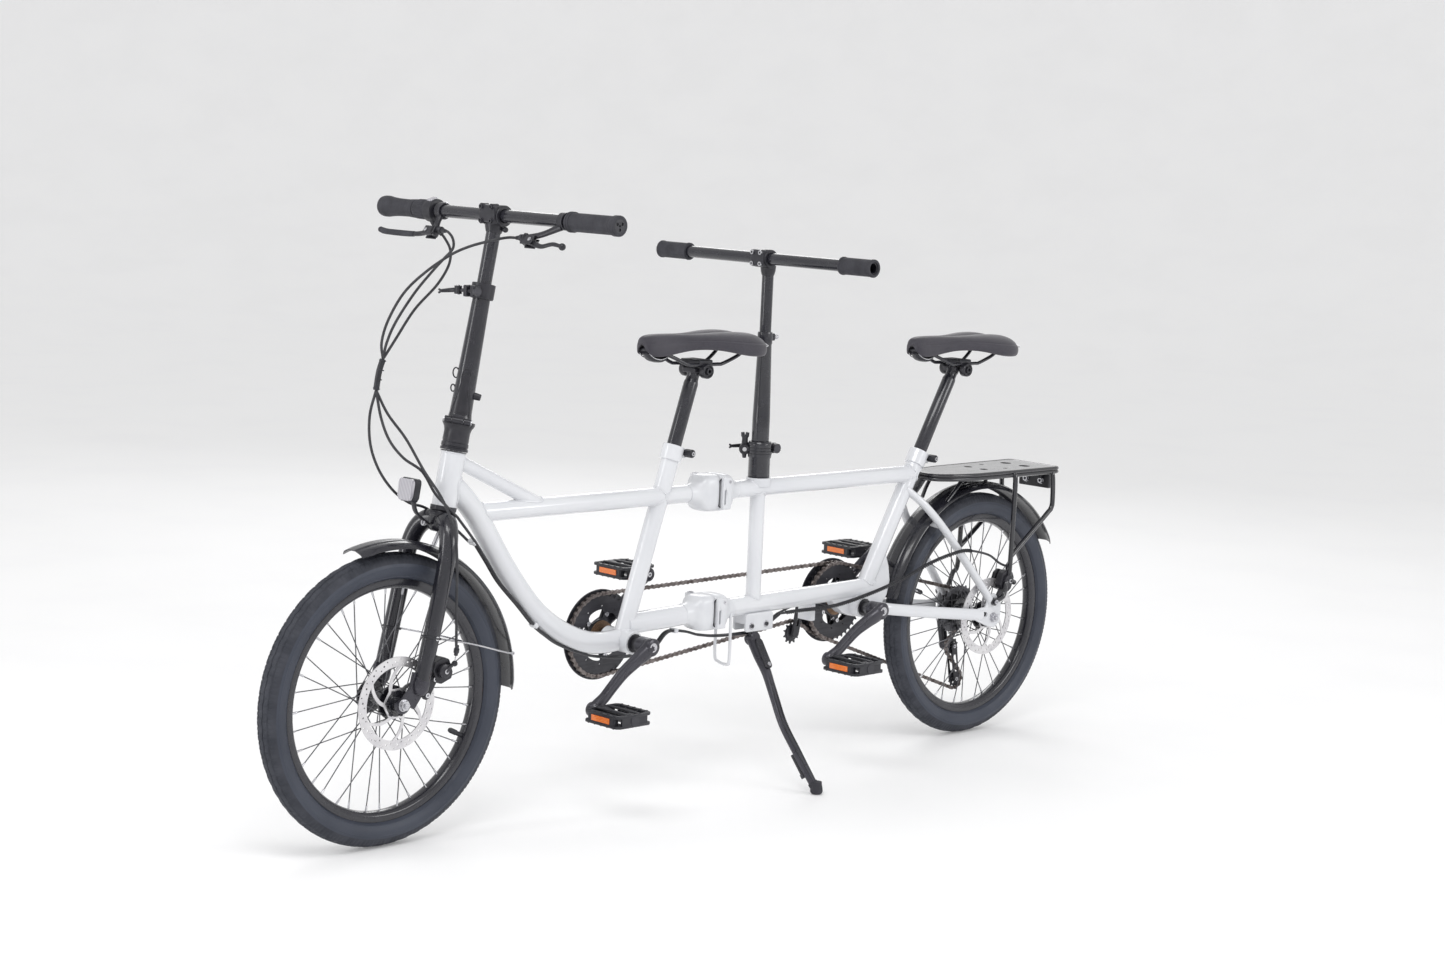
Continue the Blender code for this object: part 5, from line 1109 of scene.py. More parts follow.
def mudguards():
    front, rear = 0.2720, 0.2750
    piece("front_mudguard_skin", guard_skin(FRONT_AXLE, front, math.radians(74), math.radians(182), 72), "fork",
          GUARD_PLASTIC, "front_mudguard", crease=45)
    piece("rear_mudguard_skin", guard_skin(REAR_AXLE, rear, math.radians(12), math.radians(150.5), 96),
          "rear_frame", GUARD_PLASTIC, "rear_mudguard", crease=45)
    wires, ends = [], []
    for side in (1, -1):
        edge = polar(FRONT_AXLE, front - 0.0090, math.radians(167.5), side * 0.0300)
        route = [edge, (0.530, side * 0.0345, 0.314), (0.610, side * 0.0420, 0.338),
                 (0.7080, side * 0.0670, 0.362)]
        wires.append(sweep(smooth(route, 5), 0.0017, 10))
        ends.append(bolt(edge - LEFT * side * 0.0005, LEFT * side, 0.0036, 0.0030))
    piece("front_mudguard_stays", joined(wires), "fork", STEEL)
    piece("front_stay_bolts", joined(ends), "fork", STEEL)
    mount = math.radians(111)
    tab = [polar(FRONT_AXLE, front + 0.0006, mount), polar(FRONT_AXLE, front + 0.0140, mount),
           polar(FRONT_AXLE, 0.2985, mount + 0.01)]
    fixings = [rod(tab[0], tab[2], 0.0040), bolt(tab[0], -(tab[1] - tab[0]), 0.0060, 0.0030)]
    piece("front_mudguard_bolt", joined(fixings), "fork", STEEL)
    bolts = [rod(polar(REAR_AXLE, rear - 0.001, a), polar(REAR_AXLE, high, a), 0.0042)
             for a, high in ((math.radians(97), 0.2935), (math.radians(26), 0.3000))]
    piece("rear_mudguard_bolts", joined(bolts), "rear_frame", BLACK_CAST)


def caliper(label, body, centre, lean, rotor_y, tip, bracket, anchor):
    """A cable disc brake: a body split round the disc, its bolts, the sprung arm and the adjuster barrel."""
    tilt = Matrix.Rotation(lean, 3, "Y")
    matrix = Matrix.Translation(centre) @ tilt.to_4x4()
    halves = []
    for y, width in ((rotor_y + 0.0105, 0.0165), (rotor_y - 0.0065, 0.0090)):
        outline = [(-0.020, -0.012), (-0.014, -0.021), (0.010, -0.021), (0.018, -0.014), (0.018, 0.010),
                   (0.010, 0.020), (-0.010, 0.021), (-0.020, 0.012)]
        place = matrix @ Matrix.Translation((0, y - centre.y, 0)) @ upright((0, 0, 0))
        halves.append(slab(outline, width, place))
    piece(f"{label}_caliper_body", joined(halves), body, BLACK_CAST, f"{label}_caliper", bevel=0.0022)
    hub = matrix @ Vector((0.0, 0.0185, 0.0))
    head = [turn([(0, 0), (0.0125, 0), (0.0120, 0.0050), (0.0085, 0.0065), (0, 0.0065)], hub, LEFT, 36)]
    arm = sweep(smooth([hub + LEFT * 0.0045, (hub + tip) / 2 + LEFT * 0.0035 + UP * 0.003, tip], 5),
                [0.0062, 0.0048, 0.0036], 14, flat=0.7, up=LEFT)
    piece(f"{label}_caliper_arm", joined(head, arm, ball(tip, 0.0052, 16)), body, BLACK_CAST)
    adaptor = slab(stadium(*bracket[:2], 0.0075, 0.0080), 0.0042, upright(LEFT * bracket[2]))
    piece(f"{label}_caliper_bracket", adaptor, body, BLACK_CAST, bevel=0.0008)
    screws = []
    for x, z in bracket[:2]:
        screws.append(bolt((x, bracket[2] + 0.0021, z), LEFT, 0.0044, 0.0040))
    screws.append(bolt(hub + LEFT * 0.0065, LEFT, 0.0042, 0.0024))
    piece(f"{label}_caliper_bolts", joined(screws), body, STEEL)
    towards = (tip - anchor).normalized()
    barrel = joined(rod(anchor - towards * 0.010, anchor + towards * 0.008, 0.0034),
                    ribbed_knob(anchor - towards * 0.004, towards, 0.0048, 0.0070, 10))
    piece(f"{label}_cable_barrel", barrel, body, BLACK_CAST)
    piece(f"{label}_brake_wire", rod(anchor, tip, 0.0009, sides=10), body, STEEL)
    spring_place = hub + LEFT * 0.0015
    coil = [spring_place + Vector((0.0105 * math.cos(a), -0.0030 + 0.0006 * a / math.tau, 0.0105 * math.sin(a)))
            for a in [math.tau * k / 20 for k in range(45)]]
    piece(f"{label}_caliper_spring", sweep(coil, 0.0007, 8), body, STEEL)


def calipers():
    caliper("front", "fork", Vector((0.6830, 0.0390, 0.3020)), math.radians(20), 0.0359,
            Vector((0.6620, 0.0600, 0.3130)), ((0.6960, 0.2880), (0.7120, 0.2620), 0.0468),
            Vector((0.6640, 0.0660, 0.3360)))
    caliper("rear", "rear_frame", Vector((-0.8040, 0.0510, 0.3260)), math.radians(-20), 0.0500,
            Vector((-0.8320, 0.0640, 0.3190)), ((-0.8020, 0.3120), (-0.7880, 0.2900), 0.0595),
            Vector((-0.8100, 0.0640, 0.3500)))


def front_lamp():
    """A reflector lamp on a bent bracket in front of the head tube."""
    tilt = Matrix.Rotation(math.radians(-8), 4, "Y")
    place = Matrix.Translation((0.724, 0, 0.6075)) @ tilt
    outline = [(-0.0195, -0.0130), (-0.0150, -0.0205), (0.0150, -0.0205), (0.0195, -0.0130), (0.0205, 0.0110),
               (0.0195, 0.0165), (0.0155, 0.0195), (-0.0155, 0.0195), (-0.0195, 0.0165), (-0.0205, 0.0110)]
    across = Matrix(((0, 0, 1), (1, 0, 0), (0, 1, 0))).to_4x4()
    shell = slab(outline, 0.0130, place @ Matrix.Translation((-0.0035, 0, 0)) @ across)
    small = [(x * 0.93, y * 0.92) for x, y in outline]
    lens = slab(small, 0.0070, place @ Matrix.Translation((0.0055, 0, 0)) @ across)
    piece("lamp_lens", lens, "fork", LENS, bevel=0.0018)
    piece("lamp_shell", shell, "fork", BLACK_PLASTIC, "front_lamp", bevel=0.0016)
    route = [(0.7140, 0, 0.5990), (0.7120, 0, 0.5800), (0.7060, 0, 0.5660), (0.6900, 0, 0.5530),
             (0.6800, 0, 0.5460)]
    bracket = sweep(smooth(route, 6), 0.0062, 16, flat=0.35, up=LEFT)
    piece("lamp_bracket", bracket, "fork", BLACK_CAST)
    foot = Vector((0.6870, 0, 0.5480))
    nose = Vector((0.97, 0, 0.2))
    piece("lamp_bolt", bolt(foot, nose, 0.0052, 0.0050), "fork", STEEL)
    piece("lamp_screw", bolt((0.7150, 0, 0.5900), (1, 0, 0), 0.0034, 0.0050), "fork", STEEL)


# Folding stem, bar and controls

STEER_FRONT = LEFT.cross(STEER_UP)
STEM_FOLD_WAY = (STEER_FRONT + LEFT).normalized()
BAR_RADIUS = 0.0111


def on_post(height, radius, turn_left):
    """A point round the steering axis: turn_left is measured from straight ahead."""
    a = math.radians(turn_left)
    return on_steering(height) + radius * (STEER_FRONT * math.cos(a) + LEFT * math.sin(a))


def post_radius(height):
    """The stem post tapers from its foot to its collar."""
    if height < 0.776:
        return 0.0195 - 0.0015 * (height - 0.718) / 0.058
    return 0.0180 - 0.0028 * (height - 0.776) / 0.150


def raised_rim(points, thickness, lift=0.0002):
    """A bead that follows the post's surface through (degrees left of ahead, height) points."""
    known = smooth([(turn_left, height, 0) for turn_left, height in points], 6)
    return sweep([on_post(p.y, post_radius(p.y) + lift, p.x) for p in known], thickness, 8)


def post_patch(rows, lift, sink=0.002):
    """A panel on the post's surface, from (height, degrees left, degrees right) rows about the fold's side."""
    rings, count = [], 13
    for height, low, high in rows:
        turns = [low + (high - low) * k / (count - 1) for k in range(count)]
        outer = [on_post(height, post_radius(height) + lift, a) for a in turns]
        inner = [on_post(height, post_radius(height) - sink, a) for a in reversed(turns)]
        rings.append(outer + inner)
    return loft(rings)


def stem_base():
    low, high = HEAD_TOP + 0.001, STEM_BASE_TOP
    middle = (on_steering(low) + on_steering(high)) / 2
    half = (on_steering(high) - on_steering(low)).length / 2
    profile = [(0.0152, half), (0.0272, half), (0.0280, half - 0.0010), (0.0280, half - 0.0052),
               (0.0268, half - 0.0072), (0.0240, half - 0.0120), (0.0225, half - 0.0180),
               (0.0224, half - 0.0260),
               (0.0228, -half + 0.0170), (0.0222, -half + 0.0160), (0.0222, -half + 0.0140),
               (0.0233, -half + 0.0130),
               (0.0236, -half + 0.0075), (0.0226, -half + 0.0066), (0.0226, -half + 0.0052),
               (0.0240, -half + 0.0042), (0.0240, -half + 0.0006), (0.0234, -half), (0.0152, -half)]
    piece("stem_base_body", turn(profile, middle, STEER_UP, 72, closed=True), "fork", BLACK_CAST, "stem_base")
    ears = []
    for side in (1, -1):
        inner = STEM_HINGE + STEM_HINGE_AXIS * side * 0.0106
        ears.append(rod(inner, inner + STEM_HINGE_AXIS * side * 0.0120, 0.0058, sides=32))
        ears.append(block((0.010, 0.0110, 0.0080),
                          inner + STEM_HINGE_AXIS * side * 0.0062 - STEM_FOLD_WAY * 0.0050
                          - STEER_UP * 0.0030, facing(STEER_UP, STEM_FOLD_WAY).to_3x3()))
    piece("stem_base_ears", joined(ears), "fork", BLACK_CAST, bevel=0.0010)
    pin = STEM_HINGE_AXIS * 0.0235
    heads = [bolt(STEM_HINGE + STEM_HINGE_AXIS * side * 0.0224, STEM_HINGE_AXIS * side, 0.0044, 0.0016)
             for side in (1, -1)]
    piece("stem_hinge_pin", joined(rod(STEM_HINGE - pin, STEM_HINGE + pin, 0.0028), heads), "fork", STEEL)
    plug = turn([(0, 0), (0.0120, 0), (0.0120, 0.0040), (0.0060, 0.0060), (0, 0.0060)],
                on_steering(0.7030), STEER_UP, 36)
    piece("steerer_bolt", plug, "fork", DARK_STEEL)


def stem_post():
    body = "stem_post"
    low, top = STEM_BASE_TOP + 0.0003, STEM_COLLAR - 0.0125
    stations = [low + (top - low) * k / 30 for k in range(31)]
    middle = on_steering(low)
    up = 1 / STEER_UP.z
    outer = [(post_radius(h) + (0.0022 if k == 0 else 0.0008 if k == 1 else 0), (h - low) * up)
             for k, h in enumerate(stations)]
    profile = [(0.0130, 0)] + outer + [(0.0130, (top - low) * up)]
    piece("stem_post_tube", turn(profile, middle, STEER_UP, 72, closed=True), body, BLACK_TUBE, "stem_post",
          crease=50)
    tear = [(-12, 0.7215), (-4, 0.7400), (12, 0.7600), (22, 0.7800), (20, 0.7940), (30, 0.8030), (45, 0.8060),
            (60, 0.8030), (70, 0.7940), (68, 0.7800), (78, 0.7600), (94, 0.7400), (102, 0.7215)]
    piece("stem_recess_rim", raised_rim(tear, 0.0011), body, BLACK_CAST)
    rows = [(0.7220, -10, 100), (0.7400, -2, 92), (0.7600, 14, 76), (0.7800, 24, 66), (0.7900, 22, 68),
            (0.7935, 22, 68)]
    piece("stem_recess_panel", post_patch(rows, 0.0003), body, BLACK_CAST)
    cap = [(0.7960, 26, 64), (0.8000, 28, 62), (0.8035, 36, 54)]
    piece("stem_recess_button", post_patch(cap, 0.0012), body, BLACK_PLASTIC)
    lug = rod(STEM_HINGE - STEM_HINGE_AXIS * 0.0100, STEM_HINGE + STEM_HINGE_AXIS * 0.0100, 0.0058, sides=32)
    foot = block((0.026, 0.0195, 0.0095), STEM_HINGE - STEM_FOLD_WAY * 0.0110 + STEER_UP * 0.0053,
                 facing(STEER_UP, STEM_FOLD_WAY).to_3x3())
    piece("stem_post_lug", joined(lug, foot), body, BLACK_CAST, bevel=0.0012)
    loops = []
    for height, size in ((0.797, 0.0085), (0.771, 0.0060)):
        place = on_post(height, post_radius(height) + 0.0026, -48)
        ring = [place + Vector((size * 0.42 * math.cos(a), -size * 0.42 * math.cos(a), size * math.sin(a)))
                for a in [math.tau * k / 24 for k in range(24)]]
        loops.append(sweep(ring, 0.0012, 8, closed=True))
    piece("stem_cable_eyes", joined(loops), body, BLACK_CAST)
    ear_root = on_post(0.7640, post_radius(0.764) - 0.004, 132)
    ear_tip = on_post(0.7625, post_radius(0.764) + 0.0110, 132)
    piece("stem_hook", sweep([ear_root, ear_tip], [0.0066, 0.0056], 20, flat=0.72, up=STEER_UP), body,
          BLACK_CAST, bevel=0.0012)
    piece("stem_collar",
          pipe(on_steering(STEM_COLLAR - 0.0120), on_steering(STEM_COLLAR + 0.0120), 0.0205, 0.0128),
          body, BLACK_CAST)
    band = hoop(on_steering(STEM_COLLAR - 0.0125), STEER_UP, 0.0188, 0.0014, 64)
    piece("stem_collar_band", band, body, BLACK_PLASTIC)
    ears = [block((0.0180, 0.0090, 0.0200), on_steering(STEM_COLLAR) + Vector((0.0240, side * 0.0090, 0)))
            for side in (1, -1)]
    piece("stem_collar_ears", joined(ears), body, BLACK_CAST, bevel=0.0020)
    through = on_steering(STEM_COLLAR) + Vector((0.0270, 0, 0))
    piece("stem_collar_bolt", joined(rod(through + LEFT * 0.0190, through - LEFT * 0.0232, 0.0034),
                                     ribbed_knob(through + LEFT * 0.0137, LEFT, 0.0074, 0.0070, 12)),
          body, BLACK_CAST)


def quick_lever(label, body, node, pivot, tip, width, radius, look_of):
    """A quick release lever: an eccentric cam with flutes, and a thin curved arm with a forked end."""
    cam = ribbed_knob(pivot - UP * width / 2, UP, radius, width, 10)
    middle = (pivot + tip) / 2 + (tip - pivot).cross(UP).normalized() * 0.0035
    arm = sweep(smooth([pivot, middle, tip], 6), [radius * 0.62, radius * 0.58, radius * 0.42], 18, flat=0.7,
                up=UP)
    along = (tip - pivot).normalized()
    prongs = [sweep([tip - along * 0.004, tip + UP * side * 0.0032 + along * 0.0020], [0.0022, 0.0018], 10)
              for side in (1, -1)]
    piece(f"{label}_arm", joined(cam, arm, prongs), body, look_of, node, bevel=0.0004)
    pins = [bolt(pivot + UP * side * width / 2, UP * side, radius * 0.5, 0.0012) for side in (1, -1)]
    piece(f"{label}_pin", joined(pins), body, STEEL)


def cockpit_levers():
    tip = STEM_LEVER_PIVOT + Vector((0.016, -0.030, -0.004))
    quick_lever("stem_lever", "stem_lever", "stem_lever", STEM_LEVER_PIVOT, tip, 0.014, 0.0066, BLACK_PLASTIC)
    tip = STOKER_LEVER_PIVOT + Vector((0.058, -0.014, 0))
    quick_lever("stoker_lever", "stoker_lever", "stoker_lever", STOKER_LEVER_PIVOT, tip, 0.016, 0.0070,
                BLACK_CAST)


def stem_riser():
    body = "handlebar"
    riser = rod(on_steering(0.800), on_steering(1.0590), 0.0125, sides=48)
    piece("riser_tube", riser, body, BLACK_TUBE, "stem_riser")
    half = LEFT * 0.0220
    clamp = pipe(BAR_CENTRE - half, BAR_CENTRE + half, 0.0182, 0.0113, 56)
    neck = loft([circle_at(on_steering(1.0380), STEER_UP, 0.0135),
                 circle_at(on_steering(1.0470), STEER_UP, 0.0165),
                 circle_at(on_steering(1.0560), STEER_UP, 0.0172)])
    piece("bar_clamp", joined(clamp, neck), body, BLACK_CAST, crease=45)
    plate = block((0.0110, 0.0400, 0.0300), BAR_CENTRE + Vector((0.0175, 0, 0.0035)))
    piece("bar_clamp_plate", plate, body, BLACK_CAST, bevel=0.0032)
    screws, collars = [], []
    for side in (1, -1):
        for rise in (0.0150, -0.0085):
            foot = BAR_CENTRE + Vector((0.0200, side * 0.0130, rise))
            screws.append(bolt(foot, FORWARDS, 0.0040, 0.0060))
            collars.append(rod(foot - FORWARDS * 0.010, foot + FORWARDS * 0.0035, 0.0058))
    piece("bar_clamp_bolts", joined(screws), body, BLACK_CAST)
    piece("bar_clamp_bosses", joined(collars), body, BLACK_CAST)
    knob_root = BAR_CENTRE + Vector((-0.0020, 0.0090, -0.0230))
    knob = joined(rod(knob_root, knob_root + LEFT * 0.0120, 0.0030), ball(knob_root + LEFT * 0.0130, 0.0050))
    piece("bar_clamp_knob", knob, body, BLACK_PLASTIC)


def circle_at(place, axis, radius, count=40):
    frame_of = facing(axis, LEFT, place)
    return [frame_of @ Vector((radius * math.cos(a), radius * math.sin(a), 0))
            for a in [math.tau * k / count for k in range(count)]]


LEVER_OUT = Vector((0.0265, 0, -0.0370)).normalized()
LEVER_AXIS = Vector((LEVER_OUT.z, 0, -LEVER_OUT.x))


def perch(label, ring_y, pivot):
    """A brake lever's bracket: the clamp on the bar, the arm to the pivot, its cheeks and the cable barrel."""
    body = "handlebar"
    inward = Vector((0, -1 if ring_y > 0 else 1, 0))
    ring_centre = BAR_CENTRE + LEFT * ring_y
    turn_by = facing(LEVER_AXIS, LEVER_OUT).to_3x3()
    clamp = pipe(ring_centre - LEFT * 0.0065, ring_centre + LEFT * 0.0065, 0.0150, 0.0113)
    behind = pivot + inward * 0.0180 - LEVER_OUT * 0.0070
    neck = sweep(smooth([ring_centre + LEVER_OUT * 0.0105, (ring_centre + LEVER_OUT * 0.0190 + behind) / 2,
                         behind],
                        6), [0.0078, 0.0060, 0.0056, 0.0060], 20, flat=0.75, up=LEFT)
    boss = block((0.0180, 0.0080, 0.0150), pivot + inward * 0.0175 - LEVER_OUT * 0.0030, turn_by)
    cheeks = [block((0.0180, 0.0260, 0.0026), pivot + inward * 0.0065 + LEVER_AXIS * side * 0.0062, turn_by)
              for side in (1, -1)]
    piece(f"{label}_perch", joined(clamp, neck, boss, cheeks), body, BLACK_CAST, bevel=0.0010)
    root = behind + inward * 0.0020
    tip = behind + inward * 0.0260 + LEVER_OUT * 0.0020
    barrel = joined(sweep([root, root + (tip - root) * 0.45, tip], [0.0058, 0.0050, 0.0032], 24),
                    ribbed_knob(root + (tip - root) * 0.30, tip - root, 0.0062, 0.0060, 14))
    piece(f"{label}_perch_barrel", barrel, body, BLACK_PLASTIC)
    clamp_bolt = bolt(ring_centre - LEVER_OUT * 0.0135, -LEVER_OUT, 0.0036, 0.0030)
    pin = joined(rod(pivot - LEVER_AXIS * 0.0078, pivot + LEVER_AXIS * 0.0078, 0.0024),
                 bolt(pivot - LEVER_AXIS * 0.0075, -LEVER_AXIS, 0.0036, 0.0014))
    piece(f"{label}_perch_bolts", joined(clamp_bolt, pin), body, STEEL)


def lever_boss(pivot):
    return rod(pivot - LEVER_AXIS * 0.0044, pivot + LEVER_AXIS * 0.0044, 0.0065, sides=28)


def brake_levers():
    perch("left", 0.175, LEFT_LEVER_PIVOT)
    perch("right", -0.145, RIGHT_LEVER_PIVOT)
    pivot = LEFT_LEVER_PIVOT
    route = [pivot, pivot + LEFT * 0.014 + LEVER_OUT * 0.0050, pivot + LEFT * 0.030 + LEVER_OUT * 0.0070,
             pivot + LEFT * 0.050 + LEVER_OUT * 0.0010, pivot + LEFT * 0.066 + LEVER_OUT * 0.0020,
             pivot + LEFT * 0.078 + LEVER_OUT * 0.0040]
    blade = sweep(smooth(route, 5), [0.0058, 0.0048, 0.0042, 0.0040, 0.0036, 0.0036], 20, flat=0.72,
                  up=LEVER_OUT)
    boss = lever_boss(pivot)
    piece("left_lever_blade", joined(blade, boss, ball(route[-1], 0.0062)), "left_brake_lever", BLACK_CAST,
          "left_brake_lever")
    pivot = RIGHT_LEVER_PIVOT
    route = [pivot, pivot - LEFT * 0.020 + LEVER_OUT * 0.0050, pivot - LEFT * 0.045 + LEVER_OUT * 0.0070,
             pivot - LEFT * 0.085 + LEVER_OUT * 0.0072, pivot - LEFT * 0.115 + LEVER_OUT * 0.0065,
             pivot - LEFT * 0.130 + LEVER_OUT * 0.0040]
    line = smooth(route, 5)
    steel = sweep(line[:9], [0.0056, 0.0050, 0.0046], 20, flat=0.72, up=LEVER_OUT)
    boss = lever_boss(pivot)
    piece("right_lever_blade", joined(steel, boss), "right_brake_lever", BLACK_CAST, "right_brake_lever")
    sleeve = sweep(line[8:], [0.0052, 0.0056, 0.0056, 0.0054, 0.0056, 0.0050], 20, flat=0.80, up=LEVER_OUT)
    piece("right_lever_sleeve", joined(sleeve, ball(route[-1], 0.0052)), "right_brake_lever", GRIP_RUBBER)


def sleeve(centre, stations, bore=0.0114, steps=56):
    """A grip or a shell on the bar, from (distance, radius) stations."""
    side = 1 if stations[-1][0] > stations[0][0] else -1
    ordered = stations if side > 0 else stations[::-1]
    profile = [(bore, ordered[0][0])] + [(r, y) for y, r in ordered] + [(bore, ordered[-1][0])]
    return turn(profile, centre, LEFT, steps, closed=True)


def end_cap(centre, side, reach, radius, lobes=True):
    """The plug in a grip's end, with three lobed holes round a middle one."""
    holes = []
    if lobes:
        for k in range(3):
            a = math.tau * k / 3 + 0.5
            holes.append(circle(radius * 0.17, 12, (radius * 0.40 * math.cos(a), radius * 0.40 * math.sin(a))))
        holes.append(circle(radius * 0.12, 12))
    place = Vector(centre) + LEFT * side * reach
    face = slab(circle(radius, 40), 0.0016, upright(place - LEFT * side * 0.0008), holes)
    return joined(face,
                  rod(place - LEFT * side * 0.0060, place - LEFT * side * 0.0020, radius * 0.97, sides=40))


def grips():
    body = "handlebar"
    reach = LEFT * 0.3060
    bar = rod(BAR_CENTRE - reach, BAR_CENTRE + reach, BAR_RADIUS, sides=48)
    piece("handlebar_tube", bar, body, BLACK_TUBE, "handlebar")
    grooves = [(0.2025 + 0.0900 * k / 44, 0.0158 - 0.0004 * (k % 2)) for k in range(45)]
    left = [(0.1900, 0.0168), (0.1910, 0.0175), (0.1935, 0.0175), (0.1945, 0.0160), (0.1965, 0.0160),
            (0.1975, 0.0174), (0.1990, 0.0174), (0.2000, 0.0156)] + grooves
    left += [(0.2950, 0.0160), (0.2962, 0.0152), (0.2974, 0.0168), (0.3000, 0.0174), (0.3085, 0.0174),
             (0.3098, 0.0164)]
    piece("left_grip_sleeve", sleeve(BAR_CENTRE, left), body, GRIP_RUBBER, "left_grip", crease=25)
    piece("left_grip_cap", end_cap(BAR_CENTRE, 1, 0.3096, 0.0158), body, BLACK_PLASTIC)
    right = [(-0.2145, 0.0162), (-0.2160, 0.0165), (-0.2300, 0.0158)]
    right += [(-0.2330 - 0.0600 * k / 40,
               0.0154 + 0.0032 * (k / 40) ** 3 - 0.0003 * (k % 2)) for k in range(41)]
    right += [(-0.2960, 0.0187), (-0.3030, 0.0186), (-0.3080, 0.0176), (-0.3098, 0.0158)]
    piece("right_grip_sleeve", sleeve(BAR_CENTRE, right), body, GRIP_RUBBER, "right_grip", crease=25)
    piece("right_grip_cap", end_cap(BAR_CENTRE, -1, 0.3096, 0.0150, False), body, BLACK_PLASTIC)
    shell = [(-0.1780, 0.0172), (-0.1790, 0.0178), (-0.1815, 0.0178), (-0.1825, 0.0170), (-0.2125, 0.0166),
             (-0.2134, 0.0156)]
    fins = []
    for k in range(24):
        a = math.tau * k / 24
        out = Vector((math.cos(a), 0, math.sin(a)))
        fins.append(sweep([BAR_CENTRE + out * 0.0168 - LEFT * 0.1860,
                           BAR_CENTRE + out * 0.0164 - LEFT * 0.2100],
                          0.0009, 6))
    piece("twist_sleeve", joined(sleeve(BAR_CENTRE, shell), fins), "twist_shifter", GRIP_RUBBER,
          "twist_shifter", crease=30)
    housing = [(-0.1575, 0.0165), (-0.1590, 0.0196), (-0.1640, 0.0206), (-0.1730, 0.0214), (-0.1765, 0.0210),
               (-0.1775, 0.0185)]
    piece("twist_housing", sleeve(BAR_CENTRE, housing), "handlebar", BLACK_PLASTIC)
    window = block((0.0160, 0.0120, 0.0050), BAR_CENTRE + Vector((0.0060, -0.1675, 0.0190)),
                   Matrix.Rotation(math.radians(17), 3, "Y"))
    piece("gear_window", window, "handlebar", LENS, bevel=0.0018)
    nose = sweep(smooth([BAR_CENTRE + Vector((0.004, -0.1660, -0.0160)),
                         BAR_CENTRE + Vector((0.000, -0.1600, -0.030)),
                         BAR_CENTRE + Vector((-0.006, -0.1520, -0.0420))], 5), [0.0070, 0.0055, 0.0036], 20)
    piece("twist_cable_nose", nose, "handlebar", BLACK_PLASTIC)


# Cables


def tube_along(route, radius, steps=6, sides=12):
    return sweep(smooth(route, steps), radius, sides)


def spiral(path, radius, wire, pitch):
    """A wrap wound round a path."""
    length = sum((b - a).length for a, b in zip(path, path[1:]))
    turns, along, coil = length / pitch, 0.0, []
    per_turn = 14
    count = int(turns * per_turn)
    places = [0.0]
    for a, b in zip(path, path[1:]):
        places.append(places[-1] + (b - a).length)
    side = None
    for k in range(count + 1):
        along = length * k / count
        index = max(i for i in range(len(places) - 1) if places[i] <= along + 1e-9)
        t = (along - places[index]) / max(1e-9, places[index + 1] - places[index])
        here = path[index].lerp(path[index + 1], min(1, t))
        heading = (path[index + 1] - path[index]).normalized()
        side = heading.orthogonal() if side is None else side
        side = (side - heading * heading.dot(side)).normalized()
        a = math.tau * k / per_turn
        coil.append(here + radius * (side * math.cos(a) + heading.cross(side) * math.sin(a)))
    return sweep(coil, wire, 6)


def bent_piece(name, shape, look_of, replaces=()):
    """A cable that crosses a joint: it is made in place in world coordinates and rides on no body."""
    obj = piece(name, shape, None, look_of, replaces, crease=60)
    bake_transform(obj)
    return obj


CABLE_RADIUS = 0.0024
WRAP_TOP, WRAP_FOOT = (0.741, -0.058, 0.822), (0.752, -0.060, 0.770)


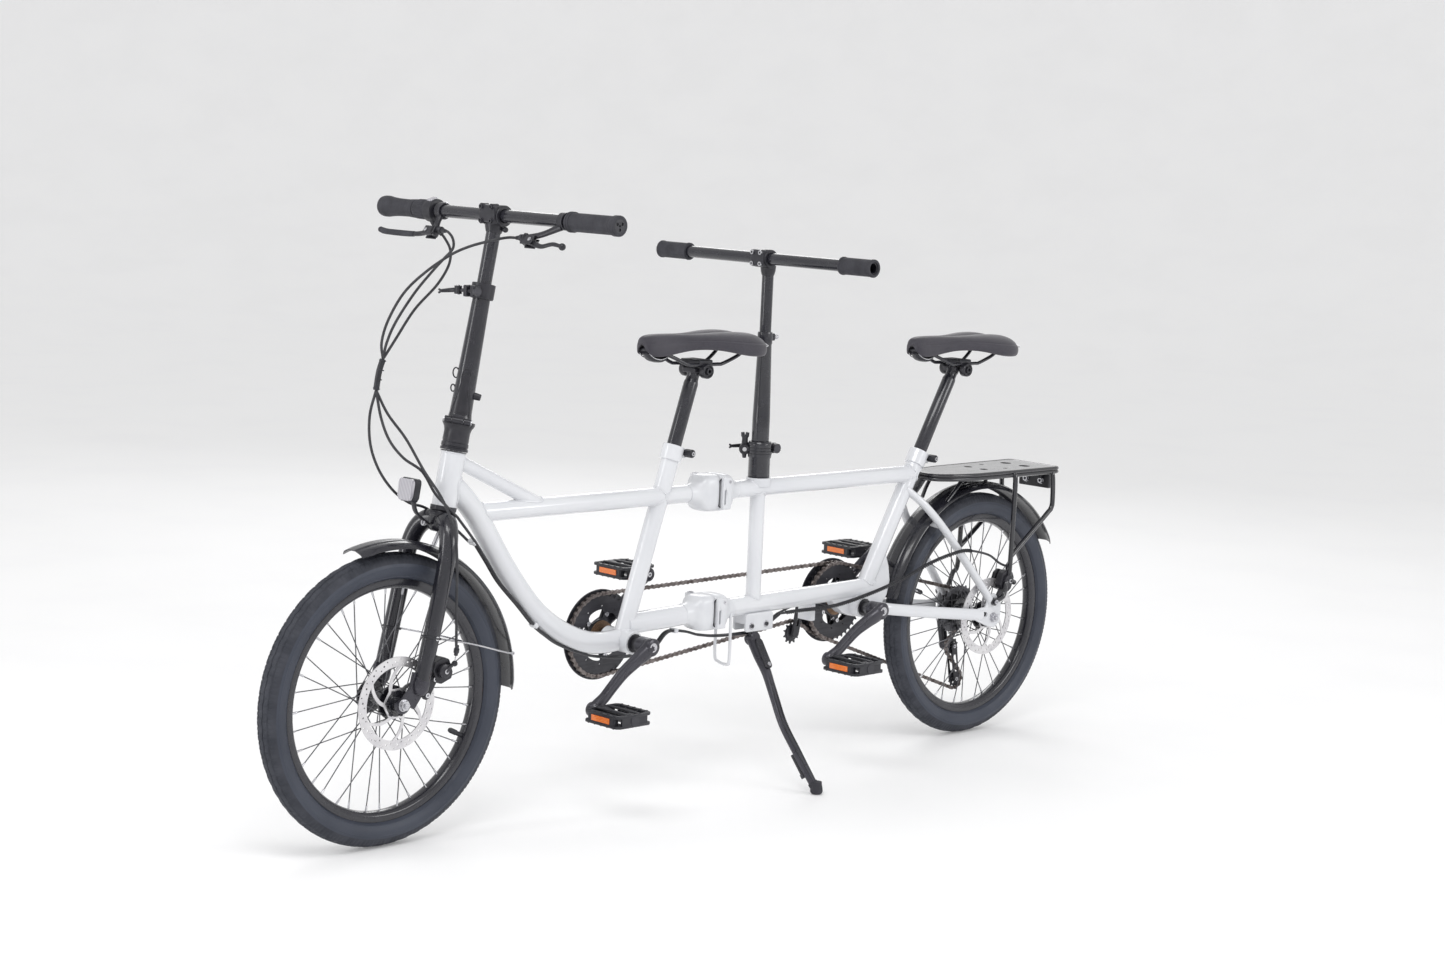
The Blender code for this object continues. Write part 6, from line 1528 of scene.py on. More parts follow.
def control_cables():
    """Three cables from the bar to a wrap in front of the stem, and on to the fork and the down tube."""
    upper = {
        "right_brake": [(0.5752, -0.1090, 1.0341), (0.5748, -0.0990, 1.0325), (0.5680, -0.0945, 1.0210),
                        (0.5600, -0.1040, 1.0040), (0.5700, -0.1150, 0.9860), (0.594, -0.115, 0.965),
                        (0.645, -0.100, 0.928), (0.695, -0.085, 0.881), (0.723, -0.072, 0.848), WRAP_TOP],
        "gear": [(0.5460, -0.1530, 1.0265), (0.5400, -0.1500, 1.0180), (0.5330, -0.1455, 1.0030),
                 (0.5350, -0.1400, 0.9860), (0.548, -0.133, 0.966), (0.580, -0.122, 0.938),
                 (0.640, -0.105, 0.899), (0.701, -0.078, 0.851), WRAP_TOP],
        "left_brake": [(0.5752, 0.0840, 1.0341), (0.5900, 0.0775, 1.0343), (0.613, 0.070, 1.030),
                       (0.637, 0.035, 1.017), (0.660, 0.010, 1.000),
                       (0.688, -0.020, 0.969), (0.715, -0.040, 0.934), (0.738, -0.050, 0.889),
                       (0.747, -0.055, 0.851), WRAP_TOP],
    }
    lower = {
        "gear": [WRAP_FOOT, (0.764, -0.060, 0.727), (0.765, -0.055, 0.680), (0.752, -0.048, 0.638),
                 (0.733, -0.034, 0.604), (0.700, -0.031, 0.580), (0.668, -0.030, 0.570),
                 (0.640, -0.029, 0.556)],
        "rear_brake": [WRAP_FOOT, (0.751, -0.046, 0.725), (0.745, -0.029, 0.688), (0.732, -0.006, 0.660),
                       (0.706, 0.012, 0.638), (0.688, 0.025, 0.602), (0.662, 0.029, 0.576),
                       (0.640, 0.028, 0.558)],
        "front_brake": [WRAP_FOOT, (0.738, -0.045, 0.731), (0.717, -0.020, 0.690), (0.705, 0.015, 0.640),
                        (0.694, 0.048, 0.600), (0.688, 0.068, 0.566), (0.682, 0.075, 0.537),
                        (0.678, 0.077, 0.494), (0.676, 0.077, 0.426), (0.668, 0.070, 0.345)],
    }
    for name, route in upper.items():
        bent_piece(f"{name}_cable_upper", tube_along(route, CABLE_RADIUS), CABLE_BLACK,
                   "control_cables" if name == "gear" else ())
    piece("cable_wrap", tube_along([WRAP_TOP, (0.747, -0.060, 0.800), WRAP_FOOT], 0.0052, 8, 16), "stem_post",
          BLACK_PLASTIC)
    ribs = [hoop(Vector(WRAP_TOP).lerp(Vector(WRAP_FOOT), t), Vector(WRAP_FOOT) - Vector(WRAP_TOP), 0.0052,
                 0.0010, 24)
            for t in (0.05, 0.35, 0.65, 0.95)]
    piece("cable_wrap_ribs", joined(ribs), "stem_post", GRIP_RUBBER)
    for name, route in lower.items():
        bent_piece(f"{name}_cable_lower", tube_along(route, CABLE_RADIUS), CABLE_BLACK)
    links = {
        "gear_cable_link": [(0.640, -0.029, 0.556), (0.618, -0.016, 0.538), (0.5910, 0.0065, 0.5060)],
        "rear_brake_cable_link": [(0.640, 0.028, 0.558), (0.615, 0.025, 0.533), (0.593, 0.020, 0.512)],
    }
    for name, route in links.items():
        bent_piece(name, tube_along(route, CABLE_RADIUS, 8), CABLE_BLACK)


DOWN_CABLE = [(0.593, 0.020, 0.512), (0.5600, 0.0170, 0.4720), (0.5290, 0.0150, 0.4330),
              (0.4800, 0.0125, 0.3860),
              (0.4400, 0.0100, 0.3470), (0.4070, 0.0070, 0.3240), (0.3750, 0.0050, 0.3050),
              (0.3200, 0.0030, 0.2830),
              (0.2720, 0.0000, 0.2710), (0.2030, 0.0000, 0.2640), (0.1420, 0.0000, 0.2700),
              (0.1040, 0.0000, 0.2990), (0.0600, 0.0000, 0.2960), (0.0250, 0.0000, 0.2860)]
UNDER_HINGE = [(0.0250, 0.0000, 0.2860), (-0.0210, 0.0000, 0.2790), (-0.0880, 0.0000, 0.2760),
               (-0.1400, 0.0030, 0.2800), (-0.1900, 0.0050, 0.3050)]


def frame_cables():
    """Two cables clipped under the frame, side by side, crossing the lower hinge."""
    parts_of = []
    for shift in (0.0, -0.0068):
        route = [(x, y + shift, z) for x, y, z in DOWN_CABLE]
        parts_of.append(tube_along(route, CABLE_RADIUS, 6, 12))
    piece("down_tube_cables", joined(parts_of), "front_frame", CABLE_BLACK)
    crossing = [tube_along([(x, y + shift, z) for x, y, z in UNDER_HINGE], CABLE_RADIUS, 10, 12)
                for shift in (0.0, -0.0068)]
    bent_piece("hinge_crossing_cables", joined(crossing), CABLE_BLACK)
    clips = []
    for x, y, z, along in ((0.5910, 0.0120, 0.5090, (-0.64, 0, -0.77)),
                           (0.4400, 0.0066, 0.3480, (-0.73, 0, -0.68)),
                           (0.1420, -0.0034, 0.2705, (-0.9, 0, 0.5)), (0.0850, -0.0034, 0.3000, (-1, 0, -0.1))):
        place = Vector((x, y, z))
        turn_by = facing(along, LEFT).to_3x3()
        clips.append(block((0.0170, 0.0085, 0.0095), place, turn_by))
    piece("cable_clips", joined(clips), "front_frame", WHITE_CAST, bevel=0.0016)
    screws = [bolt((0.5910 - 0.004, 0.0120, 0.5090 - 0.004), (0.64, 0, -0.77), 0.0024, 0.0030)]
    piece("cable_clip_screws", joined(screws), "front_frame", STEEL)
    rear = [(-0.168, 0.026, 0.312), (-0.219, 0.029, 0.313), (-0.314, 0.036, 0.315), (-0.410, 0.044, 0.332),
            (-0.490, 0.051, 0.353), (-0.569, 0.058, 0.381), (-0.631, 0.067, 0.397), (-0.670, 0.0715, 0.400),
            (-0.735, 0.070, 0.386), (-0.782, 0.062, 0.364), (-0.8080, 0.0635, 0.3540)]
    line = smooth(rear, 6)
    piece("rear_brake_housing", sweep(line, CABLE_RADIUS, 12), "rear_frame", CABLE_BLACK, "rear_brake_cable")
    piece("rear_brake_wrap", spiral(line[2:44], 0.0030, 0.0011, 0.0052), "rear_frame", CABLE_BLACK)
    gear = [(-0.1900, -0.0020, 0.3050), (-0.2600, -0.0200, 0.3120), (-0.3350, -0.0300, 0.3080),
            (-0.4300, -0.0350, 0.2780), (-0.5200, -0.0560, 0.2620), (-0.6400, -0.0690, 0.2520),
            (-0.7300, -0.0800, 0.2440), (-0.7900, -0.0900, 0.2400), (-0.8120, -0.0930, 0.2250),
            (-0.8000, -0.0900, 0.2060)]
    piece("rear_gear_housing", tube_along(gear, CABLE_RADIUS, 8, 12), "rear_frame", CABLE_BLACK)


def cockpit():
    stem_base()
    stem_post()
    cockpit_levers()
    stem_riser()
    grips()
    brake_levers()
    control_cables()
    frame_cables()


# Cranks, rings, chains and pedals

FRONT_CRANK_ANGLE, REAR_CRANK_ANGLE = math.radians(-35.5), math.radians(-28.5)
CHAIN_PITCH = 0.0127
TENSIONER_PULLEY = Vector((-0.2905, TIMING_Y, 0.2480))
CAGE_PULLEY = Vector((-0.786, DRIVE_Y, 0.101))
PULLEY_PITCH = 0.0003 + CHAIN_HALF


def toothed(teeth, root, tip, phase=0.0):
    """The outline of a sprocket."""
    outline = []
    for k in range(teeth):
        for step, reach in ((0.0, root), (0.24, root), (0.40, tip - 0.0006), (0.46, tip), (0.54, tip),
                            (0.60, tip - 0.0006), (0.76, root)):
            a = phase + math.tau * (k + step) / teeth
            outline.append((reach * math.cos(a), reach * math.sin(a)))
    return outline


def kidney(inner, outer, first, last, steps=8):
    """An opening between two radii and two angles, with rounded ends."""
    middle, half = (inner + outer) / 2, (outer - inner) / 2
    points = [(outer * math.cos(first + (last - first) * k / steps), outer * math.sin(first + (last - first) * k
              / steps)) for k in range(steps + 1)]
    end = (middle * math.cos(last), middle * math.sin(last))
    points += [(end[0] + half * math.cos(last + b), end[1] + half * math.sin(last + b))
               for b in (math.pi / 4, math.pi / 2, 3 * math.pi / 4)]
    points += [(inner * math.cos(last + (first - last) * k / steps), inner * math.sin(last + (first - last) * k
               / steps)) for k in range(steps + 1)]
    start = (middle * math.cos(first), middle * math.sin(first))
    points += [(start[0] + half * math.cos(first + b), start[1] + half * math.sin(first + b))
               for b in (-3 * math.pi / 4, -math.pi / 2, -math.pi / 4)]
    return points


def chainring(end, centre, y, body, turn_by, extra=()):
    """A 38-tooth ring on five arms, dark, with bolts at the arm ends."""
    openings, bolts = [], []
    for k in range(5):
        a = turn_by + math.tau * k / 5
        openings.append(kidney(0.0300, 0.0480, a + 0.34, a + math.tau / 5 - 0.34))
        foot = centre + Vector((0.0400 * math.cos(a), y + 0.0012, 0.0400 * math.sin(a)))
        bolts.append(bolt(foot, LEFT, 0.0042, 0.0018))
        openings.append(circle(0.0016, 10, (0.0545 * math.cos(a + 0.3), 0.0545 * math.sin(a + 0.3))))
        openings.append(circle(0.0016, 10, (0.0545 * math.cos(a - 0.3), 0.0545 * math.sin(a - 0.3))))
    ring = slab(toothed(38, 0.0733, 0.0792), 0.0021, upright(centre + LEFT * y),
                openings + [circle(0.0120, 24)])
    piece(f"{end}_ring_{len(extra)}", joined(ring, extra), body, BLACK_CAST, crease=30)
    piece(f"{end}_ring_bolts_{len(extra)}", joined(bolts), body, STEEL)


def crank_arm(label, body, centre, side, turn_up, node):
    tip = polar(centre, CRANK_LENGTH, turn_up)
    along = (tip - centre).normalized()
    across = along.cross(LEFT)
    route, widths = [], []
    for t, out, bow, wide in ((0.0, 0.0790, 0.0, 0.0165), (0.10, 0.0795, 0.0008, 0.0160), (0.25, 0.0790, 0.0030,
                              0.0142), (0.45, 0.0770, 0.0035, 0.0128), (0.65, 0.0775, 0.0010, 0.0118),
                              (0.82, 0.0800, -0.0006, 0.0118), (0.94, 0.0805, 0.0, 0.0128),
                              (1.0, 0.0805, 0.0, 0.0130)):
        route.append(centre + along * CRANK_LENGTH * t + across * bow + LEFT * side * out)
        widths.append(wide)
    arm = sweep(smooth(route, 5), widths, 32, flat=0.52, up=across)
    ends = [turn([(0, -0.0072), (0.0150, -0.0072), (0.0165, -0.0055), (0.0165, 0.0050), (0.0150, 0.0066),
                  (0, 0.0066)],
                 centre + LEFT * side * 0.0800, LEFT * side, 40),
            turn([(0, -0.0068), (0.0118, -0.0068), (0.0130, -0.0055), (0.0130, 0.0050), (0.0118, 0.0064),
                  (0, 0.0064)],
                 tip + LEFT * side * 0.0805, LEFT * side, 36)]
    inner = 0.0521 if side > 0 else 0.0590
    boss = turn([(0, 0), (0.0150, 0), (0.0160, 0.0015), (0.0160, 0.0740 - inner), (0, 0.0740 - inner)],
                centre + LEFT * side * inner, LEFT * side, 40)
    piece(f"{label}_arm", joined(arm, ends, boss), body, CRANK_GREY, node, crease=50)
    ridges = []
    for way in (1, -1):
        line = [point + across * way * wide * 0.60 + LEFT * side * 0.0052
                for point, wide in list(zip(route, widths))[1:7]]
        ridges.append(sweep(smooth(line, 5), [0.0004, 0.0018, 0.0018, 0.0018, 0.0004], 10))
    piece(f"{label}_arm_ridges", joined(ridges), body, CRANK_GREY)
    face = centre + LEFT * side * 0.0860
    ring = turn([(0.0052, 0), (0.0085, 0), (0.0085, 0.0012), (0.0060, 0.0014), (0.0052, 0.0008)], face,
                LEFT * side, 36, closed=True)
    piece(f"{label}_arm_bolt", joined(ring, bolt(face - LEFT * side * 0.0010, LEFT * side, 0.0052, 0.0018)),
          body, STEEL)
    shaft = joined(rod(tip + LEFT * side * 0.0800, tip + LEFT * side * 0.1880, 0.0044, sides=28),
                   hex_nut(tip + LEFT * side * 0.0872, LEFT * side, 0.0082, 0.0036, 0.0046),
                   bolt(tip + LEFT * side * 0.0742, -LEFT * side, 0.0046, 0.0010))
    piece(f"{label}_pedal_axle", shaft, body, STEEL)
    return tip


def pedal(label, body, centre):
    """A moulded cage: a rounded frame, a bowed bar across it, a shell for the axle and two reflectors."""
    outer = [(-0.0420, -0.0330), (-0.0405, -0.0400), (-0.0340, -0.0448), (0.0340, -0.0448), (0.0405, -0.0400),
             (0.0420, -0.0330), (0.0420, 0.0330), (0.0405, 0.0400), (0.0340, 0.0448), (-0.0340, 0.0448),
             (-0.0405, 0.0400), (-0.0420, 0.0330)]
    inner = [(x * 0.80, y * 0.86) for x, y in outer]
    flat = Matrix.Translation(centre)
    rings = [slab(outer, 0.0050, flat @ Matrix.Translation((0, 0, z)), [inner]) for z in (0.0088, -0.0088)]
    walls = []
    for side in (1, -1):
        walls.append(block((0.0052, 0.0640, 0.0200), centre + FORWARDS * side * 0.0385))
        walls.append(block((0.0600, 0.0048, 0.0170), centre + LEFT * side * 0.0420))
        for reach in (0.0150, 0.0320):
            walls.append(block((0.0100, 0.0040, 0.0190), centre + Vector((side * 0.0350, reach, 0))))
            walls.append(block((0.0100, 0.0040, 0.0190), centre + Vector((side * 0.0350, -reach, 0))))
    shell = turn([(0.0049, -0.0440), (0.0115, -0.0440), (0.0120, -0.0300), (0.0095, -0.0200), (0.0090, 0.0200),
                  (0.0120, 0.0300), (0.0115, 0.0440), (0.0049, 0.0440)], centre, LEFT, 32, closed=True)
    bows = []
    for side in (1, -1):
        for z in (0.0096, -0.0096):
            path = [centre + Vector((side * 0.0130, y, z * (1.12 - (y / 0.05) ** 2 * 0.12)))
                    for y in (-0.042, -0.021, 0, 0.021, 0.042)]
            bows.append(sweep(smooth(path, 4), 0.0042, 14, flat=0.6, up=FORWARDS))
    grips = []
    for k in range(5):
        for side in (1, -1):
            for z in (0.0113, -0.0113):
                grips.append(block((0.0060, 0.0030, 0.0024),
                                   centre + Vector((side * 0.0380, -0.032 + 0.016 * k, z))))
    piece(f"{label}_cage", joined(rings, walls, shell, bows, grips), body, BLACK_PLASTIC, label, bevel=0.0007)
    lenses = [block((0.0016, 0.0460, 0.0105), centre + FORWARDS * side * 0.0416) for side in (1, -1)]
    piece(f"{label}_reflectors", joined(lenses), body, AMBER, bevel=0.0005)
    outwards = 1 if centre.y > 0 else -1
    cap = turn([(0, 0), (0.0100, 0), (0.0092, 0.0022), (0, 0.0026)], centre + LEFT * outwards * 0.0436,
               LEFT * outwards, 32)
    piece(f"{label}_cap", cap, body, BLACK_CAST)


def crank_set(end, centre, turn_up, rings):
    body = f"{end}_cranks"
    left = crank_arm(f"{end}_left", body, centre, 1, turn_up, f"{end}_left_crank")
    right = crank_arm(f"{end}_right", body, centre, -1, turn_up + math.pi, f"{end}_right_crank")
    spindle = rod(centre - LEFT * 0.0660, centre + LEFT * 0.0518, 0.0112, sides=36)
    piece(f"{end}_spindle", spindle, body, DARK_STEEL)
    for count, y in enumerate(rings):
        chainring(end, centre, y, body, turn_up, [rod(centre + LEFT * (y - 0.004), centre + LEFT * (y + 0.003),
                                                      0.0200, sides=36)] * (count + 1))
    guard = slab(circle(0.0845, 96), 0.0022, upright(centre - LEFT * 0.0625), [circle(0.0680, 96)])
    arms = []
    for k in range(5):
        a = turn_up + math.tau * k / 5
        out = Vector((math.cos(a), 0, math.sin(a)))
        arms.append(sweep([centre + out * 0.010 - LEFT * 0.0640, centre + out * 0.045 - LEFT * 0.0630,
                           centre + out * 0.0720 - LEFT * 0.0625], [0.0095, 0.0070, 0.0050], 20, flat=0.42,
                          up=out.cross(LEFT)))
    piece(f"{end}_guard_ring", joined(guard, arms), body, BLACK_PLASTIC, bevel=0.0005)
    stack = []
    for k, radius in enumerate((0.0275, 0.0245, 0.0215, 0.0190)):
        y = rings[-1] + 0.0014 + 0.0022 * k
        stack.append(turn([(0.0115, 0), (radius, 0), (radius, 0.0012), (radius - 0.0012, 0.0016),
                           (0.0115, 0.0016)],
                          centre + LEFT * y, LEFT, 48, closed=True))
    piece(f"{end}_ring_carrier", joined(stack), body, BRONZE)
    for side, tip in ((1, left), (-1, right)):
        pedal(f"{end}_{'left' if side > 0 else 'right'}_pedal",
              f"{end}_{'left' if side > 0 else 'right'}_pedal", tip + LEFT * side * 0.1455)


def belt_line(wheels_round, arc_step=math.radians(4)):
    """Points of a loop round some (x, z, radius) wheels. A negative radius is turned the other way."""
    count = len(wheels_round)
    headings = []
    for k in range(count):
        x0, z0, r0 = wheels_round[k]
        x1, z1, r1 = wheels_round[(k + 1) % count]
        apart = math.hypot(x1 - x0, z1 - z0)
        headings.append(math.atan2(z1 - z0, x1 - x0) - math.asin((r1 - r0) / apart))
    points = []
    for k in range(count):
        x, z, radius = wheels_round[k]
        arrive, leave = headings[k - 1], headings[k]
        swept = (leave - arrive) % math.tau if radius > 0 else -((arrive - leave) % math.tau)
        steps = max(2, round(abs(swept) / arc_step))
        for step in range(steps + 1):
            heading = arrive + swept * step / steps
            points.append((x + radius * math.sin(heading), z - radius * math.cos(heading)))
    return points


def spaced(points, pitch):
    """Places a pitch apart round a closed line, an even number of them."""
    closed = [Vector((x, 0, z)) for x, z in points + points[:1]]
    lengths = [0.0]
    for a, b in zip(closed, closed[1:]):
        lengths.append(lengths[-1] + (b - a).length)
    count = 2 * round(lengths[-1] / pitch / 2)
    found, index = [], 0
    for k in range(count):
        along = lengths[-1] * k / count
        while lengths[index + 1] < along:
            index += 1
        t = (along - lengths[index]) / (lengths[index + 1] - lengths[index])
        found.append(closed[index].lerp(closed[index + 1], t))
    return found


PLATE_END = 0.0039
PLATE_WAIST = 0.0026


def chain_links(points, y):
    """(middle, shape) of each link: two plates, and a roller on a pin at its first end."""
    places = spaced(points, CHAIN_PITCH)
    links = []
    for k, here in enumerate(places):
        there = places[(k + 1) % len(places)]
        middle = (here + there) / 2
        along = (there - here).normalized()
        turn_by = Matrix((along, along.cross(LEFT) * -1, LEFT)).transposed().to_4x4()
        matrix = Matrix.Translation(middle + LEFT * y) @ turn_by
        half = (there - here).length / 2
        waist = [(-half * 0.2, PLATE_WAIST), (half * 0.2, PLATE_WAIST)]
        outline = [(half + PLATE_END * math.cos(a), PLATE_END * math.sin(a)) for a in
                   [math.radians(-100 + 40 * s) for s in range(6)]]
        outline += waist[::-1]
        outline += [(-half + PLATE_END * math.cos(a), PLATE_END * math.sin(a)) for a in
                    [math.radians(80 + 40 * s) for s in range(6)]]
        outline += [(x, -h) for x, h in waist]
        away = 0.0018 if k % 2 else 0.0028
        plates = [slab(outline, 0.0009, matrix @ Matrix.Translation((0, 0, side * away))) for side in (1, -1)]
        pin = rod(here + LEFT * (y - 0.0036), here + LEFT * (y + 0.0036), 0.0017, sides=8)
        roller = rod(here + LEFT * (y - 0.0013), here + LEFT * (y + 0.0013), 0.0037, sides=10)
        links.append((middle, joined(plates, pin, roller)))
    return links


def pulley(label, centre, body, teeth, root, tip, wide):
    wheel = slab(toothed(teeth, root, tip), wide, upright(centre), [circle(0.0035, 16)] + [
        circle(root * 0.20, 10,
               (root * 0.58 * math.cos(math.tau * k / 5), root * 0.58 * math.sin(math.tau * k / 5)))
        for k in range(5)])
    piece(f"{label}_pulley", wheel, body, BLACK_PLASTIC, bevel=0.0003)
    axle_of = joined(rod(centre - LEFT * 0.0066, centre + LEFT * 0.0066, 0.0034),
                     bolt(centre + LEFT * 0.0066, LEFT, 0.0040, 0.0014))
    piece(f"{label}_pulley_bolt", axle_of, body, STEEL)


def chains():
    timing = belt_line([(FRONT_BB.x, FRONT_BB.z, PITCH_RADIUS), (REAR_BB.x, REAR_BB.z, PITCH_RADIUS),
                        (TENSIONER_PULLEY.x, TENSIONER_PULLEY.z, -(0.0200 + PULLEY_PITCH))])
    links = chain_links(timing, TIMING_Y)
    for end, ahead in (("front", True), ("rear", False)):
        held = [shape for middle, shape in links if (middle.x > FOLD_PLANE) == ahead]
        piece(f"timing_chain_{end}_links", joined(held), f"{end}_frame", CHAIN_STEEL, f"timing_chain_{end}")
    drive = belt_line([(REAR_BB.x, REAR_BB.z, PITCH_RADIUS), (REAR_AXLE.x, REAR_AXLE.z, 0.0385 + PULLEY_PITCH),
                       (GUIDE_PULLEY.x, GUIDE_PULLEY.z, -(0.0160 + PULLEY_PITCH)),
                       (CAGE_PULLEY.x, CAGE_PULLEY.z, 0.0160 + PULLEY_PITCH)])
    piece("drive_chain_links", joined([shape for _, shape in chain_links(drive, DRIVE_Y)]), "rear_frame",
          CHAIN_STEEL, "drive_chain")


def tensioner():
    pivot = joint_place("tensioner_swing")
    foot = (TENSIONER_PULLEY.x, TENSIONER_PULLEY.z)
    arm = slab(stadium((pivot.x, pivot.z), foot, 0.0098, 0.0082), 0.0050, upright(LEFT * pivot.y),
               [stadium((pivot.x + 0.0028, pivot.z - 0.016), (pivot.x + 0.0062, pivot.z - 0.035), 0.0028,
                        0.0028, 6)])
    boss = rod(pivot, pivot + LEFT * 0.0095, 0.0078, sides=32)
    near = TENSIONER_PULLEY + LEFT * 0.0028
    shaft = rod(near + LEFT * 0.0070, TENSIONER_PULLEY, 0.0050, sides=24)
    piece("tensioner_arm", joined(arm, boss, shaft), "chain_tensioner", BLACK_CAST, "chain_tensioner",
          bevel=0.0006)
    wheel = slab(toothed(11, 0.0172, 0.0222), 0.0024, upright(TENSIONER_PULLEY), [circle(0.0048, 20)])
    flanges = [turn([(0.0048, -0.0008), (0.0150, -0.0008), (0.0162, 0.0), (0.0150, 0.0008), (0.0048, 0.0008)],
                    TENSIONER_PULLEY + LEFT * side * 0.0022, LEFT, 36, closed=True) for side in (1, -1)]
    piece("tensioner_pulley", joined(wheel, flanges), "chain_tensioner", BLACK_PLASTIC)
    screws = [bolt(pivot - LEFT * 0.0025, -LEFT, 0.0050, 0.0030),
              bolt(near + LEFT * 0.0070, LEFT, 0.0044, 0.0020)]
    piece("tensioner_bolts", joined(screws), "chain_tensioner", STEEL)


def cassette():
    """Eight sprockets with spacers, from the largest by the spokes to the smallest."""
    sizes = ((0.0545, -0.0262), (0.0510, -0.0301), (0.0470, -0.0340), (0.0430, -0.0375), (0.0398, DRIVE_Y),
             (0.0330, -0.0490), (0.0285, -0.0526), (0.0245, -0.0562))
    discs = []
    for radius, y in sizes:
        teeth = round(math.tau * radius / CHAIN_PITCH)
        root, tip = (0.0388, 0.0450) if y == DRIVE_Y else (radius - 0.0030, radius + 0.0006)
        holes = [circle(0.0162, 28)]
        if radius > 0.036:
            for k in range(6):
                a = math.tau * k / 6 + y * 60
                holes.append(kidney(0.0215, radius - 0.0105, a + 0.28, a + math.tau / 6 - 0.28, 5))
        discs.append(slab(toothed(teeth, root, tip), 0.0018, upright(REAR_AXLE + LEFT * y), holes))
    piece("cassette_sprockets", joined(discs), "cassette", DARK_STEEL, "cassette", crease=30)
    core = turn([(0.0161, -0.0265), (0.0195, -0.0265), (0.0195, -0.0560), (0.0161, -0.0560)], REAR_AXLE, LEFT,
                40, closed=True)
    piece("cassette_spacers", core, "cassette", BLACK_PLASTIC)
    lock = turn([(0.0161, -0.0572), (0.0205, -0.0572), (0.0200, -0.0588), (0.0161, -0.0588)], REAR_AXLE, LEFT,
                40, closed=True)
    piece("cassette_lock_ring", lock, "cassette", STEEL)


def derailleur():
    hanger = Vector((-0.774, -0.0688, 0.222))
    knuckle = Vector((GUIDE_PULLEY.x, -0.0523, GUIDE_PULLEY.z))
    upper = hanger - LEFT * 0.0095
    lower = knuckle - LEFT * 0.0150
    mount = turn([(0, 0), (0.0086, 0), (0.0092, 0.0015), (0.0092, 0.0120), (0.0078, 0.0130), (0, 0.0130)],
                 hanger, -LEFT, 32)
    body = turn([(0, 0), (0.0100, 0), (0.0112, 0.0020), (0.0112, 0.0180), (0.0095, 0.0200), (0, 0.0200)],
                knuckle, -LEFT, 36)
    links = []
    for shift in (0.0060, -0.0060):
        links.append(sweep([upper + FORWARDS * shift, lower + FORWARDS * shift], [0.0068, 0.0062], 16,
                           flat=0.45, up=LEFT))
    piece("derailleur_body", joined(mount, body, links), "rear_frame", BLACK_CAST, "rear_derailleur",
          bevel=0.0006)
    screws = [bolt(hanger - LEFT * 0.0130, -LEFT, 0.0050, 0.0016),
              bolt(knuckle - LEFT * 0.0200, -LEFT, 0.0052, 0.0012)]
    for point in (upper, lower):
        for shift in (0.0060, -0.0060):
            screws.append(rod(point + Vector((shift, 0.0078, 0)), point + Vector((shift, -0.0078, 0)), 0.0024))
    piece("derailleur_pins", joined(screws), "rear_frame", STEEL)
    ends = ((GUIDE_PULLEY.x, GUIDE_PULLEY.z), (CAGE_PULLEY.x, CAGE_PULLEY.z))
    window = stadium((GUIDE_PULLEY.x - 0.0030, GUIDE_PULLEY.z - 0.022),
                     (CAGE_PULLEY.x + 0.0025, CAGE_PULLEY.z + 0.020), 0.0042, 0.0042, 6)
    plates = [slab(stadium(*ends, 0.0102, 0.0090), 0.0016, upright(LEFT * (DRIVE_Y - 0.0064)), [window]),
              slab(stadium(*ends, 0.0080, 0.0080), 0.0016, upright(LEFT * (DRIVE_Y + 0.0064)), [window])]
    piece("cage_plates", joined(plates), "derailleur_cage", BLACK_CAST, "derailleur_cage", bevel=0.0003)
    for label, centre in (("guide", GUIDE_PULLEY), ("tension", CAGE_PULLEY)):
        pulley(label, centre, "derailleur_cage", 10, 0.0148, 0.0176, 0.0024)


def drive():
    crank_set("front", FRONT_BB, FRONT_CRANK_ANGLE, (TIMING_Y,))
    crank_set("rear", REAR_BB, REAR_CRANK_ANGLE, (TIMING_Y, DRIVE_Y))
    chains()
    tensioner()
    cassette()
    derailleur()


# Saddles and seat posts

# (ahead of the post head, half width, top above it, skirt depth, channel depth, lobe rise)
SADDLE_ROWS = (
    (0.1405, 0.0105, 0.0470, 0.018, 0.0000, 0.000), (0.1375, 0.0175, 0.0505, 0.030, 0.0000, 0.000),
    (0.1280, 0.0210, 0.0535, 0.038, 0.0004, 0.000), (0.1150, 0.0225, 0.0545, 0.041, 0.0010, 0.000),
    (0.0920, 0.0235, 0.0548, 0.039, 0.0018, 0.000), (0.0650, 0.0255, 0.0545, 0.034, 0.0024, 0.000),
    (0.0400, 0.0310, 0.0540, 0.029, 0.0028, 0.000), (0.0150, 0.0410, 0.0540, 0.0275, 0.0032, 0.0008),
    (-0.0100, 0.0540, 0.0545, 0.029, 0.0038, 0.0016), (-0.0350, 0.0660, 0.0552, 0.034, 0.0048, 0.0026),
    (-0.0600, 0.0745, 0.0552, 0.0395, 0.0056, 0.0032), (-0.0850, 0.0780, 0.0545, 0.0410, 0.0060, 0.0032),
    (-0.1080, 0.0740, 0.0520, 0.0385, 0.0058, 0.0026), (-0.1250, 0.0600, 0.0480, 0.0320, 0.0048, 0.0016),
    (-0.1330, 0.0400, 0.0440, 0.0240, 0.0030, 0.0006),
)
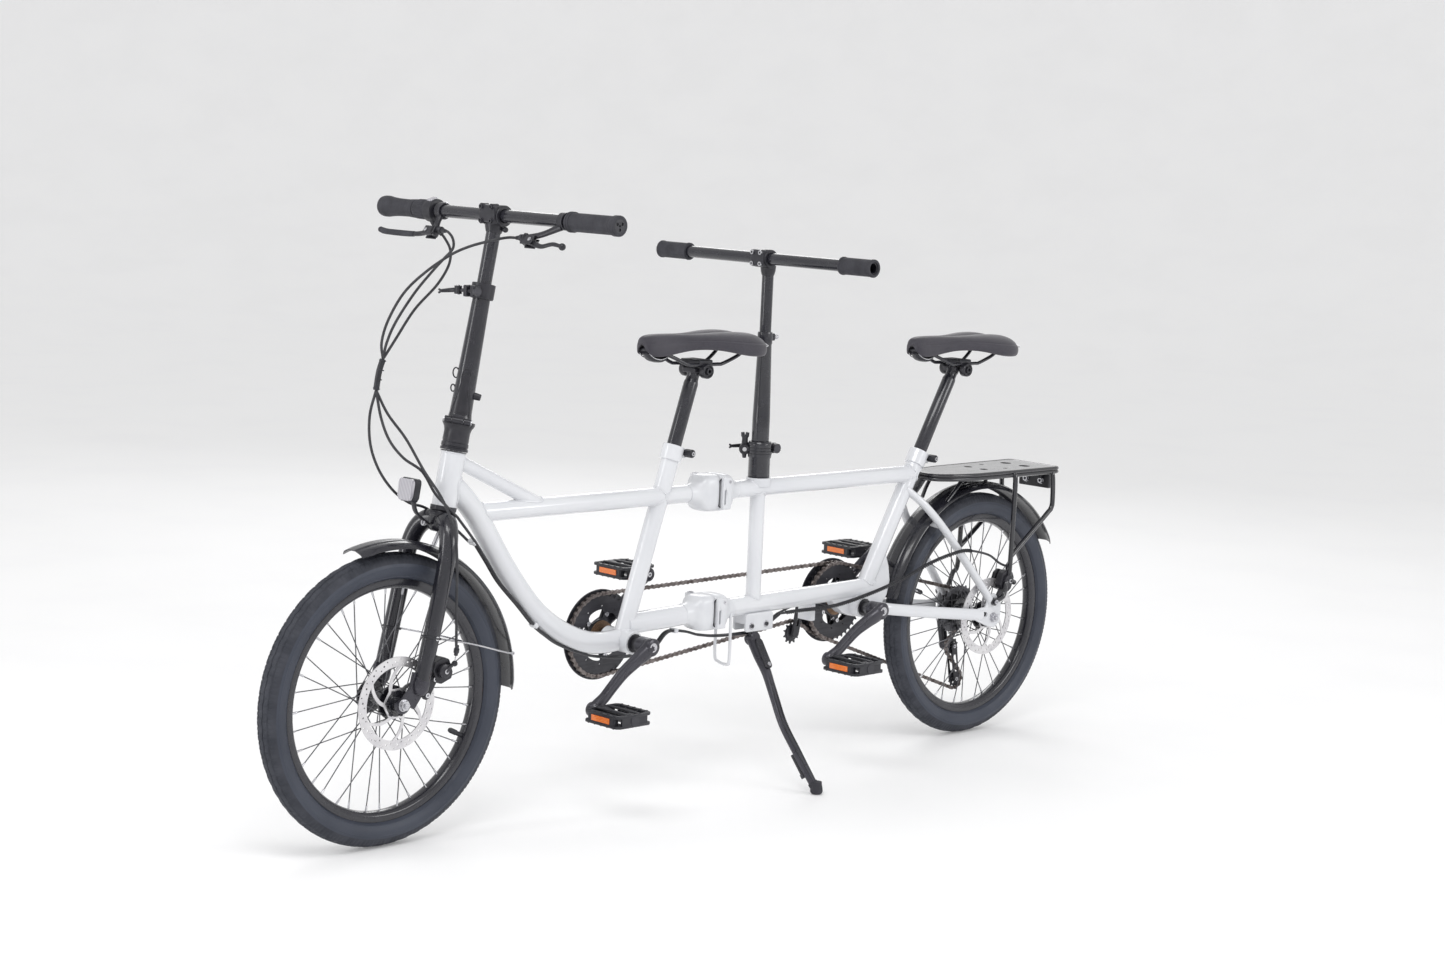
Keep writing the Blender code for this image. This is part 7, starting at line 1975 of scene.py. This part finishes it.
# (across the half width, down the skirt, share of the channel, share of the lobe)
SADDLE_PROFILE = (
    (0.00, 0.00, 1.0, 0.0), (0.10, 0.00, 0.85, 0.1), (0.22, 0.00, 0.15, 0.7), (0.42, 0.02, 0.0, 1.0),
    (0.62, 0.08, 0.0, 0.8), (0.80, 0.20, 0.0, 0.4), (0.915, 0.36, 0.0, 0.1), (0.930, 0.395, 0.0, 0.0),
    (0.962, 0.43, 0.0, 0.0), (1.00, 0.62, 0.0, 0.0), (0.99, 0.84, 0.0, 0.0), (0.95, 0.97, 0.0, 0.0),
    (0.90, 1.00, 0.0, 0.0), (0.84, 0.95, 0.0, 0.0), (0.76, 0.70, 0.0, 0.0), (0.50, 0.52, 0.0, 0.0),
    (0.00, 0.50, 0.0, 0.0),
)


def saddle_cover(head):
    """The padded cover: a channel between two lobes, a seam round its shoulder and a hem turned in below."""
    rings = []
    for ahead, half, top, depth, channel, lobe in SADDLE_ROWS:
        right = []
        for across, down, dip, rise in SADDLE_PROFILE:
            pinch = 0.0012 if down == 0.395 else 0.0
            z = head.z + top - depth * down - channel * dip + lobe * rise
            right.append(Vector((head.x + ahead, -(half * across - pinch), z)))
        left = [Vector((p.x, -p.y, p.z)) for p in reversed(right[1:-1])]
        rings.append(right + left)
    return loft(rings)


def saddle(end, head, body):
    cover = piece(f"{end}_saddle_cover", saddle_cover(head), body, VINYL, f"{end}_saddle", levels=2)
    base_rows = []
    for ahead, half, top, depth, _, _ in SADDLE_ROWS[1:-1]:
        z = head.z + top - depth * 0.74
        base_rows.append([Vector((head.x + ahead * 0.985, half * 0.80 * math.cos(a), z + 0.0045 * math.sin(a)))
                          for a in [math.tau * k / 20 for k in range(20)]])
    piece(f"{end}_saddle_base", loft(base_rows), body, BLACK_PLASTIC, levels=1)
    behind = [Vector((head.x + x, y, head.z + z)) for x, y, z in
              ((-0.1060, 0.0752, 0.0330), (-0.1220, 0.0630, 0.0335), (-0.1318, 0.0430, 0.0345),
               (-0.1335, 0.0200, 0.0350))]
    behind += [Vector((p.x, -p.y, p.z)) for p in reversed(behind)]
    piece(f"{end}_saddle_piping", sweep(smooth(behind, 6), 0.0011, 10), body, STEEL)
    bumper = [(0.1330, 0.0125, 0.0210), (0.1230, 0.0160, 0.0130), (0.1060, 0.0165, 0.0095),
              (0.0900, 0.0150, 0.0130)]
    loops = []
    for side in (1, -1):
        line = smooth([head + Vector((x, side * y, z)) for x, y, z in bumper], 5)
        loops.append(sweep(line, 0.0010, 8))
    piece(f"{end}_saddle_window", joined(loops), body, STEEL)
    nose = [head + Vector((0.1330, 0, 0.0215)), head + Vector((0.1180, 0, 0.0110)),
            head + Vector((0.0960, 0, 0.0085)), head + Vector((0.0800, 0, 0.0150))]
    piece(f"{end}_saddle_nose",
          sweep(smooth(nose, 5), [0.0070, 0.0130, 0.0140, 0.0100], 20, flat=0.42, up=LEFT), body,
          BLACK_PLASTIC)
    rails = []
    for side in (1, -1):
        y = side * 0.0225
        route = [(-0.0880, y * 1.5, 0.0230), (-0.0740, y * 1.35, 0.0120), (-0.0450, y * 1.02, -0.0015),
                 (-0.0300, y, -0.0025), (0.0300, y, -0.0025), (0.0450, y, -0.0005), (0.0700, y * 0.78, 0.0100),
                 (0.0950, y * 0.55, 0.0200), (0.1080, y * 0.40, 0.0240)]
        rails.append(sweep(smooth([head + Vector(p) for p in route], 5), 0.0035, 16))
    piece(f"{end}_saddle_rails", joined(rails), body, BLACK_TUBE)


def seat_post(end, on_axis, up, foot, head, body):
    low, top = on_axis(foot), on_axis(head.z - 0.0100)
    length = (top - low).length
    profile = [(0, 0), (0.0126, 0), (0.0136, 0.0010), (0.0136, length - 0.0300), (0.0130, length - 0.0270),
               (0.0118, length - 0.0240), (0.0116, length - 0.0150), (0.0128, length - 0.0120),
               (0.0132, length), (0, length)]
    piece(f"{end}_post_tube", turn(profile, low, up, 56), body, BLACK_TUBE, f"{end}_seatpost", crease=50)
    centre = head + Vector((0, 0, -0.0100))
    cradle = joined(block((0.0400, 0.0330, 0.0100), centre - UP * 0.0035), block((0.0340, 0.0520, 0.0085),
                    centre + UP * 0.0120))
    piece(f"{end}_rail_cradle", cradle, body, BLACK_CAST, bevel=0.0022)
    barrels, faces = [], []
    across = head + Vector((0, 0, -0.0140))
    for side in (1, -1):
        foot_of = across + LEFT * side * 0.0190
        barrels.append(turn([(0, 0), (0.0125, 0), (0.0140, 0.0020), (0.0140, 0.0120), (0.0128, 0.0142),
                             (0.0100, 0.0142), (0.0095, 0.0125), (0, 0.0125)], foot_of, LEFT * side, 40))
        faces.append(slab(circle(0.0072, 6), 0.0050, upright(across + LEFT * side * 0.0335),
                          [circle(0.0034, 20)]))
    piece(f"{end}_rail_clamp", joined(barrels), body, BLACK_CAST, crease=40)
    piece(f"{end}_rail_clamp_nuts", joined(faces), body, BLACK_PLASTIC, bevel=0.0005)


def seats():
    for end, on_axis, up, foot, height in (("front", on_front_seat, FRONT_SEAT_UP, 0.520, 0.801),
                                           ("rear", on_rear_seat, REAR_SEAT_UP, 0.480, 0.779)):
        head = on_axis(height)
        saddle(end, head, f"{end}_seat")
        seat_post(end, on_axis, up, foot, head, f"{end}_seat")


# Stoker's bar

STOKER_BAR = Vector((-0.107, 0, 0.9915))
STOKER_CLAMP = 0.632


def on_stoker(height):
    return Vector((STOKER_X, 0, height))


def stoker():
    body = "rear_frame"
    low, high = 0.5768, 0.6450
    profile = [(0.0169, low), (0.0200, low), (0.0208, low + 0.0010), (0.0208, 0.6130), (0.0222, 0.6145),
               (0.0226, 0.6180), (0.0226, 0.6370), (0.0232, 0.6385), (0.0232, 0.6410), (0.0218, 0.6430),
               (0.0210, high), (0.0169, high)]
    piece("stoker_socket_tube", turn(profile, (STOKER_X, 0, 0), UP, 72, closed=True), body, BLACK_TUBE,
          "stoker_socket", crease=50)
    behind = on_stoker(STOKER_CLAMP) + Vector((-0.0240, 0, 0))
    ears = [block((0.0180, 0.0090, 0.0200), behind + LEFT * side * 0.0085) for side in (1, -1)]
    piece("stoker_clamp_ears", joined(ears), body, BLACK_CAST, bevel=0.0022)
    through = on_stoker(STOKER_CLAMP) + Vector((-0.0260, 0, 0))
    cross_bolt = joined(rod(through - LEFT * 0.0260, through + LEFT * 0.0200, 0.0044),
                        ribbed_knob(through + LEFT * 0.0132, LEFT, 0.0095, 0.0085, 12))
    piece("stoker_clamp_bolt", cross_bolt, body, BLACK_CAST)
    ribs = [hoop(on_stoker(z), UP, 0.0228, 0.0007, 64) for z in (0.6220, 0.6275, 0.6330)]
    piece("stoker_clamp_ribs", joined(ribs), body, BLACK_CAST)
    way = Vector((0.707, -0.707, 0))
    facing_out = Vector((0.707, 0.707, 0))
    centre = on_stoker(0.6290) + way * 0.0290
    nut = joined(turn([(0, -0.0070), (0.0095, -0.0070), (0.0105, -0.0050), (0.0105, 0.0040), (0.0085, 0.0060),
                       (0, 0.0060)], centre, facing_out, 36),
                 sweep([centre - way * 0.0100, centre - way * 0.0040], [0.0080, 0.0075], 16))
    piece("stoker_clamp_nut", nut, body, BLACK_CAST)
    piece("stoker_clamp_nut_bolt", bolt(centre + facing_out * 0.0058, facing_out, 0.0040, 0.0018), body, STEEL)
    stem = sweep([centre + UP * 0.0060, centre + UP * 0.0200, centre + UP * 0.0260], [0.0062, 0.0056, 0.0070],
                 20, flat=0.6, up=way)
    fork_ends = [sweep([centre + UP * 0.0240 + way * side * 0.0035, centre + UP * 0.0320 + way * side * 0.0048],
                       [0.0040, 0.0034], 14) for side in (1, -1)]
    drop = sweep([centre - UP * 0.0080, centre - UP * 0.0170], [0.0050, 0.0034], 14)
    piece("stoker_clamp_fork", joined(stem, fork_ends, drop), body, BLACK_PLASTIC)

    foot, top = 0.5800, 0.8530
    post = [(0.0112, foot), (0.0158, foot), (0.01665, foot + 0.001), (0.01665, 0.6900), (0.0132, 0.8290),
            (0.0141, 0.8310), (0.0143, 0.8350), (0.0143, 0.8500), (0.0136, top), (0.0112, top)]
    piece("stoker_post_tube", turn(post, (STOKER_X, 0, 0), UP, 64, closed=True), "stoker_post", BLACK_TUBE,
          "stoker_post", crease=50)
    boss = block((0.0120, 0.0120, 0.0140), on_stoker(0.8430) + Vector((-0.0170, 0, 0)))
    piece("stoker_post_boss", boss, "stoker_post", BLACK_CAST, bevel=0.0024)
    pin_root = on_stoker(0.8430) + Vector((-0.0225, 0, 0))
    pin = joined(rod(pin_root, pin_root - FORWARDS * 0.0060, 0.0026),
                 ball(pin_root - FORWARDS * 0.0085, 0.0046))
    piece("stoker_post_pin", pin, "stoker_post", STEEL)

    body = "stoker_bars"
    piece("stoker_riser_tube", rod(on_stoker(0.740), on_stoker(0.9850), 0.0110, sides=44), body, BLACK_TUBE,
          "stoker_riser")
    half = LEFT * 0.0190
    clamp = pipe(STOKER_BAR - half, STOKER_BAR + half, 0.0172, 0.0113, 56)
    neck = loft([circle_at(on_stoker(0.9600), UP, 0.0118), circle_at(on_stoker(0.9680), UP, 0.0140),
                 circle_at(on_stoker(0.9780), UP, 0.0150)])
    plate = block((0.0100, 0.0340, 0.0320), STOKER_BAR + Vector((0.0160, 0, 0.0010)))
    piece("stoker_bar_clamp", joined(clamp, neck), body, BLACK_CAST, crease=45)
    piece("stoker_bar_clamp_plate", plate, body, BLACK_CAST, bevel=0.0032)
    screws = [bolt(STOKER_BAR + Vector((0.0190, side * 0.0105, rise)), FORWARDS, 0.0042, 0.0050)
              for side in (1, -1) for rise in (0.0115, -0.0095)]
    piece("stoker_bar_clamp_bolts", joined(screws), body, STEEL)
    reach = LEFT * 0.2760
    piece("stoker_bar_tube", pipe(STOKER_BAR - reach, STOKER_BAR + reach, BAR_RADIUS, 0.0090, 44), body,
          BLACK_TUBE, "stoker_bar")
    for label, side in (("stoker_left_grip", 1), ("stoker_right_grip", -1)):
        stations = [(0.2000, 0.0150), (0.2010, 0.0166), (0.2040, 0.0168), (0.2055, 0.0154)]
        stations += [(0.2075 + 0.0640 * k / 36, 0.0158 - 0.0003 * (k % 2)) for k in range(37)]
        stations += [(0.2728, 0.0158), (0.2736, 0.0166), (0.2770, 0.0166), (0.2780, 0.0156)]
        stations = [(side * y, r) for y, r in stations]
        piece(f"{label}_sleeve", sleeve(STOKER_BAR, stations), body, GRIP_RUBBER, label, crease=25)


# Carrier and stand


def rounded(outline, radius, steps=5):
    """An outline with its corners rounded."""
    points = []
    count = len(outline)
    for k in range(count):
        before, here, after = (Vector((*outline[(k + d) % count], 0)) for d in (-1, 0, 1))
        into = min(radius, (before - here).length / 2.1, (after - here).length / 2.1)
        start = here + (before - here).normalized() * into
        end = here + (after - here).normalized() * into
        for step in range(steps + 1):
            t = step / steps
            points.append(((start * (1 - t) + here * t) * (1 - t) + (here * (1 - t) + end * t) * t).xy)
    return [(p.x, p.y) for p in points]


def rear_rack():
    body = "rear_frame"
    outline = [(-0.6020, 0.0270), (-0.6420, 0.0500), (-0.6950, 0.0610), (-0.9600, 0.0660)]
    outline += [(x, -y) for x, y in reversed(outline)]
    outline = rounded(outline, 0.016)
    holes = [circle(radius, 24, (x, side * y)) for x, y, radius in
             ((-0.8930, 0.0250, 0.0115), (-0.7650, 0.0210, 0.0085), (-0.8220, 0.0320, 0.0048)) for side in (1,
                                                                                                            -1)]
    level = Matrix.Translation((0, 0, 0.5535))
    piece("rack_plate", slab(outline, 0.0036, level, holes), body, BLACK_GLOSS, "rear_rack", bevel=0.0008)
    rims = [sweep([Vector((x, y, height)) for x, y in outline], 0.0042, 14, closed=True) for height in (0.5520,
                                                                                                        0.5448)]
    piece("rack_rim", joined(rims), body, BLACK_GLOSS)
    tongue = [(-0.5520, 0.0160), (-0.6100, 0.0240), (-0.6100, -0.0240), (-0.5520, -0.0160)]
    piece("rack_tongue", slab(rounded(tongue, 0.006), 0.0040, Matrix.Translation((-0.0330, 0, 0.5440)),
                              [circle(0.0040, 16, (-0.5850, 0))]), body, BLACK_GLOSS, bevel=0.0008)
    fold = sweep(smooth([(-0.5900, 0, 0.5420), (-0.5780, 0, 0.5280), (-0.5660, 0, 0.5150)], 5),
                 [0.0150, 0.0140, 0.0120], 16, flat=0.22, up=LEFT)
    piece("rack_tongue_fold", fold, body, BLACK_GLOSS)
    tubes, ends, feet = [], [], []
    for side in (1, -1):
        leg = [(-0.8120, 0.0600, 0.5500), (-0.8120, 0.0680, 0.5380), (-0.8110, 0.0692, 0.4600),
               (-0.8080, 0.0695, 0.3440),
               (-0.7960, 0.0720, 0.3220), (-0.7860, 0.0748, 0.2960), (-0.7600, 0.0748, 0.2870)]
        strut = [(-0.9350, 0.0600, 0.5500), (-0.9360, 0.0680, 0.5360), (-0.9390, 0.0690, 0.4860),
                 (-0.9350, 0.0690, 0.4680), (-0.9200, 0.0690, 0.4560), (-0.8095, 0.0695, 0.3760)]
        for route in (leg, strut):
            tubes.append(sweep(smooth([(x, side * y, z) for x, y, z in route], 6), 0.0052, 18))
        ends.append(bolt((-0.7580, side * 0.0790, 0.2865), LEFT * side, 0.0048, 0.0030))
        feet.append(turn([(0, -0.0030), (0.0082, -0.0030), (0.0082, 0.0030), (0, 0.0030)],
                         (-0.7580, side * 0.0745, 0.2865), LEFT, 28))
        brace = [(-0.6800, side * 0.0400, 0.5480), (-0.6560, side * 0.0380, 0.5200),
                 (-0.6380, side * 0.0330, 0.4980)]
        tubes.append(sweep(smooth(brace, 5), 0.0050, 14, flat=0.45, up=LEFT))
    piece("rack_tubes", joined(tubes), body, BLACK_GLOSS)
    piece("rack_feet", joined(feet), body, BLACK_GLOSS)
    piece("rack_bolts", joined(ends), body, STEEL)
    housing = block((0.0180, 0.0800, 0.0300), (-0.9680, 0, 0.5200))
    hanger = [block((0.0140, 0.0100, 0.0300), (-0.9560, side * 0.0200, 0.5400)) for side in (1, -1)]
    piece("reflector_housing", joined(housing, hanger), body, BLACK_PLASTIC, bevel=0.0022)
    piece("reflector_lens", block((0.0060, 0.0740, 0.0240), (-0.9790, 0, 0.5200)), body, RED, bevel=0.0016)
    nuts = [hex_nut((-0.9590, side * 0.0200, 0.5200), FORWARDS, 0.0062, 0.0050, 0.0030) for side in (1, -1)]
    piece("reflector_nuts", joined(nuts), body, STEEL)


def kickstand():
    """The bracket's swivel, a ribbed spring plate, the bent leg with its flutes, the adjuster and the foot."""
    body = "kickstand"
    hinge = turn([(0, -0.0120), (0.0098, -0.0120), (0.0110, -0.0108), (0.0110, 0.0108), (0.0098, 0.0120),
                  (0, 0.0120)], KICKSTAND_PIVOT, KICKSTAND_AXIS, 36)
    leg = [KICKSTAND_PIVOT, Vector((-0.1100, 0.0330, 0.2370)), Vector((-0.1120, 0.0540, 0.2040)),
           Vector((-0.1060, 0.0830, 0.1600)), Vector((-0.1010, 0.1120, 0.1180)),
           Vector((-0.1060, 0.1470, 0.0700)), Vector((-0.1130, 0.1835, 0.0200))]
    line = smooth(leg, 6)
    radii = [0.0128, 0.0122, 0.0100, 0.0086, 0.0085, 0.0084, 0.0084]
    piece("kickstand_leg", joined(hinge, sweep(line, radii, 28, flat=0.88, up=FORWARDS)), body, CRANK_GREY,
          "kickstand")
    flutes = []
    for shift in (-0.0042, 0.0042):
        groove = [point + Vector((shift, 0.0052, 0.0040)) for point in line[10:]]
        flutes.append(sweep(groove, [0.0004, 0.0018, 0.0018, 0.0018, 0.0004], 8))
    piece("kickstand_flutes", joined(flutes), body, BLACK_GLOSS)
    down = (leg[2] - leg[0]).normalized()
    sideways = down.cross(FORWARDS).normalized()
    outward = sideways if sideways.y > 0 else -sideways
    matrix = Matrix((down, outward.cross(down), outward)).transposed().to_4x4()
    place = Matrix.Translation(KICKSTAND_PIVOT + down * 0.036 + outward * 0.0128) @ matrix
    plate = slab(stadium((-0.022, 0.0), (0.024, 0.0), 0.0085, 0.0078), 0.0038, place)
    ribs = [sweep([place @ Vector((-0.016 + 0.0052 * k, -0.0058, 0.0019)),
                   place @ Vector((-0.016 + 0.0052 * k, 0.0058,
                                                                                        0.0019))], 0.0009, 8)
            for k in range(7)]
    piece("kickstand_plate", joined(plate, ribs), body, BLACK_CAST, bevel=0.0006)
    piece("kickstand_plate_bolt", bolt(place @ Vector((0.0240, 0, 0.0018)), outward, 0.0040, 0.0022), body,
          STEEL)
    shaft = [line[30] + Vector((0.004, -0.0075, -0.004)), line[34] + Vector((0.004, -0.0085, -0.004))]
    knob = joined(rod(shaft[0], shaft[1], 0.0040),
                  ribbed_knob(shaft[1], shaft[1] - shaft[0], 0.0056, 0.0080, 10))
    piece("kickstand_adjuster", knob, body, BLACK_PLASTIC)
    sole = Vector((-0.1150, 0.1930, 0.0062))
    boot = [(0, -0.0052), (0.0086, -0.0052), (0.0112, -0.0030), (0.0120, 0.0012), (0.0112, 0.0070),
            (0.0098, 0.0140), (0.0094, 0.0180), (0, 0.0180)]
    shoe = turn(boot, sole + Vector((0, 0, -0.0006)), UP, 32)
    ankle = rod(sole + UP * 0.004, leg[-1], 0.0104, 0.0096, 28)
    piece("kickstand_foot", joined(shoe, ankle), body, GRIP_RUBBER)


camera()
studio()
wheels()
hinges()
front_frame()
rear_frame()
fork()
mudguards()
calipers()
front_lamp()
cockpit()
drive()
seats()
stoker()
rear_rack()
kickstand()
